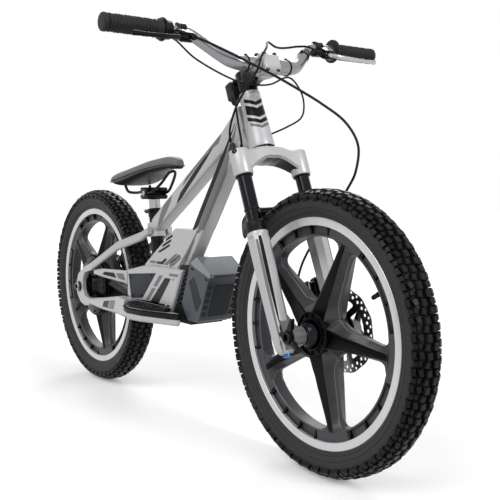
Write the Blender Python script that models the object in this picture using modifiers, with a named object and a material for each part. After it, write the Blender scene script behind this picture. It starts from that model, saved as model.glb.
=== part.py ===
"""Electric balance bike with cast wheels, a suspension fork and a clip-on battery.

Metres. +X points forward, +Y to the rider's left and +Z up. The origin lies on the ground,
midway between the two axles.
"""
import math

import bmesh
import bpy
from mathutils import Matrix, Vector

# Wheels and tyres
WHEELBASE = 0.927
TYRE_HEIGHT = 0.0525
TYRE_WIDTH = 0.060
KNOB_HEIGHT = 0.005
RIM_RADIUS = 0.2095
RIM_WIDTH = 0.038
RIM_LIP = 0.0145
RIM_DEPTH = 0.0345
RIM_POCKET_DEPTH = 0.007
SPOKES = 5
WHEEL_STEPS = 30
FIRST_SPOKE_ANGLE = math.radians(67.0)
SPOKE_RIM_WIDTH = 0.034
WINDOW_HUB_RADIUS = 0.067
WEB_HUB_WIDTH = 0.050
WEB_RIM_WIDTH = 0.027
SPOKE_GROOVE_WIDTH = 0.014
SPOKE_GROOVE_DEPTH = 0.008
HUB_RADIUS = 0.0252
HUB_WIDTH = 0.103
DISC_RADIUS = 0.080
DISC_THICKNESS = 0.002
DISC_OFFSET = 0.0465
DISC_BOSS_RADIUS = 0.0215
MOTOR_RADIUS = 0.079
MOTOR_DRUM_WIDTH = 0.058
MOTOR_RING_WALL = 0.003572
WINDOW_TIP_SHARE = 0.4007
REAR_WINDOW_TIP_SHARE = 0.647

# Clearances
GAP = 0.0003
TYRE_CLEARANCE = 0.012
SQUARE_END = 0.004
FINE_STEPS = 24
TIP_SOLVER_STEPS = 40
FILLET_REACH = 0.49

# Steering line and fork
HEAD_ANGLE = math.radians(68.5)
CROWN_ABOVE_TYRE = 0.1194
FORK_OFFSET = 0.0459
HEAD_TUBE_LENGTH = 0.119
HEAD_TUBE_TOP_RADIUS = 0.0215
HEAD_TUBE_BOTTOM_RADIUS = 0.026
HEAD_TUBE_COLLAR = 0.030
STEERER_RADIUS = 0.0143
STEERER_ABOVE_HEAD = 0.047
HEADSET_RING = 0.0042
STANCHION_RADIUS = 0.014
STANCHION_SPACING = 0.140
STANCHION_ABOVE_AXLE = 0.1094
LEG_OFFSET = 0.014
CROWN_SLEEVE_RADIUS = 0.019
CROWN_TOP = 0.012
CROWN_BOTTOM = 0.063
LOWERS_TOP = 0.154
SEAL_LENGTH = 0.025
SEAL_RADIUS = 0.0188
LEG_DEPTH = 0.041
LEG_WIDTH = 0.035
LEG_BELOW_AXLE = 0.025
LEG_BORE_ABOVE_AXLE = 0.0374
AXLE_RADIUS = 0.010
AXLE_RIGHT_END = 0.0875
AXLE_LEFT_END = 0.081
CALIPER_ABOVE_AXLE = 0.0884
CALIPER_EAR_LENGTH = 0.058

# Cockpit
BAR_RADIUS = 0.0111
BAR_CLAMP_RADIUS = 0.0155
BAR_CLAMP_HALF_WIDTH = 0.030
BAR_HALF_WIDTH = 0.322
BAR_RISE = 0.0545
BAR_SWEEP = 0.046
BAR_STRAIGHT = 0.166
STEM_LENGTH = 0.0713
STEM_ABOVE_HEAD = 0.0238
STEM_SLEEVE_HALF = 0.0205
GRIP_RADIUS = 0.0158
GRIP_LENGTH = 0.118
LEVER_REACH = 0.032
LEVER_LENGTH = 0.107
LEVER_PIVOT_INSET = 0.144
LEVER_DROP_ANGLE = math.radians(25.0)
DISPLAY_DEPTH = 0.022
BRAKE_CABLE_RADIUS = 0.0025
REAR_CABLE_RADIUS = 0.0022
THROTTLE_CABLE_RADIUS = 0.0018
PORT_THICKNESS = 0.0045

# Frame, drawn about the middle between the tyres, and placed along with it
DRAWN_HALF_ROOM = 0.2015
SEAT_ANGLE = math.radians(83.0)
SEAT_FOOT = (-0.1405, 0.0808)
SEAT_TUBE_LENGTH = 0.124
SEAT_TUBE_RADIUS = 0.016
SEAT_POST_RADIUS = 0.0136
SEAT_POST_FOOT = 0.030
CLAMP_HEIGHT = 0.010
SEAT_POST_TOP = 0.160
TOP_TUBE_REAR_HEIGHT = 0.0866
TOP_TUBE_BELOW_HEAD = 0.039
TOP_TUBE_WIDTH = 0.036
TOP_TUBE_DEPTH = 0.036
TOP_TUBE_HEAD_DEPTH = 0.058
TUBE_HEAD_WIDTH = 0.040
CUP_RADIUS = 0.0215
CUP_LENGTH = 0.034
DOWN_TUBE_WIDTH = 0.036
DOWN_TUBE_DEPTH = 0.038
DOWN_TUBE_HEAD_DEPTH = 0.078
DOWN_TUBE_BELOW_HEAD = 0.072
DOWN_TUBE_FOOT = (0.000, 0.0885)
DOWN_TUBE_RUN_IN = 0.040
CASE_HALF_WIDTH = 0.050
CASE_TYRE_GAP_WIDTH = 0.074
PANEL_THICKNESS = 0.0022
BATTERY_HALF_WIDTH = 0.044
CRADLE_HALF_WIDTH = 0.041
CRADLE_RIBS = 8
DROPOUT_OFFSET = 0.0625
DROPOUT_THICKNESS = 0.010
STAY_THICKNESS = 0.012
REAR_AXLE_RADIUS = 0.007
REAR_NUT_RADIUS = 0.0105
FOOTREST_WIDTH = 0.100
FOOTREST_TOP = -0.014
FOOTREST_THICKNESS = 0.028
TREAD_THICKNESS = 0.008
TREAD_GROOVES = 6
FIRST_TREAD_GROOVE = -0.1317
TREAD_GROOVE_PITCH = 0.020

# Saddle
SADDLE_LENGTH = 0.252
SADDLE_WIDTH = 0.132
SADDLE_TAIL_BEHIND_POST = 0.1215
RAIL_RADIUS = 0.0035
RAIL_SPACING = 0.044

# Sizes and places that follow from those above
TYRE_OUTER_RADIUS = RIM_RADIUS + TYRE_HEIGHT
RIM_INNER_RADIUS = RIM_RADIUS - RIM_DEPTH
AXLE_TO_CROWN = TYRE_OUTER_RADIUS + CROWN_ABOVE_TYRE
CALIPER_DOWN = AXLE_TO_CROWN - CALIPER_ABOVE_AXLE
STANCHION_LENGTH = AXLE_TO_CROWN - STANCHION_ABOVE_AXLE
LEG_BORE_END = AXLE_TO_CROWN - LEG_BORE_ABOVE_AXLE
STEERER_TOP = HEAD_TUBE_LENGTH + STEERER_ABOVE_HEAD
STEM_HEIGHT = HEAD_TUBE_LENGTH + STEM_ABOVE_HEAD
TOP_TUBE_FRONT_HEIGHT = HEAD_TUBE_LENGTH - TOP_TUBE_BELOW_HEAD
DOWN_TUBE_HEAD_HEIGHT = HEAD_TUBE_LENGTH - DOWN_TUBE_BELOW_HEAD
BAR_BEND_END = BAR_HALF_WIDTH - BAR_STRAIGHT
LEVER_PIVOT = BAR_HALF_WIDTH - LEVER_PIVOT_INSET
FRAME_STRETCH = (WHEELBASE / 2 - TYRE_OUTER_RADIUS) / DRAWN_HALF_ROOM
AXLE_HEIGHT = TYRE_OUTER_RADIUS
FRONT_AXLE = Vector((WHEELBASE / 2, 0.0, AXLE_HEIGHT))
REAR_AXLE = Vector((-WHEELBASE / 2, 0.0, AXLE_HEIGHT))
STEER_DOWN = Vector((math.cos(HEAD_ANGLE), 0.0, -math.sin(HEAD_ANGLE)))
STEER_FRONT = Vector((math.sin(HEAD_ANGLE), 0.0, math.cos(HEAD_ANGLE)))
HEAD_BASE = FRONT_AXLE - STEER_DOWN * AXLE_TO_CROWN - STEER_FRONT * FORK_OFFSET
SIDE = Vector((0.0, 1.0, 0.0))
UP = Vector((0.0, 0.0, 1.0))
SEAT_UP = Vector((-math.cos(SEAT_ANGLE), 0.0, math.sin(SEAT_ANGLE)))
LEG_Y = STANCHION_SPACING / 2
LEVER_FRONT = Vector((math.cos(LEVER_DROP_ANGLE), 0.0, -math.sin(LEVER_DROP_ANGLE)))
LEVER_UP = Vector((math.sin(LEVER_DROP_ANGLE), 0.0, math.cos(LEVER_DROP_ANGLE)))


def bore_round(radius, steps):
    """Give the radius of a faceted bore whose flats clear a round bar."""
    return radius / math.cos(math.pi / steps) + GAP


def body_point(x, y, height):
    """Place a frame point from the middle between the tyres and from the axle line."""
    return Vector((x * FRAME_STRETCH, y, AXLE_HEIGHT + height))


def rear_point(x, y, height):
    """Place a point that stays with the rear axle."""
    return REAR_AXLE + Vector((x, y, height))


def bar_point(x, y, z):
    """Place a point that stays with the bar's clamp."""
    return BAR_CENTRE + Vector((x, y, z))


def head_point(x, y, z):
    """Place a point that stays with the foot of the head tube."""
    return HEAD_BASE + Vector((x, y, z))


def steer_point(down, y, front):
    """Place a fork or cockpit point along and ahead of the steering axis."""
    return HEAD_BASE + STEER_DOWN * down + STEER_FRONT * front + SIDE * y


SEAT_BASE = body_point(SEAT_FOOT[0], 0.0, SEAT_FOOT[1])
SEAT_AHEAD = Vector((math.sin(SEAT_ANGLE), 0.0, math.cos(SEAT_ANGLE)))


def seat_point(height, front, y):
    """Place a point along the seat tube's axis and ahead of it."""
    return SEAT_BASE + SEAT_UP * height + SEAT_AHEAD * front + SIDE * y


BAR_CENTRE = steer_point(-STEM_HEIGHT, 0.0, STEM_LENGTH)
GRIP_LINE = BAR_CENTRE + Vector((-BAR_SWEEP, 0.0, BAR_RISE))


# Scene, materials and carriers

def clear_scene():
    """Remove every object that the file starts with."""
    for scene_object in list(bpy.data.objects):
        bpy.data.objects.remove(scene_object, do_unlink=True)


def new_collection(name):
    """Make a collection under the scene."""
    collection = bpy.data.collections.new(name)
    bpy.context.scene.collection.children.link(collection)
    return collection


def material(name, colour, roughness, metallic=0.0):
    """Make a Principled material from a linear colour."""
    finish = bpy.data.materials.new(name)
    finish.use_nodes = True
    shader = finish.node_tree.nodes["Principled BSDF"]
    shader.inputs["Base Color"].default_value = (*colour, 1.0)
    shader.inputs["Roughness"].default_value = roughness
    shader.inputs["Metallic"].default_value = metallic
    finish.diffuse_color = (*colour, 1.0)
    return finish


clear_scene()
PARTS = new_collection("electric_balance_bike")
CUTTERS = new_collection("cutters")
SILVER_PAINT = material("silver_paint", (0.48, 0.48, 0.49), 0.35, 0.2)
GREY_CAST = material("grey_cast", (0.095, 0.095, 0.10), 0.45, 0.3)
RUBBER = material("rubber", (0.018, 0.017, 0.016), 0.85)
BLACK_METAL = material("black_metal", (0.012, 0.012, 0.013), 0.30, 0.5)
BLACK_PLASTIC = material("black_plastic", (0.015, 0.015, 0.016), 0.50)
SLATE_PLASTIC = material("slate_plastic", (0.045, 0.052, 0.058), 0.55)
BATTERY_GREY = material("battery_grey", (0.085, 0.090, 0.098), 0.40)
STEEL = material("steel", (0.62, 0.62, 0.63), 0.25, 1.0)
CHROME = material("chrome", (0.72, 0.72, 0.73), 0.12, 1.0)
VINYL = material("vinyl", (0.13, 0.13, 0.137), 0.60)


def carrier(name, location, parent=None, axis=None):
    """Add an empty on a joint's axis, for the pieces that move about it."""
    empty = bpy.data.objects.new(name, None)
    empty.empty_display_size = 0.05
    PARTS.objects.link(empty)
    turn = Matrix.Identity(4)
    if axis is not None:
        turn = axis.to_track_quat("Z", "Y").to_matrix().to_4x4()
    place = Matrix.Translation(location) @ turn
    if parent is not None:
        empty.parent = parent
    empty.matrix_world = place
    bpy.context.view_layer.update()
    return empty


def link_object(name, data, finish, parent, place=None):
    """Link a new object, in world place, under its carrier."""
    new_object = bpy.data.objects.new(name, data)
    PARTS.objects.link(new_object)
    if finish is not None:
        data.materials.append(finish)
    if parent is not None:
        new_object.parent = parent
        new_object.matrix_parent_inverse = parent.matrix_world.inverted()
    if place is not None:
        new_object.matrix_basis = place
    return new_object


def mesh_object(name, shape, finish, parent, place=None):
    """Turn a bmesh into an object, shaded smooth but for its sharp edges."""
    bmesh.ops.recalc_face_normals(shape, faces=shape.faces)
    mesh = bpy.data.meshes.new(name)
    shape.to_mesh(mesh)
    shape.free()
    mesh.shade_smooth()
    mesh.set_sharp_from_angle(angle=math.radians(35.0))
    return link_object(name, mesh, finish, parent, place)


def axis_place(location, axis):
    """Give the matrix that stands local +Z on an axis."""
    return Matrix.Translation(location) @ axis.to_track_quat("Z", "Y").to_matrix().to_4x4()


def box(name, centre, size, finish, parent, turn=None):
    """Add a box by its centre and its size, turned by a matrix."""
    shape = bmesh.new()
    bmesh.ops.create_cube(shape, size=1.0, matrix=Matrix.Diagonal((*size, 1.0)))
    place = Matrix.Translation(centre)
    if turn is not None:
        place = place @ turn
    return mesh_object(name, shape, finish, parent, place)


def cylinder(name, start, end, radius, finish, parent, steps=24):
    """Add a cylinder between two points."""
    start = Vector(start)
    end = Vector(end)
    shape = bmesh.new()
    bmesh.ops.create_cone(shape, cap_ends=True, segments=steps, radius1=radius, radius2=radius,
                          depth=(end - start).length)
    return mesh_object(name, shape, finish, parent, axis_place((start + end) / 2, end - start))


def turned(name, profile, finish, parent, origin, axis, steps=32, closed=False):
    """Turn an outline of (radius, height) points about an axis, listed top to bottom outside."""
    mesh = bpy.data.meshes.new(name)
    points = [(radius, 0.0, height) for radius, height in profile]
    edges = [(index, index + 1) for index in range(len(points) - 1)]
    if closed:
        edges.append((len(points) - 1, 0))
    mesh.from_pydata(points, edges, [])
    new_object = link_object(name, mesh, finish, parent, axis_place(origin, axis))
    screw = new_object.modifiers.new("turn", "SCREW")
    screw.steps = steps
    screw.render_steps = steps
    screw.use_merge_vertices = True
    screw.merge_threshold = 0.00001
    screw.use_smooth_shade = True
    return new_object


def rounded_ring(centre, across, rise, half_width, half_height, corner, steps=1):
    """Give the points of a rounded rectangle, counted from the first corner round."""
    points = []
    corner = min(corner, half_width * 0.98, half_height * 0.98)
    for quarter, (sign_a, sign_r) in enumerate(((1, 1), (-1, 1), (-1, -1), (1, -1))):
        for step in range(steps + 1):
            angle = math.radians(90.0 * (quarter + step / steps))
            along = sign_a * (half_width - corner) + corner * math.cos(angle)
            above = sign_r * (half_height - corner) + corner * math.sin(angle)
            points.append(centre + across * along + rise * above)
    return points


def loft(name, rings, finish, parent):
    """Skin a closed body over rings that have one number of points."""
    shape = bmesh.new()
    loops = [[shape.verts.new(point) for point in ring] for ring in rings]
    count = len(rings[0])
    for near, far in zip(loops, loops[1:]):
        for index in range(count):
            after = (index + 1) % count
            shape.faces.new((near[index], near[after], far[after], far[index]))
    shape.faces.new(loops[0])
    shape.faces.new(loops[-1])
    return mesh_object(name, shape, finish, parent)


def slab(name, outline, low, high, finish, parent, place=None, bevel=0.0):
    """Extrude a flat outline, given in X and Z, from one Y to another."""
    curve = bpy.data.curves.new(name, "CURVE")
    curve.dimensions = "2D"
    curve.fill_mode = "BOTH"
    curve.extrude = abs(high - low) / 2
    curve.render_resolution_u = 0
    spline = curve.splines.new("POLY")
    spline.points.add(len(outline) - 1)
    for point, (x, z) in zip(spline.points, outline):
        point.co = (x, z, 0.0, 1.0)
    spline.use_cyclic_u = True
    stand = Matrix.Translation((0.0, (low + high) / 2, 0.0)) @ Matrix.Rotation(math.pi / 2, 4, "X")
    if place is not None:
        stand = place @ stand
    flat = link_object(name + "_outline", curve, None, parent, stand)
    solid = as_mesh(flat, name, finish)
    if bevel > 0.0:
        add_bevel(solid, bevel)
    return solid


def as_mesh(source, name, finish):
    """Replace a curve object by its welded mesh."""
    bpy.context.view_layer.update()
    graph = bpy.context.evaluated_depsgraph_get()
    mesh = bpy.data.meshes.new_from_object(source.evaluated_get(graph))
    shape = bmesh.new()
    shape.from_mesh(mesh)
    bmesh.ops.remove_doubles(shape, verts=shape.verts, dist=0.00002)
    bpy.data.meshes.remove(mesh)
    parent = source.parent
    place = source.matrix_world.copy()
    bpy.data.objects.remove(source, do_unlink=True)
    return mesh_object(name, shape, finish, parent, place)


def add_bevel(target, width, segments=1, angle=40.0):
    """Round the edges that are sharper than an angle."""
    bevel = target.modifiers.new("bevel", "BEVEL")
    bevel.width = width
    bevel.segments = segments
    bevel.limit_method = "ANGLE"
    bevel.angle_limit = math.radians(angle)
    return bevel


def tube(name, points, radius, finish, parent, widths=None, resolution=2):
    """Add a round bar along points; widths scale its radius point by point."""
    curve = bpy.data.curves.new(name, "CURVE")
    curve.dimensions = "3D"
    curve.bevel_depth = radius
    curve.bevel_resolution = resolution
    curve.use_fill_caps = True
    curve.render_resolution_u = 0
    spline = curve.splines.new("POLY")
    spline.points.add(len(points) - 1)
    for index, (slot, point) in enumerate(zip(spline.points, points)):
        slot.co = (*point, 1.0)
        if widths is not None:
            slot.radius = widths[index]
    return link_object(name, curve, finish, parent)


def smooth_route(route, spacing):
    """Read evenly spaced points from a smooth curve through a route's points."""
    route = [Vector(point) for point in route]
    ends = [route[0] * 2 - route[1]] + route + [route[-1] * 2 - route[-2]]
    fine = []
    for before, start, end, after in zip(ends, ends[1:], ends[2:], ends[3:]):
        for step in range(FINE_STEPS):
            t = step / FINE_STEPS
            pull = (end - before) * t + (before * 2 - start * 5 + end * 4 - after) * t ** 2
            pull += (start * 3 - before - end * 3 + after) * t ** 3
            fine.append(start + pull / 2)
    fine.append(route[-1])
    lengths = [0.0]
    for near, far in zip(fine, fine[1:]):
        lengths.append(lengths[-1] + (far - near).length)
    count = max(2, round(lengths[-1] / spacing))
    points = []
    index = 0
    for step in range(count + 1):
        goal = lengths[-1] * step / count
        while index < len(fine) - 2 and lengths[index + 1] < goal:
            index += 1
        share = (goal - lengths[index]) / max(lengths[index + 1] - lengths[index], 1e-9)
        points.append(fine[index].lerp(fine[index + 1], min(share, 1.0)))
    points.insert(1, points[0] + (route[1] - route[0]).normalized() * SQUARE_END)
    points.insert(-1, points[-1] + (route[-2] - route[-1]).normalized() * SQUARE_END)
    return points


def boolean(target, tool, operation):
    """Cut or join a target with a tool, which becomes a hidden guide."""
    if tool.name not in CUTTERS.objects:
        for collection in list(tool.users_collection):
            collection.objects.unlink(tool)
        CUTTERS.objects.link(tool)
    tool.hide_render = True
    tool.display_type = "WIRE"
    modifier = target.modifiers.new(operation.lower(), "BOOLEAN")
    modifier.operation = operation
    modifier.object = tool
    modifier.solver = "EXACT"
    return modifier


def cut(target, tool):
    """Take a tool's shape out of a target."""
    return boolean(target, tool, "DIFFERENCE")


def join(target, tool):
    """Weld a tool's shape to a target."""
    return boolean(target, tool, "UNION")


def offset_outline(outline, distance):
    """Move each side of an outline outward by a distance, or inward if negative."""
    area = sum(a[0] * b[1] - b[0] * a[1] for a, b in zip(outline, outline[1:] + outline[:1]))
    side = 1.0 if area > 0.0 else -1.0
    moved = []
    for index, point in enumerate(outline):
        here = Vector(point)
        before = (here - Vector(outline[index - 1])).normalized()
        after = (Vector(outline[(index + 1) % len(outline)]) - here).normalized()
        out_before = Vector((before.y, -before.x)) * side
        out_after = Vector((after.y, -after.x)) * side
        middle = (out_before + out_after).normalized()
        moved.append(tuple(here + middle * distance / max(middle.dot(out_before), 0.2)))
    return moved


def fillet_outline(corners, steps=4):
    """Round the corners of an outline, each given as (x, z, radius)."""
    points = []
    for index, (x, z, radius) in enumerate(corners):
        here = Vector((x, z))
        before = Vector(corners[index - 1][:2]) - here
        after = Vector(corners[(index + 1) % len(corners)][:2]) - here
        half = before.angle(after) / 2
        if radius <= 0.0 or half > math.radians(89.0):
            points.append((x, z))
            continue
        reach = min(radius / math.tan(half), before.length * FILLET_REACH, after.length * FILLET_REACH)
        radius = reach * math.tan(half)
        inward = (before.normalized() + after.normalized()).normalized()
        middle = here + inward * radius / math.sin(half)
        start = here + before.normalized() * reach - middle
        end = here + after.normalized() * reach - middle
        sweep = start.angle_signed(end)
        for step in range(steps + 1):
            turned_start = Matrix.Rotation(-sweep * step / steps, 2) @ start
            points.append(tuple(middle + turned_start))
    return points


def body_outline(points):
    """Place an outline's (x, height) points in the world."""
    placed = [body_point(x, 0.0, height) for x, height in points]
    return [(point.x, point.z) for point in placed]


def mirrored(point):
    """Give a point's image in the bike's middle plane."""
    return Vector((point[0], -point[1], point[2]))


# Wheels

def make_tyre(name, centre, parent):
    """Make a knobbly tyre: a turned casing whose tread cells rise in turns."""
    base = TYRE_OUTER_RADIUS - KNOB_HEIGHT
    half = TYRE_WIDTH / 2
    seat = RIM_RADIUS + GAP / math.cos(math.pi / WHEEL_STEPS)
    tread = [
        (-0.78, -0.0075), (-0.44, -0.0012), (-0.15, 0.0), (0.15, 0.0), (0.44, -0.0012), (0.78, -0.0075),
    ]
    section = [(half * share, base + drop) for share, drop in tread]
    foot = RIM_WIDTH / 2 + 0.001
    section += [(half, base - 0.024), (foot, seat), (-foot, seat), (-half, base - 0.024)]
    shape = bmesh.new()
    rings = []
    for row in range(WHEEL_STEPS):
        angle = math.tau * row / WHEEL_STEPS
        ring = []
        for across, radius in section:
            ring.append(shape.verts.new((radius * math.cos(angle), radius * math.sin(angle), across)))
        rings.append(ring)
    knobs = []
    for row, ring in enumerate(rings):
        following = rings[(row + 1) % WHEEL_STEPS]
        for index in range(len(section)):
            after = (index + 1) % len(section)
            face = shape.faces.new((ring[index], ring[after], following[after], following[index]))
            if index < len(tread) - 1 and (index + row) % 2 == 0:
                knobs.append(face)
    bmesh.ops.recalc_face_normals(shape, faces=shape.faces)
    raised = bmesh.ops.extrude_discrete_faces(shape, faces=knobs)["faces"]
    for face in raised:
        lift = face.normal * KNOB_HEIGHT
        middle = face.calc_center_median()
        for vertex in face.verts:
            vertex.co = middle + (vertex.co - middle) * 0.86 + lift
    return mesh_object(name, shape, RUBBER, parent, axis_place(centre, SIDE))


def spoke_window(hub_radius, tip_share):
    """Give the outline of one window between two spokes, pointing along +X."""
    half_pitch = math.pi / SPOKES
    corner_angle = half_pitch - math.asin(SPOKE_RIM_WIDTH / 2 / RIM_INNER_RADIUS)
    corner = Vector((math.cos(corner_angle), math.sin(corner_angle))) * RIM_INNER_RADIUS
    tip = hub_radius
    for _ in range(TIP_SOLVER_STEPS):
        edge = corner - Vector((tip, 0.0))
        slope = math.atan2(edge.y, edge.x)
        tip_radius = (RIM_INNER_RADIUS - hub_radius) * tip_share
        tip_radius = min(tip_radius, edge.length * FILLET_REACH * math.tan(slope))
        tip = hub_radius - tip_radius * (1 / math.sin(slope) - 1)
    corners = [(tip, 0.0, tip_radius), (corner.x, -corner.y, 0.020)]
    for share in (-0.5, 0.0, 0.5):
        angle = corner_angle * share
        corners.append((RIM_INNER_RADIUS * math.cos(angle), RIM_INNER_RADIUS * math.sin(angle), 0.0))
    corners.append((corner.x, corner.y, 0.020))
    return fillet_outline(corners, 2)


def make_wheel(name, centre, parent, hub_outer_radius, bore_radius, window, hub_width):
    """Make a cast wheel: a turned blank with spoke windows, grooves and a bore cut from it."""
    rim_half = RIM_WIDTH / 2
    band_half = rim_half - RIM_POCKET_DEPTH
    lip_radius = RIM_RADIUS - RIM_LIP
    hub_half = hub_width / 2
    web_hub = min(WEB_HUB_WIDTH / 2, hub_half)
    outer = [(bore_radius, hub_half), (hub_outer_radius, hub_half), (hub_outer_radius + 0.003, web_hub)]
    outer += [(RIM_INNER_RADIUS - 0.004, WEB_RIM_WIDTH / 2), (RIM_INNER_RADIUS, band_half)]
    outer += [(lip_radius, band_half), (lip_radius + 0.001, rim_half), (RIM_RADIUS, rim_half)]
    profile = outer + [(radius, -height) for radius, height in reversed(outer)]
    wheel = turned(name, profile, GREY_CAST, parent, centre, SIDE, WHEEL_STEPS, True)
    half_pitch = math.pi / SPOKES
    for index in range(SPOKES):
        spoke_angle = FIRST_SPOKE_ANGLE + math.tau * index / SPOKES
        turn = Matrix.Translation(centre) @ Matrix.Rotation(-spoke_angle - half_pitch, 4, "Y")
        tool = slab(name + "_window", window, -RIM_WIDTH, RIM_WIDTH, None, None, turn)
        cut(wheel, tool)
        turn = Matrix.Translation(centre) @ Matrix.Rotation(-spoke_angle, 4, "Y")
        for side in (-1.0, 1.0):
            tool = groove_tool(name + "_groove", side, turn, hub_outer_radius + 0.006, web_hub)
            cut(wheel, tool)
    return wheel


def groove_tool(name, side, turn, start_radius, web_half):
    """Make the cutter of a spoke's groove, a V that narrows toward the rim."""
    end_radius = RIM_INNER_RADIUS - 0.008
    rings = []
    for radius, width in ((start_radius, 1.0), (end_radius, 0.6)):
        share = (radius - start_radius) / (end_radius - start_radius)
        face = web_half + (WEB_RIM_WIDTH / 2 - web_half) * share
        half = SPOKE_GROOVE_WIDTH / 2 * width
        floor = face - SPOKE_GROOVE_DEPTH
        top = face + 0.004
        rings.append([
            turn @ Vector((radius, side * top, -half * 1.5)),
            turn @ Vector((radius, side * floor, 0.0)),
            turn @ Vector((radius, side * top, half * 1.5)),
        ])
    return loft(name, rings, None, None)


def make_disc(name, centre, parent):
    """Make a brake disc with a spider's openings and a ring of vent holes."""
    place = centre + SIDE * DISC_OFFSET
    half = SIDE * (DISC_THICKNESS / 2)
    through = SIDE * (DISC_THICKNESS * 2)
    disc = cylinder(name, place - half, place + half, DISC_RADIUS, STEEL, parent, 30)
    seat = DISC_BOSS_RADIUS + GAP
    bore = bore_round(seat, 16)
    cut(disc, cylinder(name + "_seat", place - through, place + through, bore, None, None, 16))
    arms = 5
    for index in range(arms):
        angle = math.tau * (index + 0.5) / arms
        corners = [(0.030, -0.010), (0.057, -0.024), (0.057, 0.024), (0.030, 0.010)]
        turn = Matrix.Translation(place) @ Matrix.Rotation(angle, 4, "Y")
        cut(disc, slab(name + "_opening", corners, -0.01, 0.01, None, None, turn))
    holes = 8
    for index in range(holes):
        angle = math.tau * (index + 0.3) / holes
        spot = place + Vector((math.cos(angle), 0.0, math.sin(angle))) * (0.0665 + 0.004 * (index % 2))
        cut(disc, cylinder(name + "_hole", spot - through, spot + through, 0.0038, None, None, 4))
    return disc


def make_front_wheel(parent):
    """Make the front wheel's casting, tyre, hub and disc."""
    hub_half = HUB_WIDTH / 2
    bore = bore_round(HUB_RADIUS, WHEEL_STEPS)
    window = spoke_window(WINDOW_HUB_RADIUS, WINDOW_TIP_SHARE)
    make_wheel("front_wheel", FRONT_AXLE, parent, 0.040, bore, window, 0.060)
    make_tyre("front_tyre", FRONT_AXLE, parent)
    bore = bore_round(AXLE_RADIUS, 16)
    seat = HUB_RADIUS
    disc_face = DISC_OFFSET - DISC_THICKNESS / 2 - GAP
    profile = [(bore, hub_half), (DISC_BOSS_RADIUS, hub_half), (DISC_BOSS_RADIUS, disc_face)]
    profile += [(seat, disc_face), (seat, -0.031), (0.019, -0.033), (0.0145, -hub_half)]
    profile += [(bore, -hub_half)]
    turned("front_hub", profile, BLACK_METAL, parent, FRONT_AXLE, SIDE, 16, True)
    make_disc("front_disc", FRONT_AXLE, parent)


def make_rear_wheel(parent):
    """Make the rear wheel's casting, tyre, hub motor and disc."""
    drum_half = MOTOR_DRUM_WIDTH / 2
    bore = bore_round(MOTOR_RADIUS, WHEEL_STEPS)
    window = spoke_window(bore + MOTOR_RING_WALL, REAR_WINDOW_TIP_SHARE)
    make_wheel("rear_wheel", REAR_AXLE, parent, bore + 0.005, bore, window, 0.046)
    make_tyre("rear_tyre", REAR_AXLE, parent)
    inner = bore_round(REAR_AXLE_RADIUS, 18)
    face = DROPOUT_OFFSET - DROPOUT_THICKNESS / 2 - 0.001
    disc_face = DISC_OFFSET - DISC_THICKNESS / 2 - GAP
    profile = [(inner, face), (DISC_BOSS_RADIUS, face), (DISC_BOSS_RADIUS, disc_face)]
    profile += [(0.034, disc_face), (0.036, drum_half + 0.005)]
    profile += [(0.068, drum_half + 0.003), (MOTOR_RADIUS, drum_half - 0.002)]
    profile += [(MOTOR_RADIUS, -drum_half + 0.002), (0.044, -drum_half - 0.006)]
    profile += [(0.041, -drum_half - 0.015), (0.020, -drum_half - 0.018)]
    profile += [(0.020, -face), (inner, -face)]
    turned("hub_motor", profile, BLACK_METAL, parent, REAR_AXLE, SIDE, 18, True)
    make_disc("rear_disc", REAR_AXLE, parent)


# Fork and front axle

def steer_turned(name, profile, finish, parent, y=0.0, front=0.0, steps=20, closed=False):
    """Turn an outline about a line parallel to the steering axis; heights run up from its base."""
    return turned(name, profile, finish, parent, steer_point(0.0, y, front), -STEER_DOWN, steps, closed)


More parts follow.
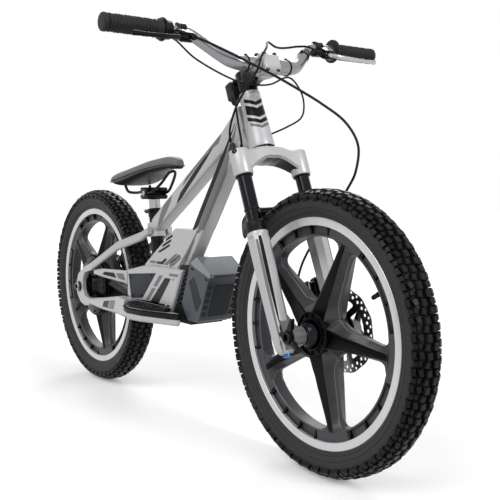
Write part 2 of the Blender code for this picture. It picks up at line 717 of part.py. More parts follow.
def make_crown(parent):
    """Make the fork crown with its leg sleeves, arched underside and steerer."""
    top = -HEADSET_RING - GAP
    profile = [(0.0, STEERER_TOP), (STEERER_RADIUS, STEERER_TOP), (STEERER_RADIUS, top)]
    profile += [(0.0245, top), (0.0245, top - 0.006), (0.019, -0.030)]
    profile += [(0.011, -0.030), (0.011, 0.020), (0.0, 0.020)]
    crown = steer_turned("fork_crown", profile, SILVER_PAINT, parent, steps=16)
    reach = LEG_Y + 0.003
    outline = [(-reach, -CROWN_TOP - 0.004), (-0.030, top - 0.001)]
    outline += [(0.030, top - 0.001), (reach, -CROWN_TOP - 0.004)]
    outline += [(reach, -CROWN_BOTTOM + 0.006), (LEG_Y - 0.020, -CROWN_BOTTOM + 0.012)]
    outline += [(0.028, -0.034), (0.012, -0.028), (-0.012, -0.028), (-0.028, -0.034)]
    outline += [(-LEG_Y + 0.020, -CROWN_BOTTOM + 0.012), (-reach, -CROWN_BOTTOM + 0.006)]
    frame = Matrix((
        (0.0, -STEER_FRONT.x, -STEER_DOWN.x, HEAD_BASE.x),
        (1.0, 0.0, 0.0, HEAD_BASE.y),
        (0.0, -STEER_FRONT.z, -STEER_DOWN.z, HEAD_BASE.z),
        (0.0, 0.0, 0.0, 1.0),
    ))
    rear = -LEG_OFFSET - 0.0165
    front = -LEG_OFFSET + 0.0172
    bridge = slab("crown_bridge", outline, rear, front, None, None, frame, 0.004)
    bore = bore_round(STANCHION_RADIUS, 16)
    wall_middle = (bore + CROWN_SLEEVE_RADIUS) / 2
    for side in (-1.0, 1.0):
        start = steer_point(0.0, side * LEG_Y, LEG_OFFSET)
        end = steer_point(CROWN_BOTTOM + 0.02, side * LEG_Y, LEG_OFFSET)
        cut(bridge, cylinder("sleeve_seat", start, end, wall_middle, None, None, 16))
    core = cylinder("core_seat", steer_point(0.05, 0.0, 0.0), HEAD_BASE, 0.015, None, None, 16)
    cut(bridge, core)
    join(crown, bridge)
    for side in (-1.0, 1.0):
        rim = CROWN_SLEEVE_RADIUS - 0.002
        sleeve = [(bore, -CROWN_TOP), (rim, -CROWN_TOP), (CROWN_SLEEVE_RADIUS, -CROWN_TOP - 0.003)]
        sleeve += [(CROWN_SLEEVE_RADIUS, -CROWN_BOTTOM + 0.003), (rim, -CROWN_BOTTOM)]
        sleeve += [(bore, -CROWN_BOTTOM)]
        join(crown, steer_turned("crown_sleeve", sleeve, None, None, side * LEG_Y, LEG_OFFSET, 16, True))
    return crown


def make_stanchions(parent):
    """Make the two stanchions with their top caps."""
    for side, name in ((-1.0, "stanchion_right"), (1.0, "stanchion_left")):
        top = -CROWN_TOP + 0.003
        profile = [(0.0, top), (STANCHION_RADIUS - 0.003, top), (STANCHION_RADIUS, top - 0.002)]
        profile += [(STANCHION_RADIUS, -STANCHION_LENGTH), (0.0, -STANCHION_LENGTH)]
        steer_turned(name, profile, CHROME, parent, side * LEG_Y, LEG_OFFSET, 16)


def leg_stations():
    """Give one lower leg's stations: way down, shares of its depth and width, and way ahead."""
    bottom = AXLE_TO_CROWN + LEG_BELOW_AXLE
    seal_end = LOWERS_TOP + SEAL_LENGTH
    return [
        (seal_end - 0.002, 0.96, 0.98, 0.0),
        (seal_end + 0.020, 1.0, 1.0, 0.0),
        (LOWERS_TOP + 0.120, 0.90, 0.97, 0.0),
        (bottom - 0.030, 0.80, 0.94, 0.001),
        (bottom - 0.008, 0.70, 0.90, 0.002),
        (bottom, 0.45, 0.60, 0.003),
    ]


def leg_rear(down):
    """Give how far ahead of the steering axis a leg's rear face lies at one height."""
    stations = leg_stations()
    for (top, depth, _, front), (low, next_depth, _, next_front) in zip(stations, stations[1:]):
        if top <= down <= low:
            share = (down - top) / (low - top)
            middle = LEG_OFFSET + front + (next_front - front) * share
            return middle - LEG_DEPTH / 2 * (depth + (next_depth - depth) * share)
    return LEG_OFFSET - LEG_DEPTH / 2


def leg_rings(side):
    """Give the rings of one lower leg, from its seal down to its foot."""
    rings = []
    for down, depth, width, front in leg_stations():
        centre = steer_point(down, side * LEG_Y, LEG_OFFSET + front)
        half_depth = LEG_DEPTH / 2 * depth
        half_width = LEG_WIDTH / 2 * width
        rings.append(rounded_ring(centre, STEER_FRONT, SIDE, half_depth, half_width, 0.011))
    return rings


def make_lowers(parent):
    """Make the fork lowers: two legs, the rear arch, the seals and the dropout lugs as one casting."""
    lowers = loft("fork_lowers", leg_rings(-1.0), SILVER_PAINT, parent)
    join(lowers, loft("left_leg", leg_rings(1.0), None, None))
    arch = []
    for step in range(7):
        share = -1.0 + 2.0 * step / 6
        behind = 0.0912 - 0.0287 * share ** 2
        reach = TYRE_OUTER_RADIUS + 0.016 - 0.052 * share ** 4
        above = math.sqrt(reach ** 2 - behind ** 2)
        centre = FRONT_AXLE - STEER_DOWN * above - STEER_FRONT * behind
        centre += SIDE * (LEG_Y * share)
        outward = (centre - FRONT_AXLE - SIDE * centre.y).normalized()
        along = outward.cross(SIDE)
        arch.append(rounded_ring(centre, along, outward, 0.016, 0.007, 0.004, 1))
    join(lowers, loft("arch", arch, None, None))
    for side in (-1.0, 1.0):
        seal = [(0.0, -LOWERS_TOP), (SEAL_RADIUS - 0.003, -LOWERS_TOP), (SEAL_RADIUS, -LOWERS_TOP - 0.004)]
        seal += [(SEAL_RADIUS, -LOWERS_TOP - SEAL_LENGTH - 0.006), (0.0, -LOWERS_TOP - SEAL_LENGTH - 0.006)]
        join(lowers, steer_turned("seal", seal, None, None, side * LEG_Y, LEG_OFFSET, 14))
        join(lowers, make_lug(side))
    for side in (-1.0, 1.0):
        start = steer_point(LOWERS_TOP - 0.01, side * LEG_Y, LEG_OFFSET)
        end = steer_point(LEG_BORE_END, side * LEG_Y, LEG_OFFSET)
        cut(lowers, cylinder("leg_bore", start, end, bore_round(STANCHION_RADIUS, 14), None, None, 14))
    start = FRONT_AXLE - SIDE * (AXLE_RIGHT_END + 0.01)
    end = FRONT_AXLE + SIDE * (AXLE_LEFT_END + 0.01)
    cut(lowers, cylinder("axle_bore", start, end, AXLE_RADIUS + GAP, None, None))
    return lowers


def make_lug(side):
    """Make the forward lug that carries the axle, ahead of one leg."""
    boss = 0.0175
    points = []
    for step in range(7):
        angle = math.radians(-100.0 + 200.0 * step / 6)
        points.append((FORK_OFFSET + boss * math.cos(angle), -AXLE_TO_CROWN + boss * math.sin(angle)))
    points += [(LEG_OFFSET + 0.004, -AXLE_TO_CROWN + 0.052), (LEG_OFFSET - 0.006, -AXLE_TO_CROWN + 0.040)]
    points += [(LEG_OFFSET - 0.006, -AXLE_TO_CROWN - 0.012), (LEG_OFFSET + 0.008, -AXLE_TO_CROWN - 0.020)]
    frame = Matrix((
        (STEER_FRONT.x, 0.0, -STEER_DOWN.x, HEAD_BASE.x),
        (0.0, 1.0, 0.0, 0.0),
        (STEER_FRONT.z, 0.0, -STEER_DOWN.z, HEAD_BASE.z),
        (0.0, 0.0, 0.0, 1.0),
    ))
    inner = HUB_WIDTH / 2 + 0.0015
    low, high = sorted((side * inner, side * (LEG_Y + 0.009)))
    return slab("axle_lug", points, low, high, None, None, frame)


def caliper_centre():
    """Give the middle of the front caliper, behind the left leg."""
    rear_face = leg_rear(CALIPER_DOWN - CALIPER_EAR_LENGTH / 2)
    return steer_point(CALIPER_DOWN, 0.052, rear_face - 0.018)


def make_axle_and_caliper(parent):
    """Make the front axle with its head, and the caliper behind the left leg."""
    right_face = -LEG_Y - 0.009 - GAP
    left_face = LEG_Y + 0.009 + GAP
    profile = [(0.0, AXLE_LEFT_END), (0.0125, AXLE_LEFT_END), (0.0145, left_face), (AXLE_RADIUS, left_face)]
    profile += [(AXLE_RADIUS, right_face), (0.0145, right_face)]
    profile += [(0.013, -AXLE_RIGHT_END), (0.006, -AXLE_RIGHT_END)]
    profile += [(0.0055, -AXLE_RIGHT_END + 0.007), (0.0, -AXLE_RIGHT_END + 0.007)]
    turned("front_axle", profile, BLACK_METAL, parent, FRONT_AXLE, SIDE, 16)
    rear_face = leg_rear(CALIPER_DOWN - CALIPER_EAR_LENGTH / 2)
    centre = caliper_centre()
    turn = STEER_FRONT.to_track_quat("X", "Z").to_matrix().to_4x4()
    body = box("front_caliper", centre, (0.034, 0.032, 0.046), BLACK_METAL, parent, turn)
    add_bevel(body, 0.005, 2)
    ear_size = (0.019, 0.014, CALIPER_EAR_LENGTH)
    ear_centre = steer_point(CALIPER_DOWN, LEG_Y - 0.006, rear_face - ear_size[0] / 2 - GAP)
    ear = box("caliper_ear", ear_centre, ear_size, None, None, turn)
    join(body, ear)
    cut(body, disc_slot(FRONT_AXLE))
    return body


def disc_slot(axle):
    """Make the cutter of a caliper's slot, round the disc."""
    middle = axle + SIDE * DISC_OFFSET
    half = SIDE * (DISC_THICKNESS / 2 + 0.0012)
    return cylinder("disc_slot", middle - half, middle + half, DISC_RADIUS + 0.003, None, None, 48)


# Frame

def make_head_tube():
    """Make the head tube, wider at its base, with a bore for the steerer."""
    bore = bore_round(STEERER_RADIUS, 20)
    profile = [(bore, HEAD_TUBE_LENGTH), (HEAD_TUBE_TOP_RADIUS - 0.001, HEAD_TUBE_LENGTH)]
    profile += [(HEAD_TUBE_TOP_RADIUS, HEAD_TUBE_LENGTH - 0.002)]
    profile += [(HEAD_TUBE_TOP_RADIUS, HEAD_TUBE_LENGTH - HEAD_TUBE_COLLAR)]
    profile += [(HEAD_TUBE_BOTTOM_RADIUS - 0.001, HEAD_TUBE_COLLAR), (HEAD_TUBE_BOTTOM_RADIUS, 0.002)]
    profile += [(HEAD_TUBE_BOTTOM_RADIUS - 0.001, 0.0), (bore, 0.0)]
    return steer_turned("head_tube", profile, SILVER_PAINT, None, closed=True)


def head_cutter():
    """Make a solid that holds the head tube with its clearance."""
    top_radius = HEAD_TUBE_TOP_RADIUS + GAP
    bottom_radius = HEAD_TUBE_BOTTOM_RADIUS + GAP
    profile = [(0.0, HEAD_TUBE_LENGTH + 0.05), (top_radius, HEAD_TUBE_LENGTH + 0.05)]
    profile.append((top_radius, HEAD_TUBE_LENGTH - HEAD_TUBE_COLLAR))
    profile.append((bottom_radius - 0.001, HEAD_TUBE_COLLAR))
    profile += [(bottom_radius, 0.002), (bottom_radius, -0.05), (0.0, -0.05)]
    return steer_turned("head_clearance", profile, None, None)


def make_headset():
    """Make the thin lower headset ring."""
    bore = bore_round(STEERER_RADIUS, 16)
    profile = [(bore, -GAP), (0.0255, -GAP), (0.0250, -HEADSET_RING), (bore, -HEADSET_RING)]
    return steer_turned("headset_lower", profile, BLACK_METAL, None, steps=16, closed=True)


def top_tube_loft(name, finish, grow=0.0):
    """Skin the top tube from the seat tube's cup to the head tube."""
    rear = seat_point(TOP_TUBE_REAR_HEIGHT, 0.0, 0.0)
    front = steer_point(-TOP_TUBE_FRONT_HEIGHT, 0.0, 0.0)
    along = (front - rear).normalized()
    rise = SIDE.cross(along) * -1.0
    half_width = TOP_TUBE_WIDTH / 2 + grow
    half_depth = TOP_TUBE_DEPTH / 2 + grow
    head_half = TUBE_HEAD_WIDTH / 2 + grow
    rings = [
        rounded_ring(rear - along * 0.004, SIDE, rise, half_width * 1.05, half_depth * 0.80, 0.006),
        rounded_ring(rear + along * 0.030, SIDE, rise, half_width, half_depth * 0.96, 0.006),
        rounded_ring(rear.lerp(front, 0.45), SIDE, rise, half_width, half_depth, 0.006),
        rounded_ring(rear.lerp(front, 0.80), SIDE, rise, half_width, half_depth * 1.06, 0.006),
        rounded_ring(front, SIDE, -STEER_DOWN, head_half, TOP_TUBE_HEAD_DEPTH / 2 + grow, 0.008),
    ]
    return loft(name, rings, finish, None)


def make_top_tube():
    """Make the top tube and the cup that wraps the seat tube."""
    top = top_tube_loft("top_tube", SILVER_PAINT)
    cup_foot = TOP_TUBE_REAR_HEIGHT - 0.6 * CUP_LENGTH
    cup = seat_cylinder("cup", cup_foot, cup_foot + CUP_LENGTH, CUP_RADIUS)
    join(top, cup)
    cut(top, head_cutter())
    cut(top, seat_cylinder("seat_clearance", -0.02, SEAT_TUBE_LENGTH + 0.05, SEAT_TUBE_RADIUS + GAP))
    return top


def seat_cylinder(name, low, high, radius, finish=None, steps=20):
    """Add a cylinder on the seat tube's axis."""
    return cylinder(name, seat_point(low, 0, 0), seat_point(high, 0, 0), radius, finish, None, steps)


def down_tube_loft(name, finish, grow=0.0):
    """Skin the down tube from its foot at the drive case to the head tube."""
    foot = body_point(DOWN_TUBE_FOOT[0], 0.0, DOWN_TUBE_FOOT[1])
    straight_end = steer_point(-TOP_TUBE_FRONT_HEIGHT - 0.008, 0.0, 0.0)
    head = steer_point(-DOWN_TUBE_HEAD_HEIGHT, 0.0, 0.0)
    along = (straight_end - foot).normalized()
    rise = SIDE.cross(along) * -1.0
    half_width = DOWN_TUBE_WIDTH / 2 + grow
    half_depth = DOWN_TUBE_DEPTH / 2 + grow
    head_width = TUBE_HEAD_WIDTH / 2 + grow
    head_depth = DOWN_TUBE_HEAD_DEPTH / 2 + grow
    low = foot - along * DOWN_TUBE_RUN_IN
    middle = foot.lerp(straight_end, 0.62)
    flare = foot.lerp(straight_end, 0.74)
    rings = [
        rounded_ring(low, SIDE, rise, half_width, half_depth, 0.007),
        rounded_ring(middle, SIDE, rise, half_width, half_depth, 0.007),
        rounded_ring(flare, SIDE, rise, half_width * 1.03, half_depth * 1.05, 0.007),
        rounded_ring(head, SIDE, -STEER_DOWN, head_width, head_depth, 0.008),
    ]
    return loft(name, rings, finish, None)


def make_down_tube():
    """Make the down tube, cut clear of the head tube, the top tube and the drive case."""
    down = down_tube_loft("down_tube", SILVER_PAINT)
    cut(down, head_cutter())
    cut(down, top_tube_loft("top_clearance", None, GAP))
    cut(down, case_cutter())
    return down


CASE_OUTLINE = [
    (-0.213, 0.064), (-0.120, 0.082), (0.050, 0.083), (-0.003, -0.019), (-0.200, -0.017), (-0.215, 0.004),
]
BATTERY_OUTLINE = [
    (0.037, 0.009), (0.069, 0.087), (0.074, 0.101), (0.104, 0.116), (0.158, 0.081),
    (0.148, 0.066), (0.109, -0.023), (0.103, -0.027), (0.060, -0.027),
]
PANEL_OUTLINE = [(-0.206, 0.054), (-0.066, 0.067), (-0.134, 0.002), (-0.193, -0.004)]
CRADLE_OUTLINE = [
    (0.030, 0.092), (0.080, 0.092), (0.055, 0.020), (0.048, -0.0275), (0.076, -0.0275),
    (0.072, -0.036), (0.020, -0.036), (-0.030, -0.012),
]


def case_cutter():
    """Make the drive case's outline with its clearance, right through the bike."""
    outline = offset_outline(body_outline(CASE_OUTLINE), GAP)
    return slab("case_clearance", outline, -0.2, 0.2, None, None)


def make_drive_case():
    """Make the drive case with its tyre recess and the seats of its side covers."""
    outline = body_outline(CASE_OUTLINE)
    case = slab("drive_case", outline, -CASE_HALF_WIDTH, CASE_HALF_WIDTH, SILVER_PAINT, None, None, 0.003)
    half = CASE_TYRE_GAP_WIDTH / 2
    start = REAR_AXLE - SIDE * half
    end = REAR_AXLE + SIDE * half
    cut(case, cylinder("tyre_recess", start, end, TYRE_OUTER_RADIUS + TYRE_CLEARANCE, None, None, 64))
    seat = offset_outline(body_outline(PANEL_OUTLINE), GAP)
    floor = CASE_HALF_WIDTH - PANEL_THICKNESS - 0.0008
    for low, high in ((-CASE_HALF_WIDTH - 0.01, -floor), (floor, CASE_HALF_WIDTH + 0.01)):
        cut(case, slab("panel_seat", seat, low, high, None, None))
    return case


def make_side_panels():
    """Make the two covers that sit in the drive case's sides."""
    floor = CASE_HALF_WIDTH - PANEL_THICKNESS - 0.0008 + GAP
    outline = body_outline(PANEL_OUTLINE)
    for name, side in (("side_panel_right", -1.0), ("side_panel_left", 1.0)):
        low, high = sorted((side * floor, side * (floor + PANEL_THICKNESS)))
        slab(name, outline, low, high, SLATE_PLASTIC, None, None, 0.0008)


def make_gusset():
    """Make the slotted web that fills the corner between seat tube and down tube."""
    base = case_top(0.0)
    rings = []
    stations = [(base, -0.156, 0.040, 0.034), (0.115, -0.115, 0.060, 0.026), (0.171, -0.034, 0.075, 0.0195)]
    for height, rear, front, half in stations:
        centre = body_point((rear + front) / 2, 0.0, height)
        half_length = (front - rear) / 2 * FRAME_STRETCH
        rings.append(rounded_ring(centre, Vector((1.0, 0.0, 0.0)), SIDE, half_length, half, 0.006))
    gusset = loft("frame_gusset", rings, SILVER_PAINT, None)
    cut(gusset, down_tube_loft("down_clearance", None, GAP))
    cut(gusset, front_of_down_tube())
    cut(gusset, case_cutter())
    cut(gusset, seat_cylinder("seat_clearance", -0.02, SEAT_TUBE_LENGTH + 0.05, SEAT_TUBE_RADIUS + GAP))
    slots = [
        ((-0.095, 0.113), (-0.047, 0.132)),
        ((-0.080, 0.128), (-0.043, 0.143)),
        ((-0.068, 0.142), (-0.038, 0.154)),
    ]
    for side in (-1.0, 1.0):
        for rear, front in slots:
            cut(gusset, slot_tool(rear, front, 0.0028, side * 0.020, side * 0.06))
        cut(gusset, slot_tool((-0.030, 0.088), (0.004, 0.108), 0.0065, side * 0.020, side * 0.06))
    return gusset


def case_top(x):
    """Give the height of the drive case's upper edge ahead of its bend."""
    (x0, z0), (x1, z1) = CASE_OUTLINE[1], CASE_OUTLINE[2]
    return z0 + (z1 - z0) * (x - x0) / (x1 - x0) - 0.003


def slot_tool(rear, front, half_width, low, high):
    """Make the cutter of one slanted slot in the web's side."""
    start = Vector(rear)
    end = Vector(front)
    along = (end - start).normalized() * half_width
    across = Vector((-along.y, along.x))
    outline = [start + across, start - along * 0.6, start - across]
    outline += [end - across, end + along * 0.6, end + across]
    low, high = sorted((low, high))
    return slab("slot", body_outline([tuple(point) for point in outline]), low, high, None, None)


def front_of_down_tube():
    """Make a solid that fills the space ahead of the down tube's front face."""
    foot = body_point(DOWN_TUBE_FOOT[0], 0.0, DOWN_TUBE_FOOT[1])
    end = steer_point(-TOP_TUBE_FRONT_HEIGHT - 0.008, 0.0, 0.0)
    along = (end - foot).normalized()
    front = SIDE.cross(along)
    start = foot - along * 0.1
    near = front * 0.004
    far = front * 0.2
    points = [start + near, start + far, end + far, end + near]
    return slab("down_tube_front", [(point.x, point.z) for point in points], -0.1, 0.1, None, None)


def make_seat_tube():
    """Make the seat tube, open at both ends, with its top collar."""
    inner = bore_round(SEAT_POST_RADIUS, 20)
    top = SEAT_TUBE_LENGTH
    profile = [(inner, top), (0.0175, top), (0.0175, top - 0.008), (SEAT_TUBE_RADIUS, top - 0.009)]
    profile += [(SEAT_TUBE_RADIUS, GAP), (inner, GAP)]
    seat = turned("seat_tube", profile, BLACK_METAL, None, SEAT_BASE, SEAT_UP, 20, True)
    cut(seat, case_cutter())
    return seat


# The clamp lever's course: how far ahead of its pivot and how far out to the right
CLAMP_LEVER_ROUTE = [(0.0, 0.0), (0.012, 0.011), (0.024, 0.0125), (0.042, 0.0125)]


def clamp_pivot():
    """Give the place of the seat clamp lever's pivot."""
    return seat_point(SEAT_TUBE_LENGTH + GAP + CLAMP_HEIGHT / 2, -0.0205, -0.0125)


def make_seat_clamp(clamp_lever_body):
    """Make the clamp ring above the seat tube and its quick-release lever."""
    inner = bore_round(SEAT_POST_RADIUS, 20)
    low = SEAT_TUBE_LENGTH + GAP
    high = low + CLAMP_HEIGHT
    profile = [(inner, high), (0.0185, high), (0.0185, low), (inner, low)]
    ring = turned("seat_clamp", profile, BLACK_METAL, None, SEAT_BASE, SEAT_UP, 20, True)
    ear_centre = seat_point((low + high) / 2, -0.0195, 0.0)
    ear = box("clamp_ear", ear_centre, (0.012, 0.0178, 0.0095), None, None, seat_turn())
    join(ring, ear)
    cut(ring, seat_cylinder("post_clearance", low - 0.01, high + 0.01, inner))
    pivot = clamp_pivot()
    foot = pivot - SEAT_UP * 0.0045
    head = pivot + SEAT_UP * 0.0045
    lever = cylinder("seat_clamp_lever", foot, head, 0.0033, BLACK_METAL, clamp_lever_body, 12)
    route = [pivot + SEAT_AHEAD * ahead - SIDE * out for ahead, out in CLAMP_LEVER_ROUTE]
    blade = tube("lever_blade", route, 0.0030, None, None, (1.0, 1.0, 1.0, 1.25), 1)
    join(lever, as_mesh(blade, "lever_blade", None))


def seat_turn():
    """Give the turn that stands local +Z on the seat tube's axis and keeps +Y."""
    return Matrix.Rotation(-(math.pi / 2 - SEAT_ANGLE), 4, "Y")


def make_seat_stays():
    """Make each seat stay with its C-shaped dropout, the left one mirrored."""
    centre = REAR_AXLE.x
    plate = [
        (0.075, 0.0685, 0.0), (0.030, 0.054, 0.010), (-0.006, 0.034, 0.012), (-0.022, 0.004, 0.012),
        (-0.016, -0.022, 0.012), (0.006, -0.043, 0.010), (0.034, -0.049, 0.006), (0.062, -0.044, 0.0),
        (0.062, -0.026, 0.0), (0.034, -0.024, 0.008), (0.024, -0.008, 0.008), (0.021, 0.020, 0.010),
        (0.034, 0.040, 0.010), (0.080, 0.051, 0.0),
    ]
    outline = [(centre + x, AXLE_HEIGHT + z) for x, z in fillet_outline(plate, 1)]
    root = seat_point(TOP_TUBE_REAR_HEIGHT - 0.010, 0.0, 0.0)
    inner = CUP_RADIUS + GAP + STAY_THICKNESS / 2
    for name, side in (("seat_stay_right", -1.0), ("seat_stay_left", 1.0)):
        stations = [
            (root + Vector((0.016, side * inner, 0.006)), 0.006, 0.0085),
            (root + Vector((-0.020, side * (inner + 0.003), -0.010)), 0.006, 0.0105),
            (body_point(-0.260, side * 0.050, 0.1195), 0.006, 0.0105),
            (rear_point(0.0835, side * DROPOUT_OFFSET, 0.0640), DROPOUT_THICKNESS / 2, 0.0100),
            (rear_point(0.0615, side * DROPOUT_OFFSET, 0.0560), DROPOUT_THICKNESS / 2 - 0.0002, 0.0080),
        ]
        rings = [rounded_ring(point, SIDE, UP, half, tall, 0.003, 1) for point, half, tall in stations]
        stay = loft(name, rings, SILVER_PAINT, None)
        faces = (DROPOUT_OFFSET - DROPOUT_THICKNESS / 2, DROPOUT_OFFSET + DROPOUT_THICKNESS / 2)
        low, high = sorted((side * faces[0], side * faces[1]))
        join(stay, slab(name + "_dropout", outline, low, high, None, None, None, 0.0015))
        start = REAR_AXLE + SIDE * (low - 0.01)
        end = REAR_AXLE + SIDE * (high + 0.01)
        cut(stay, cylinder(name + "_bore", start, end, REAR_AXLE_RADIUS + GAP, None, None, 20))


def make_upper_and_lower_stays():
    """Make the stays that run from the dropouts to the drive case on each side."""
    for side, label in ((-1.0, "right"), (1.0, "left")):
        outer = CASE_HALF_WIDTH - 0.005
        stations = [
            (rear_point(0.0925, side * DROPOUT_OFFSET, 0.0455), 0.0045, 0.0060),
            (rear_point(0.1335, side * 0.0600, 0.0470), 0.0050, 0.0105),
            (body_point(-0.2140, side * outer, 0.0440), 0.0050, 0.0165),
        ]
        rings = [rounded_ring(point, SIDE, UP, half, tall, 0.003, 1) for point, half, tall in stations]
        upper = loft("upper_stay_" + label, rings, SILVER_PAINT, None)
        cut(upper, case_cutter())
        tip = REAR_AXLE.x + 0.062 + GAP
        inner = CASE_HALF_WIDTH + GAP
        first = Vector((tip, side * DROPOUT_OFFSET, AXLE_HEIGHT - 0.035))
        stations = [
            (first, 0.0050, 0.0085),
            (rear_point(0.1535, side * 0.0650, -0.0300), 0.0100, 0.0150),
            (body_point(-0.215, side * 0.0680, -0.0220), 0.0140, 0.0215),
            (body_point(-0.158, side * (inner + 0.0185), -0.0240), 0.0185, 0.0215),
        ]
        rings = [rounded_ring(point, SIDE, UP, half, tall, 0.004, 1) for point, half, tall in stations]
        lower = loft("lower_stay_" + label, rings, SILVER_PAINT, None)
        low, high = sorted((side * 0.0, side * inner))
        case_side = offset_outline(body_outline(CASE_OUTLINE), GAP)
        cut(lower, slab("case_side", case_side, low, high, None, None))


def make_rear_axle():
    """Make the rear axle with its two nuts and washers."""
    face = DROPOUT_OFFSET + DROPOUT_THICKNESS / 2 + GAP
    half = [(0.0, face + 0.014), (REAR_AXLE_RADIUS, face + 0.014), (REAR_AXLE_RADIUS, face + 0.009)]
    half += [(REAR_NUT_RADIUS, face + 0.009), (REAR_NUT_RADIUS, face + 0.002)]
    half += [(0.0135, face + 0.002), (0.0135, face), (REAR_AXLE_RADIUS, face)]
    profile = half + [(radius, -height) for radius, height in reversed(half)]
    return turned("rear_axle", profile, CHROME, None, REAR_AXLE, SIDE, 12)


def make_rear_caliper():
    """Make the rear caliper inside the left dropout."""
    face = DROPOUT_OFFSET - DROPOUT_THICKNESS / 2 - GAP
    inner = 0.0375
    centre = REAR_AXLE + Vector((0.052, (face + inner) / 2, 0.062))
    turn = Matrix.Rotation(math.radians(38.0), 4, "Y")
    caliper = box("rear_caliper", centre, (0.052, face - inner, 0.030), BLACK_METAL, None, turn)
    add_bevel(caliper, 0.004, 1)
    cut(caliper, disc_slot(REAR_AXLE))
    return caliper


def make_footrests():
    """Make the footrests beside the drive case, with their serrated treads."""
    inner = CASE_HALF_WIDTH + GAP
    for side, label in ((-1.0, "right"), (1.0, "left")):
        plan = [(-0.1577, inner), (-0.1577, FOOTREST_WIDTH - 0.012), (-0.118, FOOTREST_WIDTH)]
        plan += [(-0.060, FOOTREST_WIDTH - 0.006), (0.030, 0.066), (0.046, 0.058), (0.046, inner)]
        top = AXLE_HEIGHT + FOOTREST_TOP
        plan_slab("footrest_" + label, plan, side, top - FOOTREST_THICKNESS, top, SILVER_PAINT, 0.004)
        tread_plan = [(-0.150, inner + 0.004), (-0.150, FOOTREST_WIDTH - 0.016)]
        tread_plan += [(-0.118, FOOTREST_WIDTH - 0.006), (-0.062, FOOTREST_WIDTH - 0.012)]
        tread_plan += [(0.006, 0.068), (0.006, inner + 0.004)]
        low = top + GAP
        high = low + TREAD_THICKNESS
        tread = plan_slab("foot_tread_" + label, tread_plan, side, low, high, BLACK_PLASTIC, 0.0)
        for index in range(TREAD_GROOVES):
            along = body_point(FIRST_TREAD_GROOVE + TREAD_GROOVE_PITCH * index, 0.0, 0.0).x
            spot = Vector((along, side * 0.075, high))
            cut(tread, box("tread_groove", spot, (0.004, 0.12, 0.006), None, None))


def plan_slab(name, plan, side, low, high, finish, bevel):
    """Extrude an outline given from above, between two heights."""
    flat = [(body_point(x, 0.0, 0.0).x, -side * y) for x, y in plan]
    lay_down = Matrix.Rotation(math.pi / 2, 4, "X")
    return slab(name, flat, low, high, finish, None, lay_down, bevel)


# Battery and cradle

def make_battery(parent):
    """Make the battery pack with its recessed side panels and lid groove."""
    half = BATTERY_HALF_WIDTH
    outline = body_outline(BATTERY_OUTLINE)
    battery = slab("battery", outline, -half, half, BATTERY_GREY, parent, None, 0.0025)
    recess = [(0.070, 0.060), (0.092, 0.072), (0.120, 0.020), (0.098, -0.008)]
    for side in (-1.0, 1.0):
        low, high = sorted((side * (half - 0.0015), side * (half + 0.01)))
        cut(battery, slab("battery_recess", body_outline(recess), low, high, None, None))
    return battery


def make_cradle():
    """Make the ribbed cradle between the drive case and the battery."""
    outline = body_outline(CRADLE_OUTLINE)
    cradle = slab("battery_cradle", outline, -CRADLE_HALF_WIDTH, CRADLE_HALF_WIDTH, BLACK_PLASTIC, None)
    cut(cradle, case_cutter())
    grown = offset_outline(body_outline(BATTERY_OUTLINE), GAP)
    cut(cradle, slab("battery_clearance", grown, -0.1, 0.1, None, None))
    cut(cradle, down_tube_loft("down_clearance", None, GAP))
    for side in (-1.0, 1.0):
        for index in range(CRADLE_RIBS - 1):
            height = 0.074 - index * 0.0112
            low, high = sorted((side * (CRADLE_HALF_WIDTH - 0.008), side * (CRADLE_HALF_WIDTH + 0.01)))
            x = 0.0345 + (height - 0.03) * 0.42
            bar = [(x - 0.03, height - 0.0022), (x + 0.03, height - 0.0022)]
            bar += [(x + 0.03, height + 0.0022), (x - 0.03, height + 0.0022)]
            cut(cradle, slab("rib_gap", body_outline(bar), low, high, None, None))
    return cradle


# Seat

def make_seat(parent):
    """Make the seat post with its head clamp, the rails and the saddle."""
    profile = [(0.0, SEAT_POST_TOP), (SEAT_POST_RADIUS, SEAT_POST_TOP)]
    profile.append((SEAT_POST_RADIUS, SEAT_POST_FOOT + 0.001))
    profile += [(SEAT_POST_RADIUS - 0.001, SEAT_POST_FOOT), (0.0, SEAT_POST_FOOT)]
    post = turned("seat_post", profile, CHROME, parent, SEAT_BASE, SEAT_UP, 16)
    head = seat_point(SEAT_POST_TOP + 0.012, 0.0, 0.0)
    clamp = box("post_head", head, (0.044, 0.060, 0.030), None, None)
    add_bevel(clamp, 0.005, 2)
    join(post, clamp)
    rail_height = head.z + 0.002
    middle = head.x
    half = RAIL_SPACING / 2
    side_route = [
        (middle - 0.084, half + 0.012, rail_height + 0.0166),
        (middle - 0.072, half + 0.010, rail_height + 0.002),
        (middle - 0.050, half + 0.003, rail_height - 0.001),
        (middle - 0.026, half, rail_height),
        (middle + 0.026, half, rail_height),
        (middle + 0.062, half * 0.7, rail_height + 0.020),
        (middle + 0.090, half * 0.35, rail_height + 0.0458),
    ]
    route = side_route + [(x, -y, z) for x, y, z in reversed(side_route)]
    tube("saddle_rails", [Vector(point) for point in route], RAIL_RADIUS, STEEL, parent)
    for side in (-1.0, 1.0):
        start = Vector((middle - 0.04, side * half, rail_height))
        end = Vector((middle + 0.04, side * half, rail_height))
        cut(post, cylinder("rail_groove", start, end, RAIL_RADIUS + 0.0006, None, None, 12))
    make_saddle(parent, Vector((middle - SADDLE_TAIL_BEHIND_POST, 0.0, rail_height + 0.006)))


# One ring of the saddle: shares of its half width and half height, from the crown round
SADDLE_RING = [
    (0.0, 1.0), (-0.7711, 0.7071), (-1.0, 0.0), (-0.6940, -0.5657),
    (0.0, -0.8), (0.6940, -0.5657), (1.0, 0.0), (0.7711, 0.7071),
]


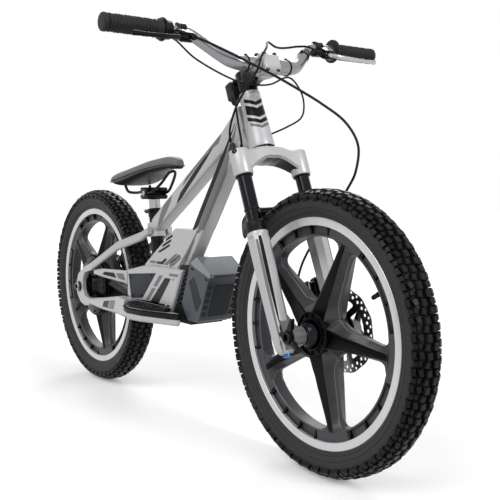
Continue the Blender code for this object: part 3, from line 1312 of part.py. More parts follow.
def make_saddle(parent, tail):
    """Make the saddle: a crowned cushion with a wide tail, drawn-in sides and a slim nose."""
    stations = [
        (0.000, 0.4545, 0.0200, 0.036),
        (0.135, 0.5758, 0.0255, 0.046),
        (0.337, 0.5000, 0.0360, 0.044),
        (0.536, 0.3258, 0.0500, 0.040),
        (0.8135, 0.1894, 0.0590, 0.038),
        (1.000, 0.1136, 0.0540, 0.030),
    ]
    shape = bmesh.new()
    loops = []
    for along, half, lift, tall in stations:
        ring = []
        for out, high in SADDLE_RING:
            place = Vector((SADDLE_LENGTH * along, SADDLE_WIDTH * half * out, lift + tall / 2 * high))
            ring.append(shape.verts.new(tail + place))
        loops.append(ring)
    for near, far in zip(loops, loops[1:]):
        for index in range(len(SADDLE_RING)):
            after = (index + 1) % len(SADDLE_RING)
            shape.faces.new((near[index], near[after], far[after], far[index]))
    shape.faces.new(loops[0])
    shape.faces.new(loops[-1])
    saddle = mesh_object("saddle", shape, VINYL, parent)
    soft = saddle.modifiers.new("soft", "SUBSURF")
    soft.levels = 2
    soft.render_levels = 2
    return saddle


# Cockpit

def make_spacers_and_stem(parent):
    """Make the headset spacers, the stem and the faceplate that clamps the bar."""
    bore = bore_round(STEERER_RADIUS, 16)
    low = HEAD_TUBE_LENGTH + GAP
    high = STEM_HEIGHT - STEM_SLEEVE_HALF - GAP
    profile = [(bore, high), (0.0185, high), (0.0200, low), (bore, low)]
    steer_turned("headset_spacers", profile, BLACK_METAL, parent, steps=16, closed=True)
    sleeve_top = STEM_HEIGHT + STEM_SLEEVE_HALF
    sleeve_foot = STEM_HEIGHT - STEM_SLEEVE_HALF
    sleeve = [(0.0, sleeve_top + 0.0035), (0.0165, sleeve_top + 0.0035), (0.0195, sleeve_top)]
    sleeve += [(0.0195, sleeve_foot), (0.0, sleeve_foot)]
    stem = steer_turned("stem", sleeve, SILVER_PAINT, parent, steps=16)
    start = steer_point(-STEM_HEIGHT, 0.0, 0.008)
    end = BAR_CENTRE - STEER_FRONT * 0.010
    rings = [
        rounded_ring(start, SIDE, -STEER_DOWN, 0.0165, 0.0175, 0.006),
        rounded_ring(start.lerp(end, 0.5), SIDE, -STEER_DOWN, 0.0135, 0.0150, 0.006),
        rounded_ring(end, SIDE, -STEER_DOWN, 0.0200, 0.0190, 0.006),
        rounded_ring(BAR_CENTRE - STEER_FRONT * GAP, SIDE, -STEER_DOWN, 0.0200, 0.0215, 0.004),
    ]
    join(stem, loft("stem_arm", rings, None, None))
    wide = Vector((0.0, 0.1, 0.0))
    bar_hole = BAR_CLAMP_RADIUS + GAP
    cut(stem, cylinder("bar_seat", BAR_CENTRE - wide, BAR_CENTRE + wide, bar_hole, None, None, 20))
    top = steer_point(-STEERER_TOP - GAP, 0, 0)
    cut(stem, cylinder("steerer_seat", steer_point(-STEM_HEIGHT + 0.05, 0, 0), top, bore, None, None, 16))
    plate_rings = [
        rounded_ring(BAR_CENTRE + STEER_FRONT * GAP, SIDE, -STEER_DOWN, 0.0200, 0.0215, 0.004),
        rounded_ring(BAR_CENTRE + STEER_FRONT * 0.012, SIDE, -STEER_DOWN, 0.0200, 0.0205, 0.004),
        rounded_ring(BAR_CENTRE + STEER_FRONT * 0.0205, SIDE, -STEER_DOWN, 0.0180, 0.0110, 0.004),
    ]
    plate = loft("stem_faceplate", plate_rings, SILVER_PAINT, parent)
    cut(plate, cylinder("bar_seat", BAR_CENTRE - wide, BAR_CENTRE + wide, bar_hole, None, None, 20))


def make_bar(parent):
    """Make the riser handlebar, thick at its clamp and straight under the grips."""
    thick = BAR_CLAMP_RADIUS / BAR_RADIUS
    bend = [
        (0.3526, 0.04, 0.01, 0.77),
        (0.5, 0.20, 0.08, 0.39),
        (0.6154, 0.40, 0.26, 0.0),
        (0.7308, 0.64, 0.53, 0.0),
        (0.8462, 0.85, 0.79, 0.0),
        (0.9295, 0.97, 0.95, 0.0),
        (1.0, 1.0, 1.0, 0.0),
    ]
    points = [BAR_CENTRE, BAR_CENTRE + SIDE * BAR_CLAMP_HALF_WIDTH]
    widths = [thick, thick]
    for out, back, rise, swell in bend:
        points.append(BAR_CENTRE + Vector((-BAR_SWEEP * back, BAR_BEND_END * out, BAR_RISE * rise)))
        widths.append(1.0 + (thick - 1.0) * swell)
    points.append(GRIP_LINE + SIDE * BAR_HALF_WIDTH)
    widths.append(1.0)
    points = [mirrored(point) for point in reversed(points[1:])] + points
    widths = list(reversed(widths[1:])) + widths
    tube("handlebar", points, BAR_RADIUS, SILVER_PAINT, parent, widths, 3)


def bar_turned(name, side, profile, finish, parent, steps, closed=True):
    """Turn a piece about the grip line; heights run outward from the bike's middle."""
    return turned(name, profile, finish, parent, GRIP_LINE, SIDE * side, steps, closed)


def make_grip(name, side, parent, flange):
    """Make a ribbed grip with a closed end and an inner flange."""
    bore = bore_round(BAR_RADIUS, 12)
    end = BAR_HALF_WIDTH + GAP
    start = end + 0.0025 - GRIP_LENGTH
    profile = [(0.0, end + 0.0025), (GRIP_RADIUS - 0.002, end + 0.0025), (GRIP_RADIUS + 0.001, end)]
    profile.append((GRIP_RADIUS + 0.001, end - 0.006))
    ribs = 3
    for index in range(ribs):
        high = end - 0.008 - index * 0.0300
        profile += [(GRIP_RADIUS, high), (GRIP_RADIUS - 0.0014, high - 0.0270)]
    profile += [(flange, start + 0.005), (flange, start), (bore, start), (bore, end), (0.0, end)]
    return bar_turned(name, side, profile, RUBBER, parent, 12, False)


def make_controls(steering, throttle_body, right_lever_body, left_lever_body):
    """Make the grips, the throttle housing, the lever mounts and the levers."""
    make_grip("throttle_grip", -1.0, throttle_body, 0.019)
    make_grip("left_grip", 1.0, steering, 0.0245)
    bore = bore_round(BAR_RADIUS, 12)
    outer = BAR_HALF_WIDTH + 0.0028 - GRIP_LENGTH - 0.0008
    inner = LEVER_PIVOT + 0.0095
    profile = [(bore, outer), (0.0215, outer), (0.0215, outer - 0.004), (0.0178, outer - 0.006)]
    profile += [(0.0168, inner), (bore, inner)]
    bar_turned("throttle_housing", -1.0, profile, BLACK_PLASTIC, steering, 12)
    make_lever_set("right", -1.0, steering, right_lever_body, BLACK_METAL)
    make_lever_set("left", 1.0, steering, left_lever_body, STEEL)


def lever_turn():
    """Give the turn whose local X points ahead along the lever's plane and Z along its pivot."""
    return Matrix.Rotation(LEVER_DROP_ANGLE, 4, "Y")


def lever_pivot(side):
    """Give the place of one brake lever's pivot."""
    return GRIP_LINE + LEVER_FRONT * LEVER_REACH + SIDE * (side * LEVER_PIVOT)


def make_lever_set(label, side, steering, lever_body, finish):
    """Make one brake lever and the mount that carries it on the bar."""
    bore = bore_round(BAR_RADIUS, 12)
    high = LEVER_PIVOT - 0.004
    low = LEVER_PIVOT - 0.020
    ring = [(bore, high), (0.0160, high), (0.0160, low), (bore, low)]
    bar_ring = turned("lever_mount_" + label, ring, finish, steering, GRIP_LINE, SIDE * side, 12, True)
    centre = GRIP_LINE + LEVER_FRONT * 0.0265 + SIDE * (side * (LEVER_PIVOT - 0.0065))
    block = box("lever_block", centre, (0.027, 0.027, 0.019), None, None, lever_turn())
    add_bevel(block, 0.003, 1)
    join(bar_ring, block)
    pivot = lever_pivot(side)
    slot_centre = pivot + LEVER_FRONT * 0.005 + SIDE * (side * 0.006)
    cut(bar_ring, box("lever_slot", slot_centre, (0.030, 0.030, 0.0098), None, None, lever_turn()))
    ends = [GRIP_LINE + SIDE * (side * (LEVER_PIVOT + out)) for out in (-0.058, 0.012)]
    cut(bar_ring, cylinder("bar_clear", *ends, bore, None, None, 12))
    half = LEVER_UP * 0.0044
    lever = cylinder("brake_lever_" + label, pivot - half, pivot + half, 0.0075, finish, lever_body, 12)
    blade_route = [(0.0, 0.0), (0.012, 0.014), (0.018, 0.040), (0.021, 0.075), (0.022, LEVER_LENGTH)]
    points = [pivot + LEVER_FRONT * front + SIDE * (side * out) for front, out in blade_route]
    blade = tube("lever_blade", points, 0.0042, None, None, (1.0, 1.0, 0.95, 0.85, 1.25), 2)
    join(lever, as_mesh(blade, "lever_blade", None))


def display_centre():
    """Give the middle of the display, behind the stem."""
    return steer_point(-STEM_HEIGHT + 0.004, -0.010, -0.0315)


def make_display(parent, button_body):
    """Make the display behind the stem and its power button."""
    centre = display_centre()
    turn = Matrix.Rotation(HEAD_ANGLE - math.pi / 2, 4, "Y")
    display = box("display", centre, (DISPLAY_DEPTH, 0.030, 0.040), SLATE_PLASTIC, parent, turn)
    add_bevel(display, 0.003)
    face = centre - STEER_FRONT * (DISPLAY_DEPTH / 2)
    hole_end = face - STEER_FRONT * 0.004
    cut(display, cylinder("button_hole", face + STEER_FRONT * 0.004, hole_end, 0.0063, None, None, 20))
    profile = [(0.0, 0.0025), (0.0052, 0.0025), (0.0058, 0.0018), (0.0058, -0.0018), (0.0, -0.0018)]
    turned("power_button", profile, BLACK_PLASTIC, button_body, face, -STEER_FRONT, 12)


# Cables, each along its real route

def make_front_brake_cable(steering):
    """Make the front brake cable, from the right lever round the steering to the caliper."""
    port = GRIP_LINE + LEVER_FRONT * 0.030
    caliper = caliper_centre()
    route = [
        port - SIDE * (LEVER_PIVOT - 0.0205),
        port - SIDE * (LEVER_PIVOT - 0.0330),
        bar_point(0.0070, -0.51 * LEVER_PIVOT, 0.0160),
        bar_point(0.0270, -0.25 * LEVER_PIVOT, -0.0070),
        bar_point(0.0330, 0.004, -0.0260),
        bar_point(0.0470, 0.045, -0.0480),
        head_point(0.0970, 0.070, 0.0830),
        head_point(0.1400, 0.090, 0.0470),
        head_point(0.1650, 0.100, 0.0030),
        head_point(0.1570, 0.103, -0.0440),
        head_point(0.1310, 0.107, -0.0770),
        caliper + Vector((-0.0023, 0.058, 0.1569)),
        caliper + Vector((-0.0523, 0.055, 0.1009)),
        caliper + Vector((-0.0713, 0.040, 0.0559)),
        caliper + Vector((-0.0613, 0.018, 0.0219)),
        caliper + Vector((-0.0373, 0.004, 0.0109)),
    ]
    tube("front_brake_cable", smooth_route(route, 0.030), BRAKE_CABLE_RADIUS, BLACK_PLASTIC, steering)


def make_rear_brake_cable(steering):
    """Make the rear brake cable, from the left lever over the stem to the cable port."""
    port = GRIP_LINE + LEVER_FRONT * 0.030
    route = [
        port + SIDE * (LEVER_PIVOT - 0.0205),
        port + SIDE * (LEVER_PIVOT - 0.0280),
        bar_point(-0.0270, 0.730 * LEVER_PIVOT, 0.0530),
        bar_point(-0.0410, 0.618 * LEVER_PIVOT, 0.0540),
        bar_point(-0.0500, 0.478 * LEVER_PIVOT, 0.0500),
        bar_point(-0.0480, 0.337 * LEVER_PIVOT, 0.0490),
        bar_point(-0.0350, 0.030, 0.0540),
        bar_point(0.0050, -0.004, 0.0330),
        bar_point(0.0220, -0.029, 0.0110),
        bar_point(0.0200, -0.037, -0.0140),
        bar_point(-0.0030, -0.043, -0.0410),
        head_point(-0.0170, -0.045, 0.0900),
        head_point(-0.0370, -0.0435, 0.0670),
        head_point(-0.0590, -0.037, 0.0400),
        head_point(-0.0720, -0.0275, 0.0170),
    ]
    tube("rear_brake_cable", smooth_route(route, 0.020), REAR_CABLE_RADIUS, BLACK_PLASTIC, steering)


def make_throttle_cable(steering):
    """Make the throttle cable, from its housing round the stem to the frame's left side."""
    route = [
        bar_point(-0.0620, -LEVER_PIVOT - 0.009, 0.0470),
        bar_point(-0.0620, -LEVER_PIVOT + 0.013, 0.0410),
        bar_point(-0.0550, -0.702 * LEVER_PIVOT, 0.0090),
        bar_point(-0.0200, -0.070, -0.0270),
        bar_point(-0.0150, -0.020, -0.0350),
        bar_point(-0.0130, 0.020, -0.0320),
        bar_point(-0.0020, 0.056, -0.0170),
        bar_point(0.0110, 0.075, -0.0420),
        head_point(0.0310, 0.080, 0.0880),
        head_point(0.0340, 0.070, 0.0610),
        head_point(0.0110, 0.052, 0.0440),
        head_point(-0.0230, 0.034, 0.0300),
        head_point(-0.0450, 0.0265, 0.0220),
    ]
    tube("throttle_cable", smooth_route(route, 0.028), THROTTLE_CABLE_RADIUS, BLACK_PLASTIC, steering)


def make_harness_cable(steering):
    """Make the wiring harness, from the display down to the cable port."""
    route = [
        bar_point(-0.0730, -0.0265, -0.0430),
        head_point(-0.0490, -0.0295, 0.0900),
        head_point(-0.0350, -0.0330, 0.0500),
        head_point(-0.0310, -0.0288, 0.0170),
        head_point(-0.0330, -0.0273, 0.0010),
    ]
    tube("harness_cable", smooth_route(route, 0.018), REAR_CABLE_RADIUS, BLACK_PLASTIC, steering)


def make_cable_port():
    """Make the port on the frame's right side that the cables enter."""
    corners = [
        (-0.0830, -0.0010), (-0.0790, 0.0140), (-0.0680, 0.0150), (-0.0620, 0.0050),
        (-0.0310, 0.0030), (-0.0290, -0.0050), (-0.0410, -0.0080),
    ]
    outline = [(HEAD_BASE.x + x, HEAD_BASE.z + z) for x, z in corners]
    low = TUBE_HEAD_WIDTH / 2 + GAP
    return slab("cable_port", outline, -low - PORT_THICKNESS, -low, SLATE_PLASTIC, None, None, 0.001)


def build():
    """Build every piece under its carrier."""
    steering = carrier("steering_axis", HEAD_BASE, None, -STEER_DOWN)
    lowers = carrier("fork_travel_axis", steer_point(LOWERS_TOP, 0.0, 0.0), steering, -STEER_DOWN)
    front_spin = carrier("front_wheel_axis", FRONT_AXLE, lowers, SIDE)
    rear_spin = carrier("rear_wheel_axis", REAR_AXLE, None, SIDE)
    seat_slide = carrier("seat_axis", SEAT_BASE, None, SEAT_UP)
    throttle = carrier("throttle_axis", GRIP_LINE, steering, -SIDE)
    right_lever = carrier("right_lever_axis", lever_pivot(-1.0), steering, LEVER_UP)
    left_lever = carrier("left_lever_axis", lever_pivot(1.0), steering, LEVER_UP)
    clamp_lever = carrier("clamp_lever_axis", clamp_pivot(), None, SEAT_UP)
    battery_slide = carrier("battery_axis", body_point(BATTERY_OUTLINE[0][0], 0.0, BATTERY_OUTLINE[0][1]))
    button_place = display_centre() - STEER_FRONT * (DISPLAY_DEPTH / 2)
    button = carrier("button_axis", button_place, steering, STEER_FRONT)

    make_head_tube()
    make_headset()
    make_top_tube()
    make_down_tube()
    make_seat_tube()
    make_gusset()
    make_drive_case()
    make_side_panels()
    make_cradle()
    make_footrests()
    make_seat_stays()
    make_upper_and_lower_stays()
    make_rear_axle()
    make_rear_caliper()
    make_seat_clamp(clamp_lever)
    make_cable_port()
    make_battery(battery_slide)
    make_seat(seat_slide)
    make_crown(steering)
    make_stanchions(steering)
    make_spacers_and_stem(steering)
    make_bar(steering)
    make_controls(steering, throttle, right_lever, left_lever)
    make_display(steering, button)
    make_front_brake_cable(steering)
    make_rear_brake_cable(steering)
    make_throttle_cable(steering)
    make_harness_cable(steering)
    make_lowers(lowers)
    make_axle_and_caliper(lowers)
    make_front_wheel(front_spin)
    make_rear_wheel(rear_spin)


build()
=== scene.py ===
"""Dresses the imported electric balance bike: tyres, castings, fork, cockpit, frame skins and stage."""

from math import atan2, ceil, copysign, cos, exp, hypot, pi, radians, sin, sqrt, tan, tau

import bmesh
import bpy
from bpy.props import FloatProperty, FloatVectorProperty, IntProperty, PointerProperty
from bpy.types import Operator, Panel, PropertyGroup
from mathutils import Matrix, Vector


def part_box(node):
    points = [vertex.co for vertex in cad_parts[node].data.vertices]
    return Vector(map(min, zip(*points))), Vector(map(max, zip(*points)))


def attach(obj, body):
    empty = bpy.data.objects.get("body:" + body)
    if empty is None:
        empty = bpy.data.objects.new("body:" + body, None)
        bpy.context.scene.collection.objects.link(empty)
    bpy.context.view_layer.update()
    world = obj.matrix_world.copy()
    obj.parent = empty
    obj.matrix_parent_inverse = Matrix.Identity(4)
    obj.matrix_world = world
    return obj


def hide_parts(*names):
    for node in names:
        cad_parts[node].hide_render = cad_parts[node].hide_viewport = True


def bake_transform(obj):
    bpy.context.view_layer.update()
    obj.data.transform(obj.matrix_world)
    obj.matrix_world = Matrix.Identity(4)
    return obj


bl_info = {
    "name": "Electric balance bike",
    "version": (1, 0, 0),
    "blender": (4, 5, 0),
    "location": "3D View > Sidebar > Bike",
    "description": "Dresses an electric balance bike piece by piece",
    "category": "Add Mesh",
}

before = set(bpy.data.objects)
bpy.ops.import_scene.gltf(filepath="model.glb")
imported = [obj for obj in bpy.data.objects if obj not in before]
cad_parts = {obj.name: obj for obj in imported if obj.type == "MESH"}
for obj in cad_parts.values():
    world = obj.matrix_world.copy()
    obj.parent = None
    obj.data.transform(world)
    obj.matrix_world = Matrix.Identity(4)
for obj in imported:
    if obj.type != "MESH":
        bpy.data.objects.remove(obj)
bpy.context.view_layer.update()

# Places shared by the pieces, in metres
AXLE_HEIGHT = 0.262
FRONT_AXLE = Vector((0.4635, 0.0, AXLE_HEIGHT))
REAR_AXLE = Vector((-0.4635, 0.0, AXLE_HEIGHT))
SIDE = Vector((0.0, 1.0, 0.0))
SIDES = (-1.0, 1.0)  # right, left
UP = Vector((0.0, 0.0, 1.0))
AHEAD = Vector((1.0, 0.0, 0.0))
HEAD_ANGLE = radians(68.5)
STEER_DOWN = Vector((cos(HEAD_ANGLE), 0.0, -sin(HEAD_ANGLE)))
STEER_FRONT = Vector((sin(HEAD_ANGLE), 0.0, cos(HEAD_ANGLE)))
STEER_AXES = (STEER_FRONT, SIDE, -STEER_DOWN)
AXLE_TO_CROWN = 0.3814
FORK_OFFSET = 0.0459
HEAD_BASE = FRONT_AXLE - STEER_DOWN * AXLE_TO_CROWN - STEER_FRONT * FORK_OFFSET
SEAT_ANGLE = radians(83.0)
SEAT_UP = Vector((-cos(SEAT_ANGLE), 0.0, sin(SEAT_ANGLE)))
SEAT_AHEAD = Vector((sin(SEAT_ANGLE), 0.0, cos(SEAT_ANGLE)))
SEAT_BASE = Vector((-0.1405, 0.0, AXLE_HEIGHT + 0.0808))
LEG_Y = 0.07
LEG_OFFSET = 0.014
STEM_HEIGHT = 0.1428
STEM_LENGTH = 0.0713
WHEEL_STEPS = 128  # sides of the wheels' and tyres' turned shapes
SPOKES = 5
FIRST_SPOKE = radians(67.0)
RIM_RADIUS = 0.2095
WINDOW_RIM = 0.1768


def body_point(x, y, height):
    """Place a frame point from the bike's middle and the axle line."""
    return Vector((x, y, AXLE_HEIGHT + height))


def steer_point(down, y, front):
    """Place a point along and ahead of the steering axis."""
    return HEAD_BASE + STEER_DOWN * down + STEER_FRONT * front + SIDE * y


def mm(*rows):
    """Turn rows of millimetres into rows of metres."""
    return [tuple(round(value / 1000, 6) for value in row) for row in rows]


def wheel_directions(angle):
    """Give the directions outward from an axle and onward round it at an angle."""
    return Vector((cos(angle), 0.0, sin(angle))), Vector((-sin(angle), 0.0, cos(angle)))


def seat_point(height, front, y):
    """Place a point along and ahead of the seat tube's axis."""
    return SEAT_BASE + SEAT_UP * height + SEAT_AHEAD * front + SIDE * y


BAR_CENTRE = steer_point(-STEM_HEIGHT, 0.0, STEM_LENGTH)
GRIP_LINE = BAR_CENTRE + Vector((-0.046, 0.0, 0.0545))
LEVER_DROP = radians(25.0)
LEVER_FRONT = Vector((cos(LEVER_DROP), 0.0, -sin(LEVER_DROP)))
LEVER_UP = Vector((sin(LEVER_DROP), 0.0, cos(LEVER_DROP)))
LEVER_AXES = (LEVER_FRONT, SIDE, LEVER_UP)


def tone(red, green, blue):
    """Turn display values from 0 to 255 into the linear colour that a shader takes."""
    linear = []
    for value in (red, green, blue):
        share = value / 255.0
        linear.append(share / 12.92 if share <= 0.04045 else ((share + 0.055) / 1.055) ** 2.4)
    return tuple(linear)


def colour_value(name, description, red, green, blue):
    """Make a colour setting from display values."""
    return FloatVectorProperty(name=name, description=description, subtype="COLOR", size=3, min=0, max=1,
                               default=tone(red, green, blue))


class BikeColours(PropertyGroup):
    """Colours of the bike's finishes."""
    paint: colour_value("Paint", "Frame and fork paint", 184, 184, 186)
    casting: colour_value("Casting", "Cast wheels", 64, 64, 67)
    ring: colour_value("Rim ring", "Bright ring at the rim's edge", 205, 205, 207)
    rubber: colour_value("Rubber", "Tyres and grips", 21, 20, 20)
    slate: colour_value("Slate", "Side covers and insets", 36, 40, 44)
    shell: colour_value("Battery shell", "Battery body", 54, 59, 65)
    # The lid's paler grey is partly its own and partly a painted reflection of the light from above.
    lid: colour_value("Battery lid", "Glossy top of the battery", 112, 117, 123)
    vinyl: colour_value("Saddle", "Saddle cover", 100, 101, 105)
    black: colour_value("Black", "Black metal and plastic", 14, 14, 16)
    graphite: colour_value("Graphite stripe", "Mid-grey stripes on the paint", 104, 104, 106)
    sidewall: colour_value("Tyre side", "Smooth side of the tyres", 54, 53, 54)
    accent: colour_value("Accent", "Blue adjuster on the front axle", 38, 92, 170)
    floor: FloatVectorProperty(name="Floor", description="Stage floor", subtype="COLOR", size=3, min=0, max=1,
                               default=(0.55, 0.55, 0.55))


class BikeSizes(PropertyGroup):
    """Sizes and counts of the dressing."""
    knob_rows: IntProperty(name="Knob rows", description="Rows of knobs round each tyre",
                           default=58, min=24, max=160)
    knob_height: FloatProperty(name="Knob height", description="Height of the middle knobs", default=0.0072,
                               min=0.002, max=0.008, unit="LENGTH")
    rim_ribs: IntProperty(name="Rim ribs", description="Ribs in the rim's pocket between two spokes",
                          default=4, min=2, max=12)
    groove_depth: FloatProperty(name="Spoke groove", description="Depth of the groove along each spoke",
                                default=0.013, min=0.002, max=0.014, unit="LENGTH")
    stripe_lift: FloatProperty(name="Stripe thickness", description="Thickness of the stripes on the paint",
                               default=0.00035, min=0.0002, max=0.001, unit="LENGTH")
    grip_ribs: IntProperty(name="Grip ribs", description="Ribs along each grip", default=15, min=6, max=30)
    key_light: FloatProperty(name="Key light",
                             description="Strength of the key lamp in watts to a square metre",
                             default=2.1, min=0.0, max=20.0)
    sky_light: FloatProperty(name="Sky light", description="Brightness of the surroundings on the bike",
                             default=0.46, min=0.0, max=2.0)
    shadow_depth: FloatProperty(name="Shadow depth",
                                description="Share of the floor's light that its shadow takes",
                                default=0.9, min=0.0, max=1.0)


# Finishes

SIDEWALL_EDGE = (0.245, 0.24)  # radii between which the tread's rubber turns into the side's
SIDEWALL_RIBS = 420.0  # fine ribs round a tyre's side


def fill_inputs(tree, node, inputs):
    """Fill a node's inputs with values or with other nodes' outputs."""
    for name, value in inputs.items():
        if isinstance(value, bpy.types.NodeSocket):
            tree.links.new(value, node.inputs[name])
        else:
            node.inputs[name].default_value = value


def add_node(tree, kind, inputs, **settings):
    """Add a shader node, set its options and fill its inputs."""
    node = tree.nodes.new("ShaderNode" + kind)
    for name, value in settings.items():
        setattr(node, name, value)
    fill_inputs(tree, node, inputs)
    return node


def calculated(tree, operation, *values):
    """Give the result of one operation on values or on other nodes' outputs."""
    return add_node(tree, "Math", dict(enumerate(values)), operation=operation).outputs[0]


def finish_nodes(name):
    """Start a material and give its node tree, shader and object coordinates."""
    finish = bpy.data.materials.new(name)
    finish.use_nodes = True
    tree = finish.node_tree
    return finish, tree, tree.nodes["Principled BSDF"], add_node(tree, "TexCoord", {}).outputs["Object"]


def texture_value(tree, kind, coordinates, scale, detail=3.0):
    """Add a noise or cell texture and give its value."""
    if kind == "CELL":
        return add_node(tree, "TexVoronoi", {"Scale": scale, "Vector": coordinates}).outputs["Distance"]
    return add_node(tree, "TexNoise", {"Scale": scale, "Detail": detail,
                                       "Vector": coordinates}).outputs["Fac"]


def spread_value(tree, source, low, high, start=0.25, end=0.75):
    """Map a value on to a range."""
    limits = {"Value": source, "From Min": start, "From Max": end, "To Min": low, "To Max": high}
    return add_node(tree, "MapRange", limits).outputs["Result"]


def blended_colour(tree, factor, first, second):
    """Mix two colours, or two nodes' outputs, by a value."""
    return add_node(tree, "Mix", {"Factor": factor, "A": first, "B": second},
                    data_type="RGBA").outputs["Result"]


def shaded(colour, share):
    """Darken or lighten a colour by a share."""
    return tuple(min(1.0, value * share) for value in colour)


def mottled(tree, factor, colour, dark, pale):
    """Vary a colour between a darker and a paler share of itself."""
    return blended_colour(tree, factor, (*shaded(colour, dark), 1.0), (*shaded(colour, pale), 1.0))


def add_bump(tree, shader, height, depth, strength):
    """Raise the surface by a height value."""
    bump = add_node(tree, "Bump", {"Distance": depth, "Strength": strength, "Height": height})
    tree.links.new(bump.outputs["Normal"], shader.inputs["Normal"])


def grained(name, colour, rough, metallic=0.0, kind="NOISE", scale=400.0, depth=0.0002, spread=0.06,
            rough_spread=0.06, coat=0.0, strength=0.5, sheen=0.5):
    """Make a finish with a soft change of tone, a fine grain and uneven gloss."""
    finish, tree, shader, coordinates = finish_nodes(name)
    broad = texture_value(tree, "NOISE", coordinates, 14.0)
    fill_inputs(tree, shader, {
        "Base Color": mottled(tree, spread_value(tree, broad, 0.0, 1.0), colour, 1 - spread, 1 + spread),
        "Roughness": spread_value(tree, broad, rough - rough_spread, rough + rough_spread),
        "Metallic": metallic, "Coat Weight": coat, "Coat Roughness": 0.08, "Specular IOR Level": sheen})
    add_bump(tree, shader, texture_value(tree, kind, coordinates, scale), depth, strength)
    return finish


def wheel_radius(tree, coordinates, centre):
    """Give the distance from an axle and the angle about it."""
    shift = add_node(tree, "VectorMath", {0: coordinates, 1: centre}, operation="SUBTRACT")
    parts = add_node(tree, "SeparateXYZ", {0: shift.outputs[0]}).outputs
    flat = add_node(tree, "CombineXYZ", {"X": parts["X"], "Z": parts["Z"]})
    length = add_node(tree, "VectorMath", {0: flat.outputs[0]}, operation="LENGTH")
    return length.outputs["Value"], calculated(tree, "ARCTAN2", parts["Z"], parts["X"])


def waved(tree, value, rate):
    """Give a sine of a value, from -1 to 1."""
    return calculated(tree, "SINE", calculated(tree, "MULTIPLY", value, rate))


def turned_finish(name, colour, centre, rate, rough, metallic, depth):
    """Make a metal with the fine rings that a lathe leaves about an axle."""
    finish, tree, shader, coordinates = finish_nodes(name)
    radius, _ = wheel_radius(tree, coordinates, centre)
    broad = texture_value(tree, "NOISE", coordinates, 22.0)
    fill_inputs(tree, shader, {
        "Base Color": mottled(tree, spread_value(tree, broad, 0.0, 1.0), colour, 0.92, 1.06),
        "Roughness": spread_value(tree, broad, rough - 0.05, rough + 0.07), "Metallic": metallic})
    add_bump(tree, shader, waved(tree, radius, rate), depth, 0.5)
    return finish


def sidewall_finish(name, tread, side, centre):
    """Make tyre rubber: a mottled tread darkened as painted shade between the knobs, and a paler side with
    fine radial ribs.
    """
    finish, tree, shader, coordinates = finish_nodes(name)
    radius, angle = wheel_radius(tree, coordinates, centre)
    on_side = spread_value(tree, radius, 0.0, 1.0, *SIDEWALL_EDGE)
    side_ribs = calculated(tree, "MULTIPLY", waved(tree, angle, SIDEWALL_RIBS), on_side)
    grain = texture_value(tree, "NOISE", coordinates, 900.0)
    broad = texture_value(tree, "NOISE", coordinates, 60.0, 6.0)
    factor = spread_value(tree, broad, 0.0, 1.0)
    # The tread band shows only between the knobs, and is darkened to 0.3 to 0.7 of the rubber as painted
    # shade.
    fill_inputs(tree, shader, {
        "Base Color": blended_colour(tree, on_side, mottled(tree, factor, tread, 0.3, 0.7),
                                     mottled(tree, factor, side, 0.86, 1.12)),
        "Roughness": spread_value(tree, broad, 0.36, 0.6), "Specular IOR Level": 0.14})
    add_bump(tree, shader, calculated(tree, "MULTIPLY_ADD", grain, 1.4, side_ribs), 0.0003, 0.55)
    return finish


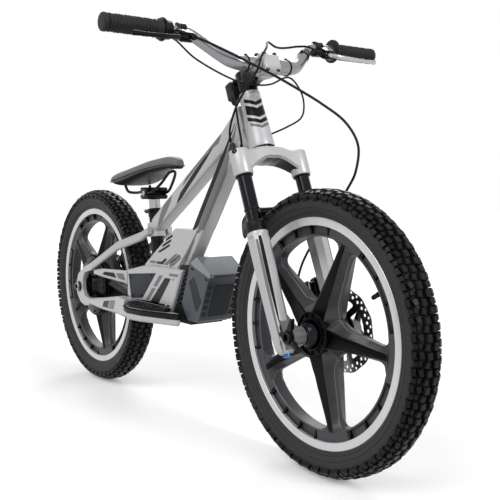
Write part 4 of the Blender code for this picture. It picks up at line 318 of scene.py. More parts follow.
def all_finishes(colours):
    """Make every finish once and give them by name."""
    front, rear = tuple(FRONT_AXLE), tuple(REAR_AXLE)
    return {
        "paint": grained("silver_paint", colours.paint, 0.36, 0.2, scale=900.0, depth=0.00004, spread=0.02,
                         coat=0.15, sheen=0.35),
        "casting": grained("cast_grey", colours.casting, 0.42, 0.15, scale=620.0, depth=0.00012,
                           spread=0.05, sheen=0.3),
        # Paler copy of the casting for the spoke and window edges: a painted highlight.
        "casting_painted_highlight": grained("cast_painted_highlight_grey", shaded(colours.casting, 2.2), 0.34, 0.15, scale=620.0,
                                depth=0.00008, sheen=0.4),
        # Darker copy of the casting for the chamfer beside each spoke groove: painted shade.
        "casting_painted_shade": grained("cast_shadow_grey", shaded(colours.casting, 0.28), 0.4, 0.1, scale=620.0,
                                depth=0.0001, sheen=0.25),
        # Black for the hub ring, and as painted shade in the spoke grooves, on the rim pocket's ribs and on
        # the web's slot floors.
        "casting_black_and_painted_shade": grained("cast_black_and_painted_shade", shaded(colours.black, 0.5), 0.42, 0.0, scale=620.0,
                                 depth=0.0001, sheen=0.15),
        "front_ring": turned_finish("front_rim_ring", colours.ring, front, 9000.0, 0.33, 0.45, 0.00003),
        "rear_ring": turned_finish("rear_rim_ring", colours.ring, rear, 9000.0, 0.33, 0.45, 0.00003),
        "front_rubber": sidewall_finish("front_tyre_rubber", colours.rubber, colours.sidewall, front),
        "front_knobs": grained("front_tread_knobs", colours.rubber, 0.34, 0.0, scale=500.0, depth=0.0003,
                               spread=0.3, rough_spread=0.1, sheen=0.12),
        "rear_knobs": grained("rear_tread_knobs", shaded(colours.rubber, 1.9), 0.42, 0.0, scale=500.0,
                              depth=0.0003, spread=0.3, rough_spread=0.1, sheen=0.15),
        "rear_rubber": sidewall_finish("rear_tyre_rubber", shaded(colours.rubber, 1.5),
                                       colours.sidewall, rear),
        "grip_rubber": grained("grip_rubber", shaded(colours.rubber, 0.7), 0.6, kind="CELL", scale=900.0,
                               depth=0.0002, sheen=0.3),
        "front_disc": turned_finish("front_disc_steel", tone(120, 120, 122), front,
                                    5200.0, 0.3, 0.95, 0.00003),
        "rear_disc": turned_finish("rear_disc_steel", tone(120, 120, 122), rear, 5200.0, 0.3, 0.95, 0.00003),
        "black_metal": grained("black_metal", shaded(colours.black, 0.8), 0.2, 0.2, scale=500.0,
                               depth=0.00004, spread=0.1, sheen=0.2),
        "black_plastic": grained("black_plastic", colours.black, 0.46, 0.0, "CELL", 800.0,
                                 0.00012, 0.08, sheen=0.15),
        "slate": grained("slate_plastic", colours.slate, 0.5, 0.0, "CELL", 1000.0, 0.0001, 0.05, sheen=0.18),
        "shell": grained("battery_shell", colours.shell, 0.4, 0.0, "CELL", 1100.0, 0.0001, 0.05, sheen=0.4),
        # The lid's paler grey is partly its own and partly a painted reflection.
        "lid": grained("battery_lid_and_painted_reflection", colours.lid, 0.2, 0.15, scale=300.0, depth=0.00003,
                       spread=0.05, coat=0.5),
        # Black and grey print on the paint, also used for the painted reflection streaks on the fork legs.
        "stripe_black": grained("stripe_black", shaded(colours.black, 0.7), 0.32, scale=700.0,
                                depth=0.00002, sheen=0.15),
        "stripe_grey": grained("stripe_grey", colours.graphite, 0.34, 0.1, scale=700.0,
                               depth=0.00002, sheen=0.4),
        "chrome": grained("polished_chrome", tone(170, 170, 174), 0.1, 1.0, scale=200.0, depth=0.00001,
                          spread=0.03, rough_spread=0.03),
        "dark_chrome": grained("dark_chrome", tone(50, 50, 54), 0.14, 1.0, scale=200.0, depth=0.00001,
                               spread=0.05, rough_spread=0.04),
        "black_chrome": grained("black_chrome", tone(36, 36, 40), 0.12, 1.0, scale=200.0, depth=0.00001,
                                spread=0.05, rough_spread=0.02),
        "steel": grained("brushed_steel", tone(176, 176, 178), 0.26, 0.9, scale=700.0,
                         depth=0.00004, spread=0.05),
        "bar_silver": grained("bar_silver", tone(138, 139, 142), 0.26, 0.85, scale=800.0,
                              depth=0.00003, spread=0.04),
        "vinyl": grained("saddle_vinyl", colours.vinyl, 0.52, 0.0, "CELL", 620.0, 0.0003, 0.06,
                         strength=0.7, sheen=0.4),
        "accent": grained("blue_adjuster", colours.accent, 0.3, 0.4, scale=300.0, depth=0.00003),
    }


FINISHES = {}


def finish_named(name):
    """Give a finish, making all of them when the first is asked for."""
    if not FINISHES:
        FINISHES.update(all_finishes(bpy.context.scene.bike_colours))
    return FINISHES[name]


# Shape making

def axis_frame(axis):
    """Give two directions square to an axis."""
    axis = Vector(axis).normalized()
    first = axis.orthogonal().normalized()
    if abs(axis.dot(UP)) < 0.99:
        first = (UP - axis * UP.dot(axis)).normalized()
    return first, axis.cross(first)


def rounded_ring(centre, across, rise, half_width, half_height, corner, steps=4):
    """Give the points of a rounded rectangle round a centre."""
    points = []
    corner = min(corner, half_width * 0.98, half_height * 0.98)
    for quarter, (sign_a, sign_r) in enumerate(((1, 1), (-1, 1), (-1, -1), (1, -1))):
        for step in range(steps + 1):
            angle = radians(90.0 * (quarter + step / steps))
            along = sign_a * (half_width - corner) + corner * cos(angle)
            above = sign_r * (half_height - corner) + corner * sin(angle)
            points.append(centre + across * along + rise * above)
    return points


def curve_through(rows, count):
    """Read a number of steps from each row to the next on a smooth curve through them."""
    rows = [Vector(row) for row in rows]
    ends = [rows[0] * 2 - rows[1]] + rows + [rows[-1] * 2 - rows[-2]]
    found = []
    for before, start, end, after in zip(ends, ends[1:], ends[2:], ends[3:]):
        for step in range(count):
            t = step / count
            pull = (end - before) * t + (before * 2 - start * 5 + end * 4 - after) * t ** 2
            pull += (start * 3 - before - end * 3 + after) * t ** 3
            found.append(start + pull / 2)
    return found + [rows[-1]]


def smooth_route(route, spacing):
    """Read evenly spaced points from a smooth curve through a route."""
    fine = curve_through(route, 24)
    points = [fine[0]]
    for point in fine[1:]:
        if (point - points[-1]).length >= spacing:
            points.append(point)
    points.append(fine[-1])
    return points


def smooth_values(stations, count):
    """Read many stations from a smooth curve through a few rows of numbers."""
    return [tuple(row) for row in curve_through(stations, count)]


def offset_outline(outline, distance):
    """Move each side of an outline outward, or inward if the distance is negative."""
    area = sum(a[0] * b[1] - b[0] * a[1] for a, b in zip(outline, outline[1:] + outline[:1]))
    side = 1.0 if area > 0.0 else -1.0
    moved = []
    for index, point in enumerate(outline):
        here = Vector(point)
        before = (here - Vector(outline[index - 1])).normalized()
        after = (Vector(outline[(index + 1) % len(outline)]) - here).normalized()
        out_before = Vector((before.y, -before.x)) * side
        out_after = Vector((after.y, -after.x)) * side
        middle = (out_before + out_after).normalized()
        moved.append(tuple(here + middle * distance / max(middle.dot(out_before), 0.2)))
    return moved


def fillet_outline(corners, steps=5):
    """Round the corners of an outline, each given as (x, z, radius)."""
    points = []
    for index, (x, z, radius) in enumerate(corners):
        here = Vector((x, z))
        before = Vector(corners[index - 1][:2]) - here
        after = Vector(corners[(index + 1) % len(corners)][:2]) - here
        half = before.angle(after) / 2
        if radius <= 0.0 or half > radians(89.0):
            points.append((x, z))
            continue
        reach = min(radius / tan(half), before.length * 0.49, after.length * 0.49)
        radius = reach * tan(half)
        middle = here + (before.normalized() + after.normalized()).normalized() * radius / sin(half)
        start = here + before.normalized() * reach - middle
        sweep = start.angle_signed(here + after.normalized() * reach - middle)
        for step in range(steps + 1):
            points.append(tuple(middle + Matrix.Rotation(-sweep * step / steps, 2) @ start))
    return points


def round_edges(piece, width, least_angle):
    """Round the edges of a piece that are sharper than an angle in degrees."""
    if width > 0.0:
        rounded = piece.modifiers.new("rounded_edges", "BEVEL")
        rounded.width = width
        rounded.segments = 2
        rounded.limit_method = "ANGLE"
        rounded.angle_limit = radians(least_angle)
        rounded.harden_normals = True


class Shape:
    """A piece in the making: a mesh whose new faces take the finish in use."""

    def __init__(self, *finishes):
        self.mesh = bmesh.new()
        self.finishes = list(finishes)
        self.use = 0

    def using(self, finish):
        """Choose the finish of the faces that follow."""
        if finish not in self.finishes:
            self.finishes.append(finish)
        self.use = self.finishes.index(finish)
        return self

    def face(self, corners):
        """Add one face in the finish in use."""
        made = self.mesh.faces.new(corners)
        made.material_index = self.use
        return made

    def rings(self, loops, caps=True, sides=None):
        """Skin over loops of vertices that have one count; sides gives some of their sides another finish."""
        own = {index: self.finishes.index(finish) for index, finish in (sides or {}).items()}
        loops = [[self.mesh.verts.new(point) for point in loop] for loop in loops]
        count = len(loops[0])
        for near, far in zip(loops, loops[1:]):
            for index in range(count):
                after = (index + 1) % count
                made = self.face((near[index], near[after], far[after], far[index]))
                made.material_index = own.get(index, made.material_index)
        if caps:
            self.face(loops[0])
            self.face(loops[-1])
        return self

    def lathe(self, profile, origin, axis, steps, closed=True):
        """Turn (radius, height) points about an axis; an open profile starts and ends on it."""
        axis = Vector(axis).normalized()
        first, second = axis_frame(axis)
        rows = []
        for radius, height in profile:
            if radius < 1e-6:
                rows.append([self.mesh.verts.new(origin + axis * height)])
                continue
            row = []
            for step in range(steps):
                angle = tau * step / steps
                out = first * cos(angle) + second * sin(angle)
                row.append(self.mesh.verts.new(origin + axis * height + out * radius))
            rows.append(row)
        pairs = list(zip(rows, rows[1:]))
        if closed:
            pairs.append((rows[-1], rows[0]))
        for near, far in pairs:
            for step in range(steps):
                after = (step + 1) % steps
                if len(near) == 1:
                    self.face((near[0], far[after], far[step]))
                elif len(far) == 1:
                    self.face((near[step], near[after], far[0]))
                else:
                    self.face((near[step], near[after], far[after], far[step]))
        return self

    def slab(self, outline, low, high, across=AHEAD, rise=UP, out=SIDE, origin=(0.0, 0.0, 0.0)):
        """Extrude a flat outline along a third direction."""
        origin = Vector(origin)
        loops = []
        for level in sorted((low, high)):
            loops.append([origin + across * x + rise * z + out * level for x, z in outline])
        return self.rings(loops)

    def block(self, centre, size, across=AHEAD, out=SIDE, rise=UP, corner=0.0015):
        """Add a block with rounded upright edges and a small taper at its ends."""
        half = Vector(size) / 2
        inset = min(corner, half.z * 0.5)
        loops = []
        for level, shrink in ((-half.z, inset), (-half.z + inset, 0.0),
                              (half.z - inset, 0.0), (half.z, inset)):
            loops.append(rounded_ring(Vector(centre) + rise * level, across, out, half.x - shrink,
                                      half.y - shrink, max(corner - shrink * 0.5, 0.0003), 2))
        return self.rings(loops)

    def sweep(self, points, radius, sides, flat=1.0, up=None):
        """Carry a circle, or a flattened one, along points; radius is one value or one per point."""
        points = [Vector(point) for point in points]
        radii = radius if isinstance(radius, (list, tuple)) else [radius] * len(points)
        loops = []
        across = None
        for index, point in enumerate(points):
            ahead = (points[min(index + 1, len(points) - 1)] - points[max(index - 1, 0)]).normalized()
            if across is None:
                guide = Vector(up) if up is not None else ahead.orthogonal()
                across = (guide - ahead * guide.dot(ahead)).normalized()
            else:
                across = (across - ahead * across.dot(ahead)).normalized()
            second = ahead.cross(across)
            loop = []
            for step in range(sides):
                angle = tau * step / sides
                loop.append(point + across * (cos(angle) * radii[index] * flat)
                            + second * (sin(angle) * radii[index]))
            loops.append(loop)
        return self.rings(loops)

    def bolt(self, seat, axis, radius, height, socket=True):
        """Add a round bolt head with a hexagon socket."""
        axis = Vector(axis).normalized()
        inner = radius * 0.52
        profile = [(radius, 0.0), (radius, height * 0.75), (radius * 0.86, height)]
        if socket:
            profile += [(inner, height), (inner, height * 0.35), (0.0, height * 0.35)]
        else:
            profile += [(0.0, height)]
        self.lathe([(0.0, 0.0)] + profile, Vector(seat), axis, 12 if socket else 18, False)
        return self

    def done(self, name, body, stands_for=(), slot=None, edge=0.0, angle=38.0):
        """Make the piece, shade it, and let it ride on its body."""
        bmesh.ops.remove_doubles(self.mesh, verts=self.mesh.verts, dist=0.000002)
        bmesh.ops.recalc_face_normals(self.mesh, faces=self.mesh.faces)
        data = bpy.data.meshes.new(name)
        self.mesh.to_mesh(data)
        self.mesh.free()
        for finish in self.finishes:
            data.materials.append(finish_named(finish))
        data.shade_smooth()
        data.set_sharp_from_angle(angle=radians(angle))
        piece = bpy.data.objects.new(name, data)
        bpy.context.scene.collection.objects.link(piece)
        round_edges(piece, edge, 32.0)
        if body is not None:
            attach(piece, body)
        if stands_for:
            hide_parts(*stands_for)
        return piece

    def dress(self, node, body, slot, **shading):
        """Make the piece that stands for one CAD node."""
        return self.done(node + "_dressed", body, (node,), slot, **shading)


# Tyres

def tyre_section():
    """Give the casing's outer outline as (radius, across) from the middle to the bead."""
    return mm((253.3, 0), (253, 6), (252, 12.5), (249.9, 18), (246.7, 22.6), (242.8, 25.6), (237.5, 27.4),
              (230, 27.7), (223, 26.3), (217.2, 23.5), (213.4, 20.8), (212, 20.3),
              (211.2, 19.7), (210.1, 19.2))


def add_knob(shape, centre, angle, across, radius, lean, length, width, height, twist):
    """Add one tread knob as a low tapered block, leaning outward by an angle."""
    out, along = wheel_directions(angle)
    rise = out * cos(lean) + SIDE * sin(lean)
    wide = SIDE * cos(lean) - out * sin(lean)
    if twist:
        along, wide = along * cos(twist) + wide * sin(twist), wide * cos(twist) - along * sin(twist)
    base = centre + out * radius + SIDE * across
    loops = []
    for level, share, cut in ((-0.003, 1.16, 0.1), (height * 0.86, 0.96, 0.14), (height, 0.84, 0.18)):
        loop = []
        for a, b in ((1 - cut, 1), (-1 + cut, 1), (-1, 1 - cut), (-1, -1 + cut), (-1 + cut, -1),
                     (1 - cut, -1), (1, -1 + cut), (1, 1 - cut)):
            loop.append(base + rise * level + along * (a * length / 2 * share)
                        + wide * (b * width / 2 * share))
        loops.append(loop)
    shape.rings(loops)


# Knobs of one row: turn (share of the pitch), across, radius, lean, length, width, height share, twist
KNOB_PATTERN = (
    (0.02, 0.007, 0.2532, 0.03, 0.0128, 0.0102, 1.0, 0.14),
    (0.53, 0.0108, 0.2524, 0.1, 0.0112, 0.0084, 0.98, -0.24),
    (0.12, 0.019, 0.249, 0.44, 0.012, 0.0084, 1.0, 0.3),
    (0.66, 0.0202, 0.248, 0.52, 0.0084, 0.0068, 0.92, -0.2),
    (0.12, 0.0258, 0.2428, 0.96, 0.0128, 0.0084, 1.0, 0.06),
    (0.62, 0.0246, 0.2442, 0.86, 0.0088, 0.0072, 0.95, -0.06),
)


def add_tread(shape, centre, rows, height, knob_finish):
    """Set the rows of middle, shoulder and side knobs round a casing, each a little unlike the next."""
    shape.using(knob_finish)
    pitch = tau / rows
    for row in range(rows):
        for side in SIDES:
            stagger = 0.0 if side < 0.0 else 0.5
            for place, (turn, across, radius, lean, length, width, tall, twist) in enumerate(KNOB_PATTERN):
                wobble = sin(row * 2.4 + place * 1.7 + side)
                add_knob(shape, centre, (row + turn + stagger) * pitch, side * across, radius, side * lean,
                         length * (1.0 + 0.06 * wobble), width, height * tall * (0.97 + 0.03 * wobble),
                         side * twist + 0.05 * wobble)


class BIKE_OT_tyres(Operator):
    """Make both tyres: a casing with ribbed sides and rows of knobs"""
    bl_idname = "bike.tyres"
    bl_label = "Tyres"

    def execute(self, context):
        sizes = context.scene.bike_sizes
        half = tyre_section()
        profile = [(radius, -across) for radius, across in reversed(half[1:])] + half
        for end, centre in (("front", FRONT_AXLE), ("rear", REAR_AXLE)):
            shape = Shape(end + "_rubber", end + "_knobs")
            shape.lathe(profile, centre, SIDE, WHEEL_STEPS)
            for side in SIDES:
                for radius, across in ((0.2166, 0.0234), (0.2262, 0.0274)):
                    ring = [(radius - 0.001, side * (across - 0.0012)), (radius, side * (across + 0.0005)),
                            (radius + 0.001, side * (across - 0.0006))]
                    shape.lathe(ring, centre, SIDE, WHEEL_STEPS)
            add_tread(shape, centre, sizes.knob_rows, sizes.knob_height, end + "_knobs")
            shape.dress(end + "_tyre", end + "_rolling", "tyre", angle=30.0)
        return {"FINISHED"}


# Wheels

def window_edge(tip, slope, nose_radius):
    """Give a window's edge beside a spoke as (along, half width) points, from its rounded nose to the rim."""
    half_pitch = pi / SPOKES
    rim, corner = WINDOW_RIM, 0.02
    nose = tip + nose_radius / sin(slope)
    points = []
    for step in range(13):
        angle = pi + (slope - pi / 2) * step / 12
        points.append((nose + nose_radius * cos(angle), nose_radius * sin(angle)))
    low, high = 0.0, rim
    for _ in range(40):
        x = (low + high) / 2
        z = ((x - tip) * sin(slope) - corner) / cos(slope)
        if hypot(x, z) < rim - corner:
            low = x
        else:
            high = x
    start, end = slope + pi / 2, atan2(z, x)
    for step in range(9):
        angle = start + (end - start) * step / 8
        points.append((x + corner * cos(angle), z + corner * sin(angle)))
    turn = (cos(half_pitch), sin(half_pitch))
    return [(a * turn[0] + b * turn[1], a * turn[1] - b * turn[0]) for a, b in points]


def spoke_half_width(along, edge):
    """Read half a spoke's width at a distance from the axle from its window's edge."""
    if along <= edge[0][0]:
        return along * tan(pi / SPOKES)
    for (near, first), (far, second) in zip(edge, edge[1:]):
        if near <= along <= far:
            return first + (second - first) * (along - near) / (far - near)
    return edge[-1][1]


def add_spoke(shape, centre, angle, window, hub_radius, web_hub, depth):
    """Skin one spoke: two sloped faces that part round a pointed groove, and a flared foot at the rim; the
    groove and one crest chamfer carry painted shade and the outer edge chamfers a painted highlight.
    """
    out, across = wheel_directions(angle)
    rim = WINDOW_RIM
    start = hub_radius * 0.8
    root = window[0][0]
    loops = []
    for step in range(41):
        along = start + (rim - start) * step / 40
        half = spoke_half_width(along, window)
        share = max(0.0, (along - hub_radius) / (rim - hub_radius))
        crest = web_hub + (0.0158 - web_hub) * share
        mouth = min(0.0052 + 0.0112 * (1.0 - share) ** 1.3, half * 0.62)
        foot = max(0.0, (root - along) / (root - start))
        flare = max(0.0, (along - 0.146) / 0.0308)
        edge = 0.0046 + 0.011 * foot + 0.0058 * flare
        closing = min(1.0, max(0.0, (0.1748 - along) / 0.004))
        floor = crest - (depth + (0.006 - depth) * share) * closing
        wall = edge * 0.2
        upper = [(-half, wall), (-half, edge - 0.0011), (-half + 0.0012, edge), (-mouth - 0.0011, crest),
                 (-mouth, crest - 0.0009), (-0.0006, floor), (0.0006, floor), (mouth, crest - 0.0009),
                 (mouth + 0.0011, crest), (half - 0.0012, edge), (half, edge - 0.0011), (half, wall)]
        section = upper + [(z, -y) for z, y in reversed(upper)]
        loop = []
        for z, y in section:
            reach = min(along, sqrt(max(rim * rim - z * z, 0.0)))
            loop.append(centre + out * reach + across * z + SIDE * y)
        loops.append(loop)
    verts = [[shape.mesh.verts.new(point) for point in loop] for loop in loops]
    count = len(verts[0])
    # The groove's walls and floor are black as painted shade, the crest chamfer on one side a painted shade
    # and the two outer edge chamfers a painted highlight.
    names = ("casting_black_and_painted_shade", "casting_painted_shade", "casting_painted_highlight")
    black, dark, bright = (shape.finishes.index(name) for name in names)
    finish_by_place = {1: bright, 3: dark, 4: black, 5: black, 6: black, 9: bright}
    for near, far in zip(verts, verts[1:]):
        for index in range(count):
            after = (index + 1) % count
            made = shape.face((near[index], near[after], far[after], far[index]))
            place = index if index < 12 else 22 - index
            made.material_index = finish_by_place.get(place, made.material_index)
    shape.face(verts[0])
    shape.face(verts[-1])


def make_cast_wheel(end, centre, tip, slope, nose_radius, hub_radius, hub_half, web_hub):
    """Make a five-spoke casting with a bright ring, a ribbed pocket and grooved spokes, with painted shade in
    the grooves and on the ribs and painted highlight on the edges.
    """
    sizes = bpy.context.scene.bike_sizes
    shape = Shape("casting", "casting_black_and_painted_shade", "casting_painted_shade", "casting_painted_highlight", end + "_ring")
    window = window_edge(tip, slope, nose_radius)
    half = 0.019
    shape.using(end + "_ring")
    for side in SIDES:
        ring = [(0.1948, side * 0.0118), (0.1948, side * (half - 0.0006)), (0.1956, side * half),
                (0.2066, side * half), (0.2086, side * (half + 0.0008)), (0.2096, side * (half + 0.0002)),
                (RIM_RADIUS, side * 0.0118)]
        shape.lathe(ring, centre, SIDE, WHEEL_STEPS)
    shape.using("casting")
    band = mm((175.2, -12.2), (175.2, 12.2), (177.4, 13.2), (179, 12.8), (180, 8.4), (194, 8), (194.9, 11.8),
              (209, 11.8), (209, -11.8), (194.9, -11.8), (194, -8), (180, -8.4), (179, -12.8), (177.4, -13.2))
    shape.lathe(band, centre, SIDE, WHEEL_STEPS)
    # The lip round each window is a paler copy of the casting, a painted highlight.
    shape.using("casting_painted_highlight")
    for side in SIDES:
        lip = [(0.1751, side * 0.0121), (0.176, side * 0.0129), (0.1766, side * 0.0129),
               (0.1762, side * 0.0119)]
        shape.lathe(lip, centre, SIDE, WHEEL_STEPS)
    for index in range(SPOKES):
        angle = FIRST_SPOKE + tau * index / SPOKES
        shape.using("casting")
        add_spoke(shape, centre, angle, window, hub_radius, web_hub, sizes.groove_depth)
        flare = radians(13.0)
        for rib in range(sizes.rim_ribs):
            turn = angle + tau / SPOKES * (rib + 1) / (sizes.rim_ribs + 1)
            out, along = wheel_directions(turn)
            for side in SIDES:
                # The pocket's ribs are black, painted shade.
                shape.using("casting_black_and_painted_shade")
                loops = []
                for radius, high, thick in mm((178, 12.4, 5), (187, 14.2, 4.2), (195, 17.2, 3.6)):
                    loops.append([centre + out * radius + along * (sign * thick / 2) + SIDE * (side * level)
                                  for sign, level in ((-1, 0.007), (1, 0.007), (1, high), (-1, high))])
                shape.rings(loops)
        shape.using("casting")
        for side in SIDES:
            foot = []
            for step in range(9):
                turn = angle - flare + 2 * flare * step / 8
                foot.append(turn)
            outline = [(0.1946 * cos(turn), 0.1946 * sin(turn)) for turn in foot]
            outline += [(0.1766 * cos(turn), 0.1766 * sin(turn)) for turn in reversed(foot)]
            shape.slab(outline, side * 0.007, side * 0.014, origin=centre)
    shape.using("casting_black_and_painted_shade")
    bore = hub_radius - 0.014
    for side in SIDES:
        ring = [(bore, side * 0.004), (bore, side * (hub_half - 0.0016)), (bore + 0.001, side * hub_half),
                (bore + 0.0034, side * hub_half), (bore + 0.0042, side * (hub_half - 0.004)),
                (hub_radius - 0.0026, side * (hub_half - 0.004)), (hub_radius - 0.0016, side * hub_half),
                (hub_radius - 0.0004, side * hub_half), (hub_radius + 0.0004, side * (hub_half - 0.0014)),
                (hub_radius + 0.0004, side * 0.004)]
        shape.lathe(ring, centre, SIDE, 72)
        for rib in range(12):
            turn = tau * rib / 12
            out, along = wheel_directions(turn)
            middle = centre + out * (bore + 0.0072) + SIDE * (side * (hub_half - 0.0028))
            shape.block(middle, (0.0075, 0.0014, 0.0044), out, along, SIDE, 0.0004)
    shape.done(end + "_casting", end + "_rolling", (end + "_wheel",), "grey_cast", angle=28.0)


class BIKE_OT_front_wheel(Operator):
    """Make the front casting with its hub, axle barrel and valve"""
    bl_idname = "bike.front_wheel"
    bl_label = "Front wheel"

    def execute(self, context):
        make_cast_wheel("front", FRONT_AXLE, 0.0363, radians(39.2), 0.0406, 0.04, 0.0298, 0.0262)
        shape = Shape("black_metal", "black_chrome")
        hub = mm((10.4, 51), (20, 51), (21.4, 50), (21.4, 44), (24.5, 43), (25, 30), (25, -28.5), (24.6, -32),
                 (23.2, -36.5), (20.5, -41), (17.2, -44.5), (15, -47), (14.6, -51), (10.4, -51.2))
        shape.using("black_chrome").lathe(hub, FRONT_AXLE, SIDE, 64)
        shape.dress("front_hub", "front_rolling", "black_metal")
        make_valve("front", FRONT_AXLE, radians(31.0))
        return {"FINISHED"}


def make_valve(end, centre, angle):
    """Make a tyre valve with its cap, standing inward from the rim."""
    out, _ = wheel_directions(angle)
    shape = Shape("black_plastic", "dark_chrome")
    foot = centre + out * 0.176
    lean = (-out + SIDE * -0.1).normalized()
    stem = mm((0, 0), (5.2, 0), (5, 3), (3, 5), (2.8, 20), (0, 20))
    shape.using("dark_chrome").lathe(stem, foot, lean, 24, False)
    cap = mm((0, 12), (4.6, 12), (4.6, 13.5), (4.2, 14.5), (4.2, 24.5), (3.4, 27), (0, 27.5))
    shape.using("black_plastic").lathe(cap, foot, lean, 20, False)
    shape.done(end + "_valve", end + "_rolling", slot="black_plastic")


class BIKE_OT_rear_wheel(Operator):
    """Make the rear casting with its hub motor"""
    bl_idname = "bike.rear_wheel"
    bl_label = "Rear wheel"

    def execute(self, context):
        make_cast_wheel("rear", REAR_AXLE, 0.0515, radians(42.9), 0.068, 0.084, 0.0228, 0.021)
        shape = Shape("black_metal")
        motor = mm((7.4, 56), (20.5, 56), (21.4, 54.8), (21.4, 45), (33, 44.8), (35, 34), (40, 33),
                   (44, 34.5), (66, 32.5), (69, 31.8), (77, 29.5), (78.8, 27), (78.8, 21.5), (70, 20),
                   (70, -20), (78.8, -21.5), (78.8, -27), (77, -29), (69, -31.2), (66, -32.2), (46, -34.5),
                   (44, -36), (41.2, -44), (39.5, -45.2), (20.5, -47), (20, -55.5), (7.4, -56))
        shape.lathe(motor, REAR_AXLE, SIDE, 72)
        for index in range(9):
            turn = tau * index / 9
            out, _ = wheel_directions(turn)
            for side, level in ((-1.0, 0.0316), (1.0, 0.0322)):
                shape.bolt(REAR_AXLE + out * 0.0725 + SIDE * side * (level - 0.0012),
                           SIDE * side, 0.0028, 0.0022)
        shape.dress("hub_motor", "rear_rolling", "black_metal")
        make_valve("rear", REAR_AXLE, radians(31.0))
        return {"FINISHED"}


def holed_plate(outlines, thickness, origin, axis):
    """Make a flat plate from an outer outline and the outlines of its holes."""
    curve = bpy.data.curves.new("plate_outline", "CURVE")
    curve.dimensions = "2D"
    curve.fill_mode = "BOTH"
    curve.extrude = thickness / 2
    curve.render_resolution_u = 0
    for outline in outlines:
        spline = curve.splines.new("POLY")
        spline.points.add(len(outline) - 1)
        for point, (x, y) in zip(spline.points, outline):
            point.co = (x, y, 0.0, 1.0)
        spline.use_cyclic_u = True
    holder = bpy.data.objects.new("plate_outline", curve)
    bpy.context.scene.collection.objects.link(holder)
    bpy.context.view_layer.update()
    flat = bpy.data.meshes.new_from_object(holder.evaluated_get(bpy.context.evaluated_depsgraph_get()))
    bpy.data.objects.remove(holder, do_unlink=True)
    first, second = axis_frame(axis)
    place = Matrix.Identity(4)
    for row in range(3):
        place[row] = (first[row], second[row], axis[row], origin[row])
    flat.transform(place)
    return flat


def circle_outline(x, y, radius, steps):
    """Give the points of a circle."""
    return [(x + radius * cos(tau * step / steps), y + radius * sin(tau * step / steps))
            for step in range(steps)]


# Brake discs: radius, thickness and distance from the bike's middle, then the edge's waves and points
DISC_RADIUS, DISC_THICKNESS, DISC_PLACE = 0.0797, 0.0019, 0.0465
DISC_WAVES, DISC_STEPS = 12, 144


class BIKE_OT_discs(Operator):
    """Make both brake discs with their spiders, vent holes and bolts"""
    bl_idname = "bike.discs"
    bl_label = "Brake discs"

    def execute(self, context):
        for end, centre in (("front", FRONT_AXLE), ("rear", REAR_AXLE)):
            edge = []
            for step in range(DISC_STEPS):
                turn = tau * step / DISC_STEPS
                radius = DISC_RADIUS * (1 + 0.012 * sin(DISC_WAVES * tau * step / DISC_STEPS))
                edge.append((radius * cos(turn), radius * sin(turn)))
            outlines = [edge, circle_outline(0.0, 0.0, 0.022, 48)]
            for arm in range(6):
                middle = tau * arm / 6
                inner = [(0.0335, middle - 0.36), (0.0335, middle + 0.3)]
                outer = [(0.0575, middle + 0.56 - 0.16 * step) for step in range(6)]
                corners = [(radius * cos(turn), radius * sin(turn), 0.004) for radius, turn in inner + outer]
                outlines.append(fillet_outline(corners, 3))
                for side in range(5):
                    turn = middle + tau / 6 * (side + 0.5) / 5
                    outlines.append(circle_outline(0.0752 * cos(turn), 0.0752 * sin(turn), 0.0027, 12))
                    turn += tau / 60
                    outlines.append(circle_outline(0.0684 * cos(turn), 0.0684 * sin(turn), 0.0031, 14))
            plate = holed_plate(outlines, DISC_THICKNESS, centre + SIDE * DISC_PLACE, SIDE)
            shape = Shape(end + "_disc", "black_metal")
            shape.mesh.from_mesh(plate)
            bpy.data.meshes.remove(plate)
            shape.using("black_metal")
            carrier = mm((22.2, 47.5), (22.2, 44), (33, 44.6), (33, 47.2))
            shape.lathe(carrier, centre, SIDE, 48)
            for index in range(6):
                turn = tau * (index + 0.5) / 6
                out, _ = wheel_directions(turn)
                shape.bolt(centre + out * 0.0278 + SIDE * 0.0474, SIDE, 0.0034, 0.0026)
            shape.dress(end + "_disc", end + "_rolling", "steel", angle=30.0)
        return {"FINISHED"}


# Fork

def steer_lathe(shape, profile, y=0.0, front=0.0, steps=64, closed=True):
    """Turn a profile about a line parallel to the steering axis, with heights up from the head's base."""
    return shape.lathe(profile, steer_point(0.0, y, front), -STEER_DOWN, steps, closed)


def facet_ring(centre, across, rise, half_width, half_height, cut_near, cut_far):
    """Give an eight-sided ring whose outer corners are cut wider than its inner ones."""
    shares = [(1.0, 1.0 - cut_far), (1.0 - cut_far * 0.8, 1.0), (-1.0 + cut_near, 1.0),
              (-1.0, 1.0 - cut_near), (-1.0, -1.0 + cut_near), (-1.0 + cut_near, -1.0),
              (1.0 - cut_far * 0.8, -1.0), (1.0, -1.0 + cut_far)]
    return [centre + across * half_width * a + rise * half_height * b for a, b in shares]


# Painted dark reflection streaks on a leg's cut corner: finish, first and last share of the leg, low and high
# share of the corner
LEG_PAINTED_REFLECTIONS = (("stripe_black", 0.1, 0.74, 0.06, 0.52), ("stripe_grey", 0.14, 0.92, 0.56, 0.94))
LEG_STATIONS = mm(
    (179, 19, 17.2, 0), (199, 20.5, 17.5, 0), (274, 18.5, 17, 0), (340, 17.2, 16.7, 0.5),
    (376.4, 16.2, 16.4, 1), (398.4, 14.3, 15.7, 2), (406.4, 9.2, 10.5, 3))


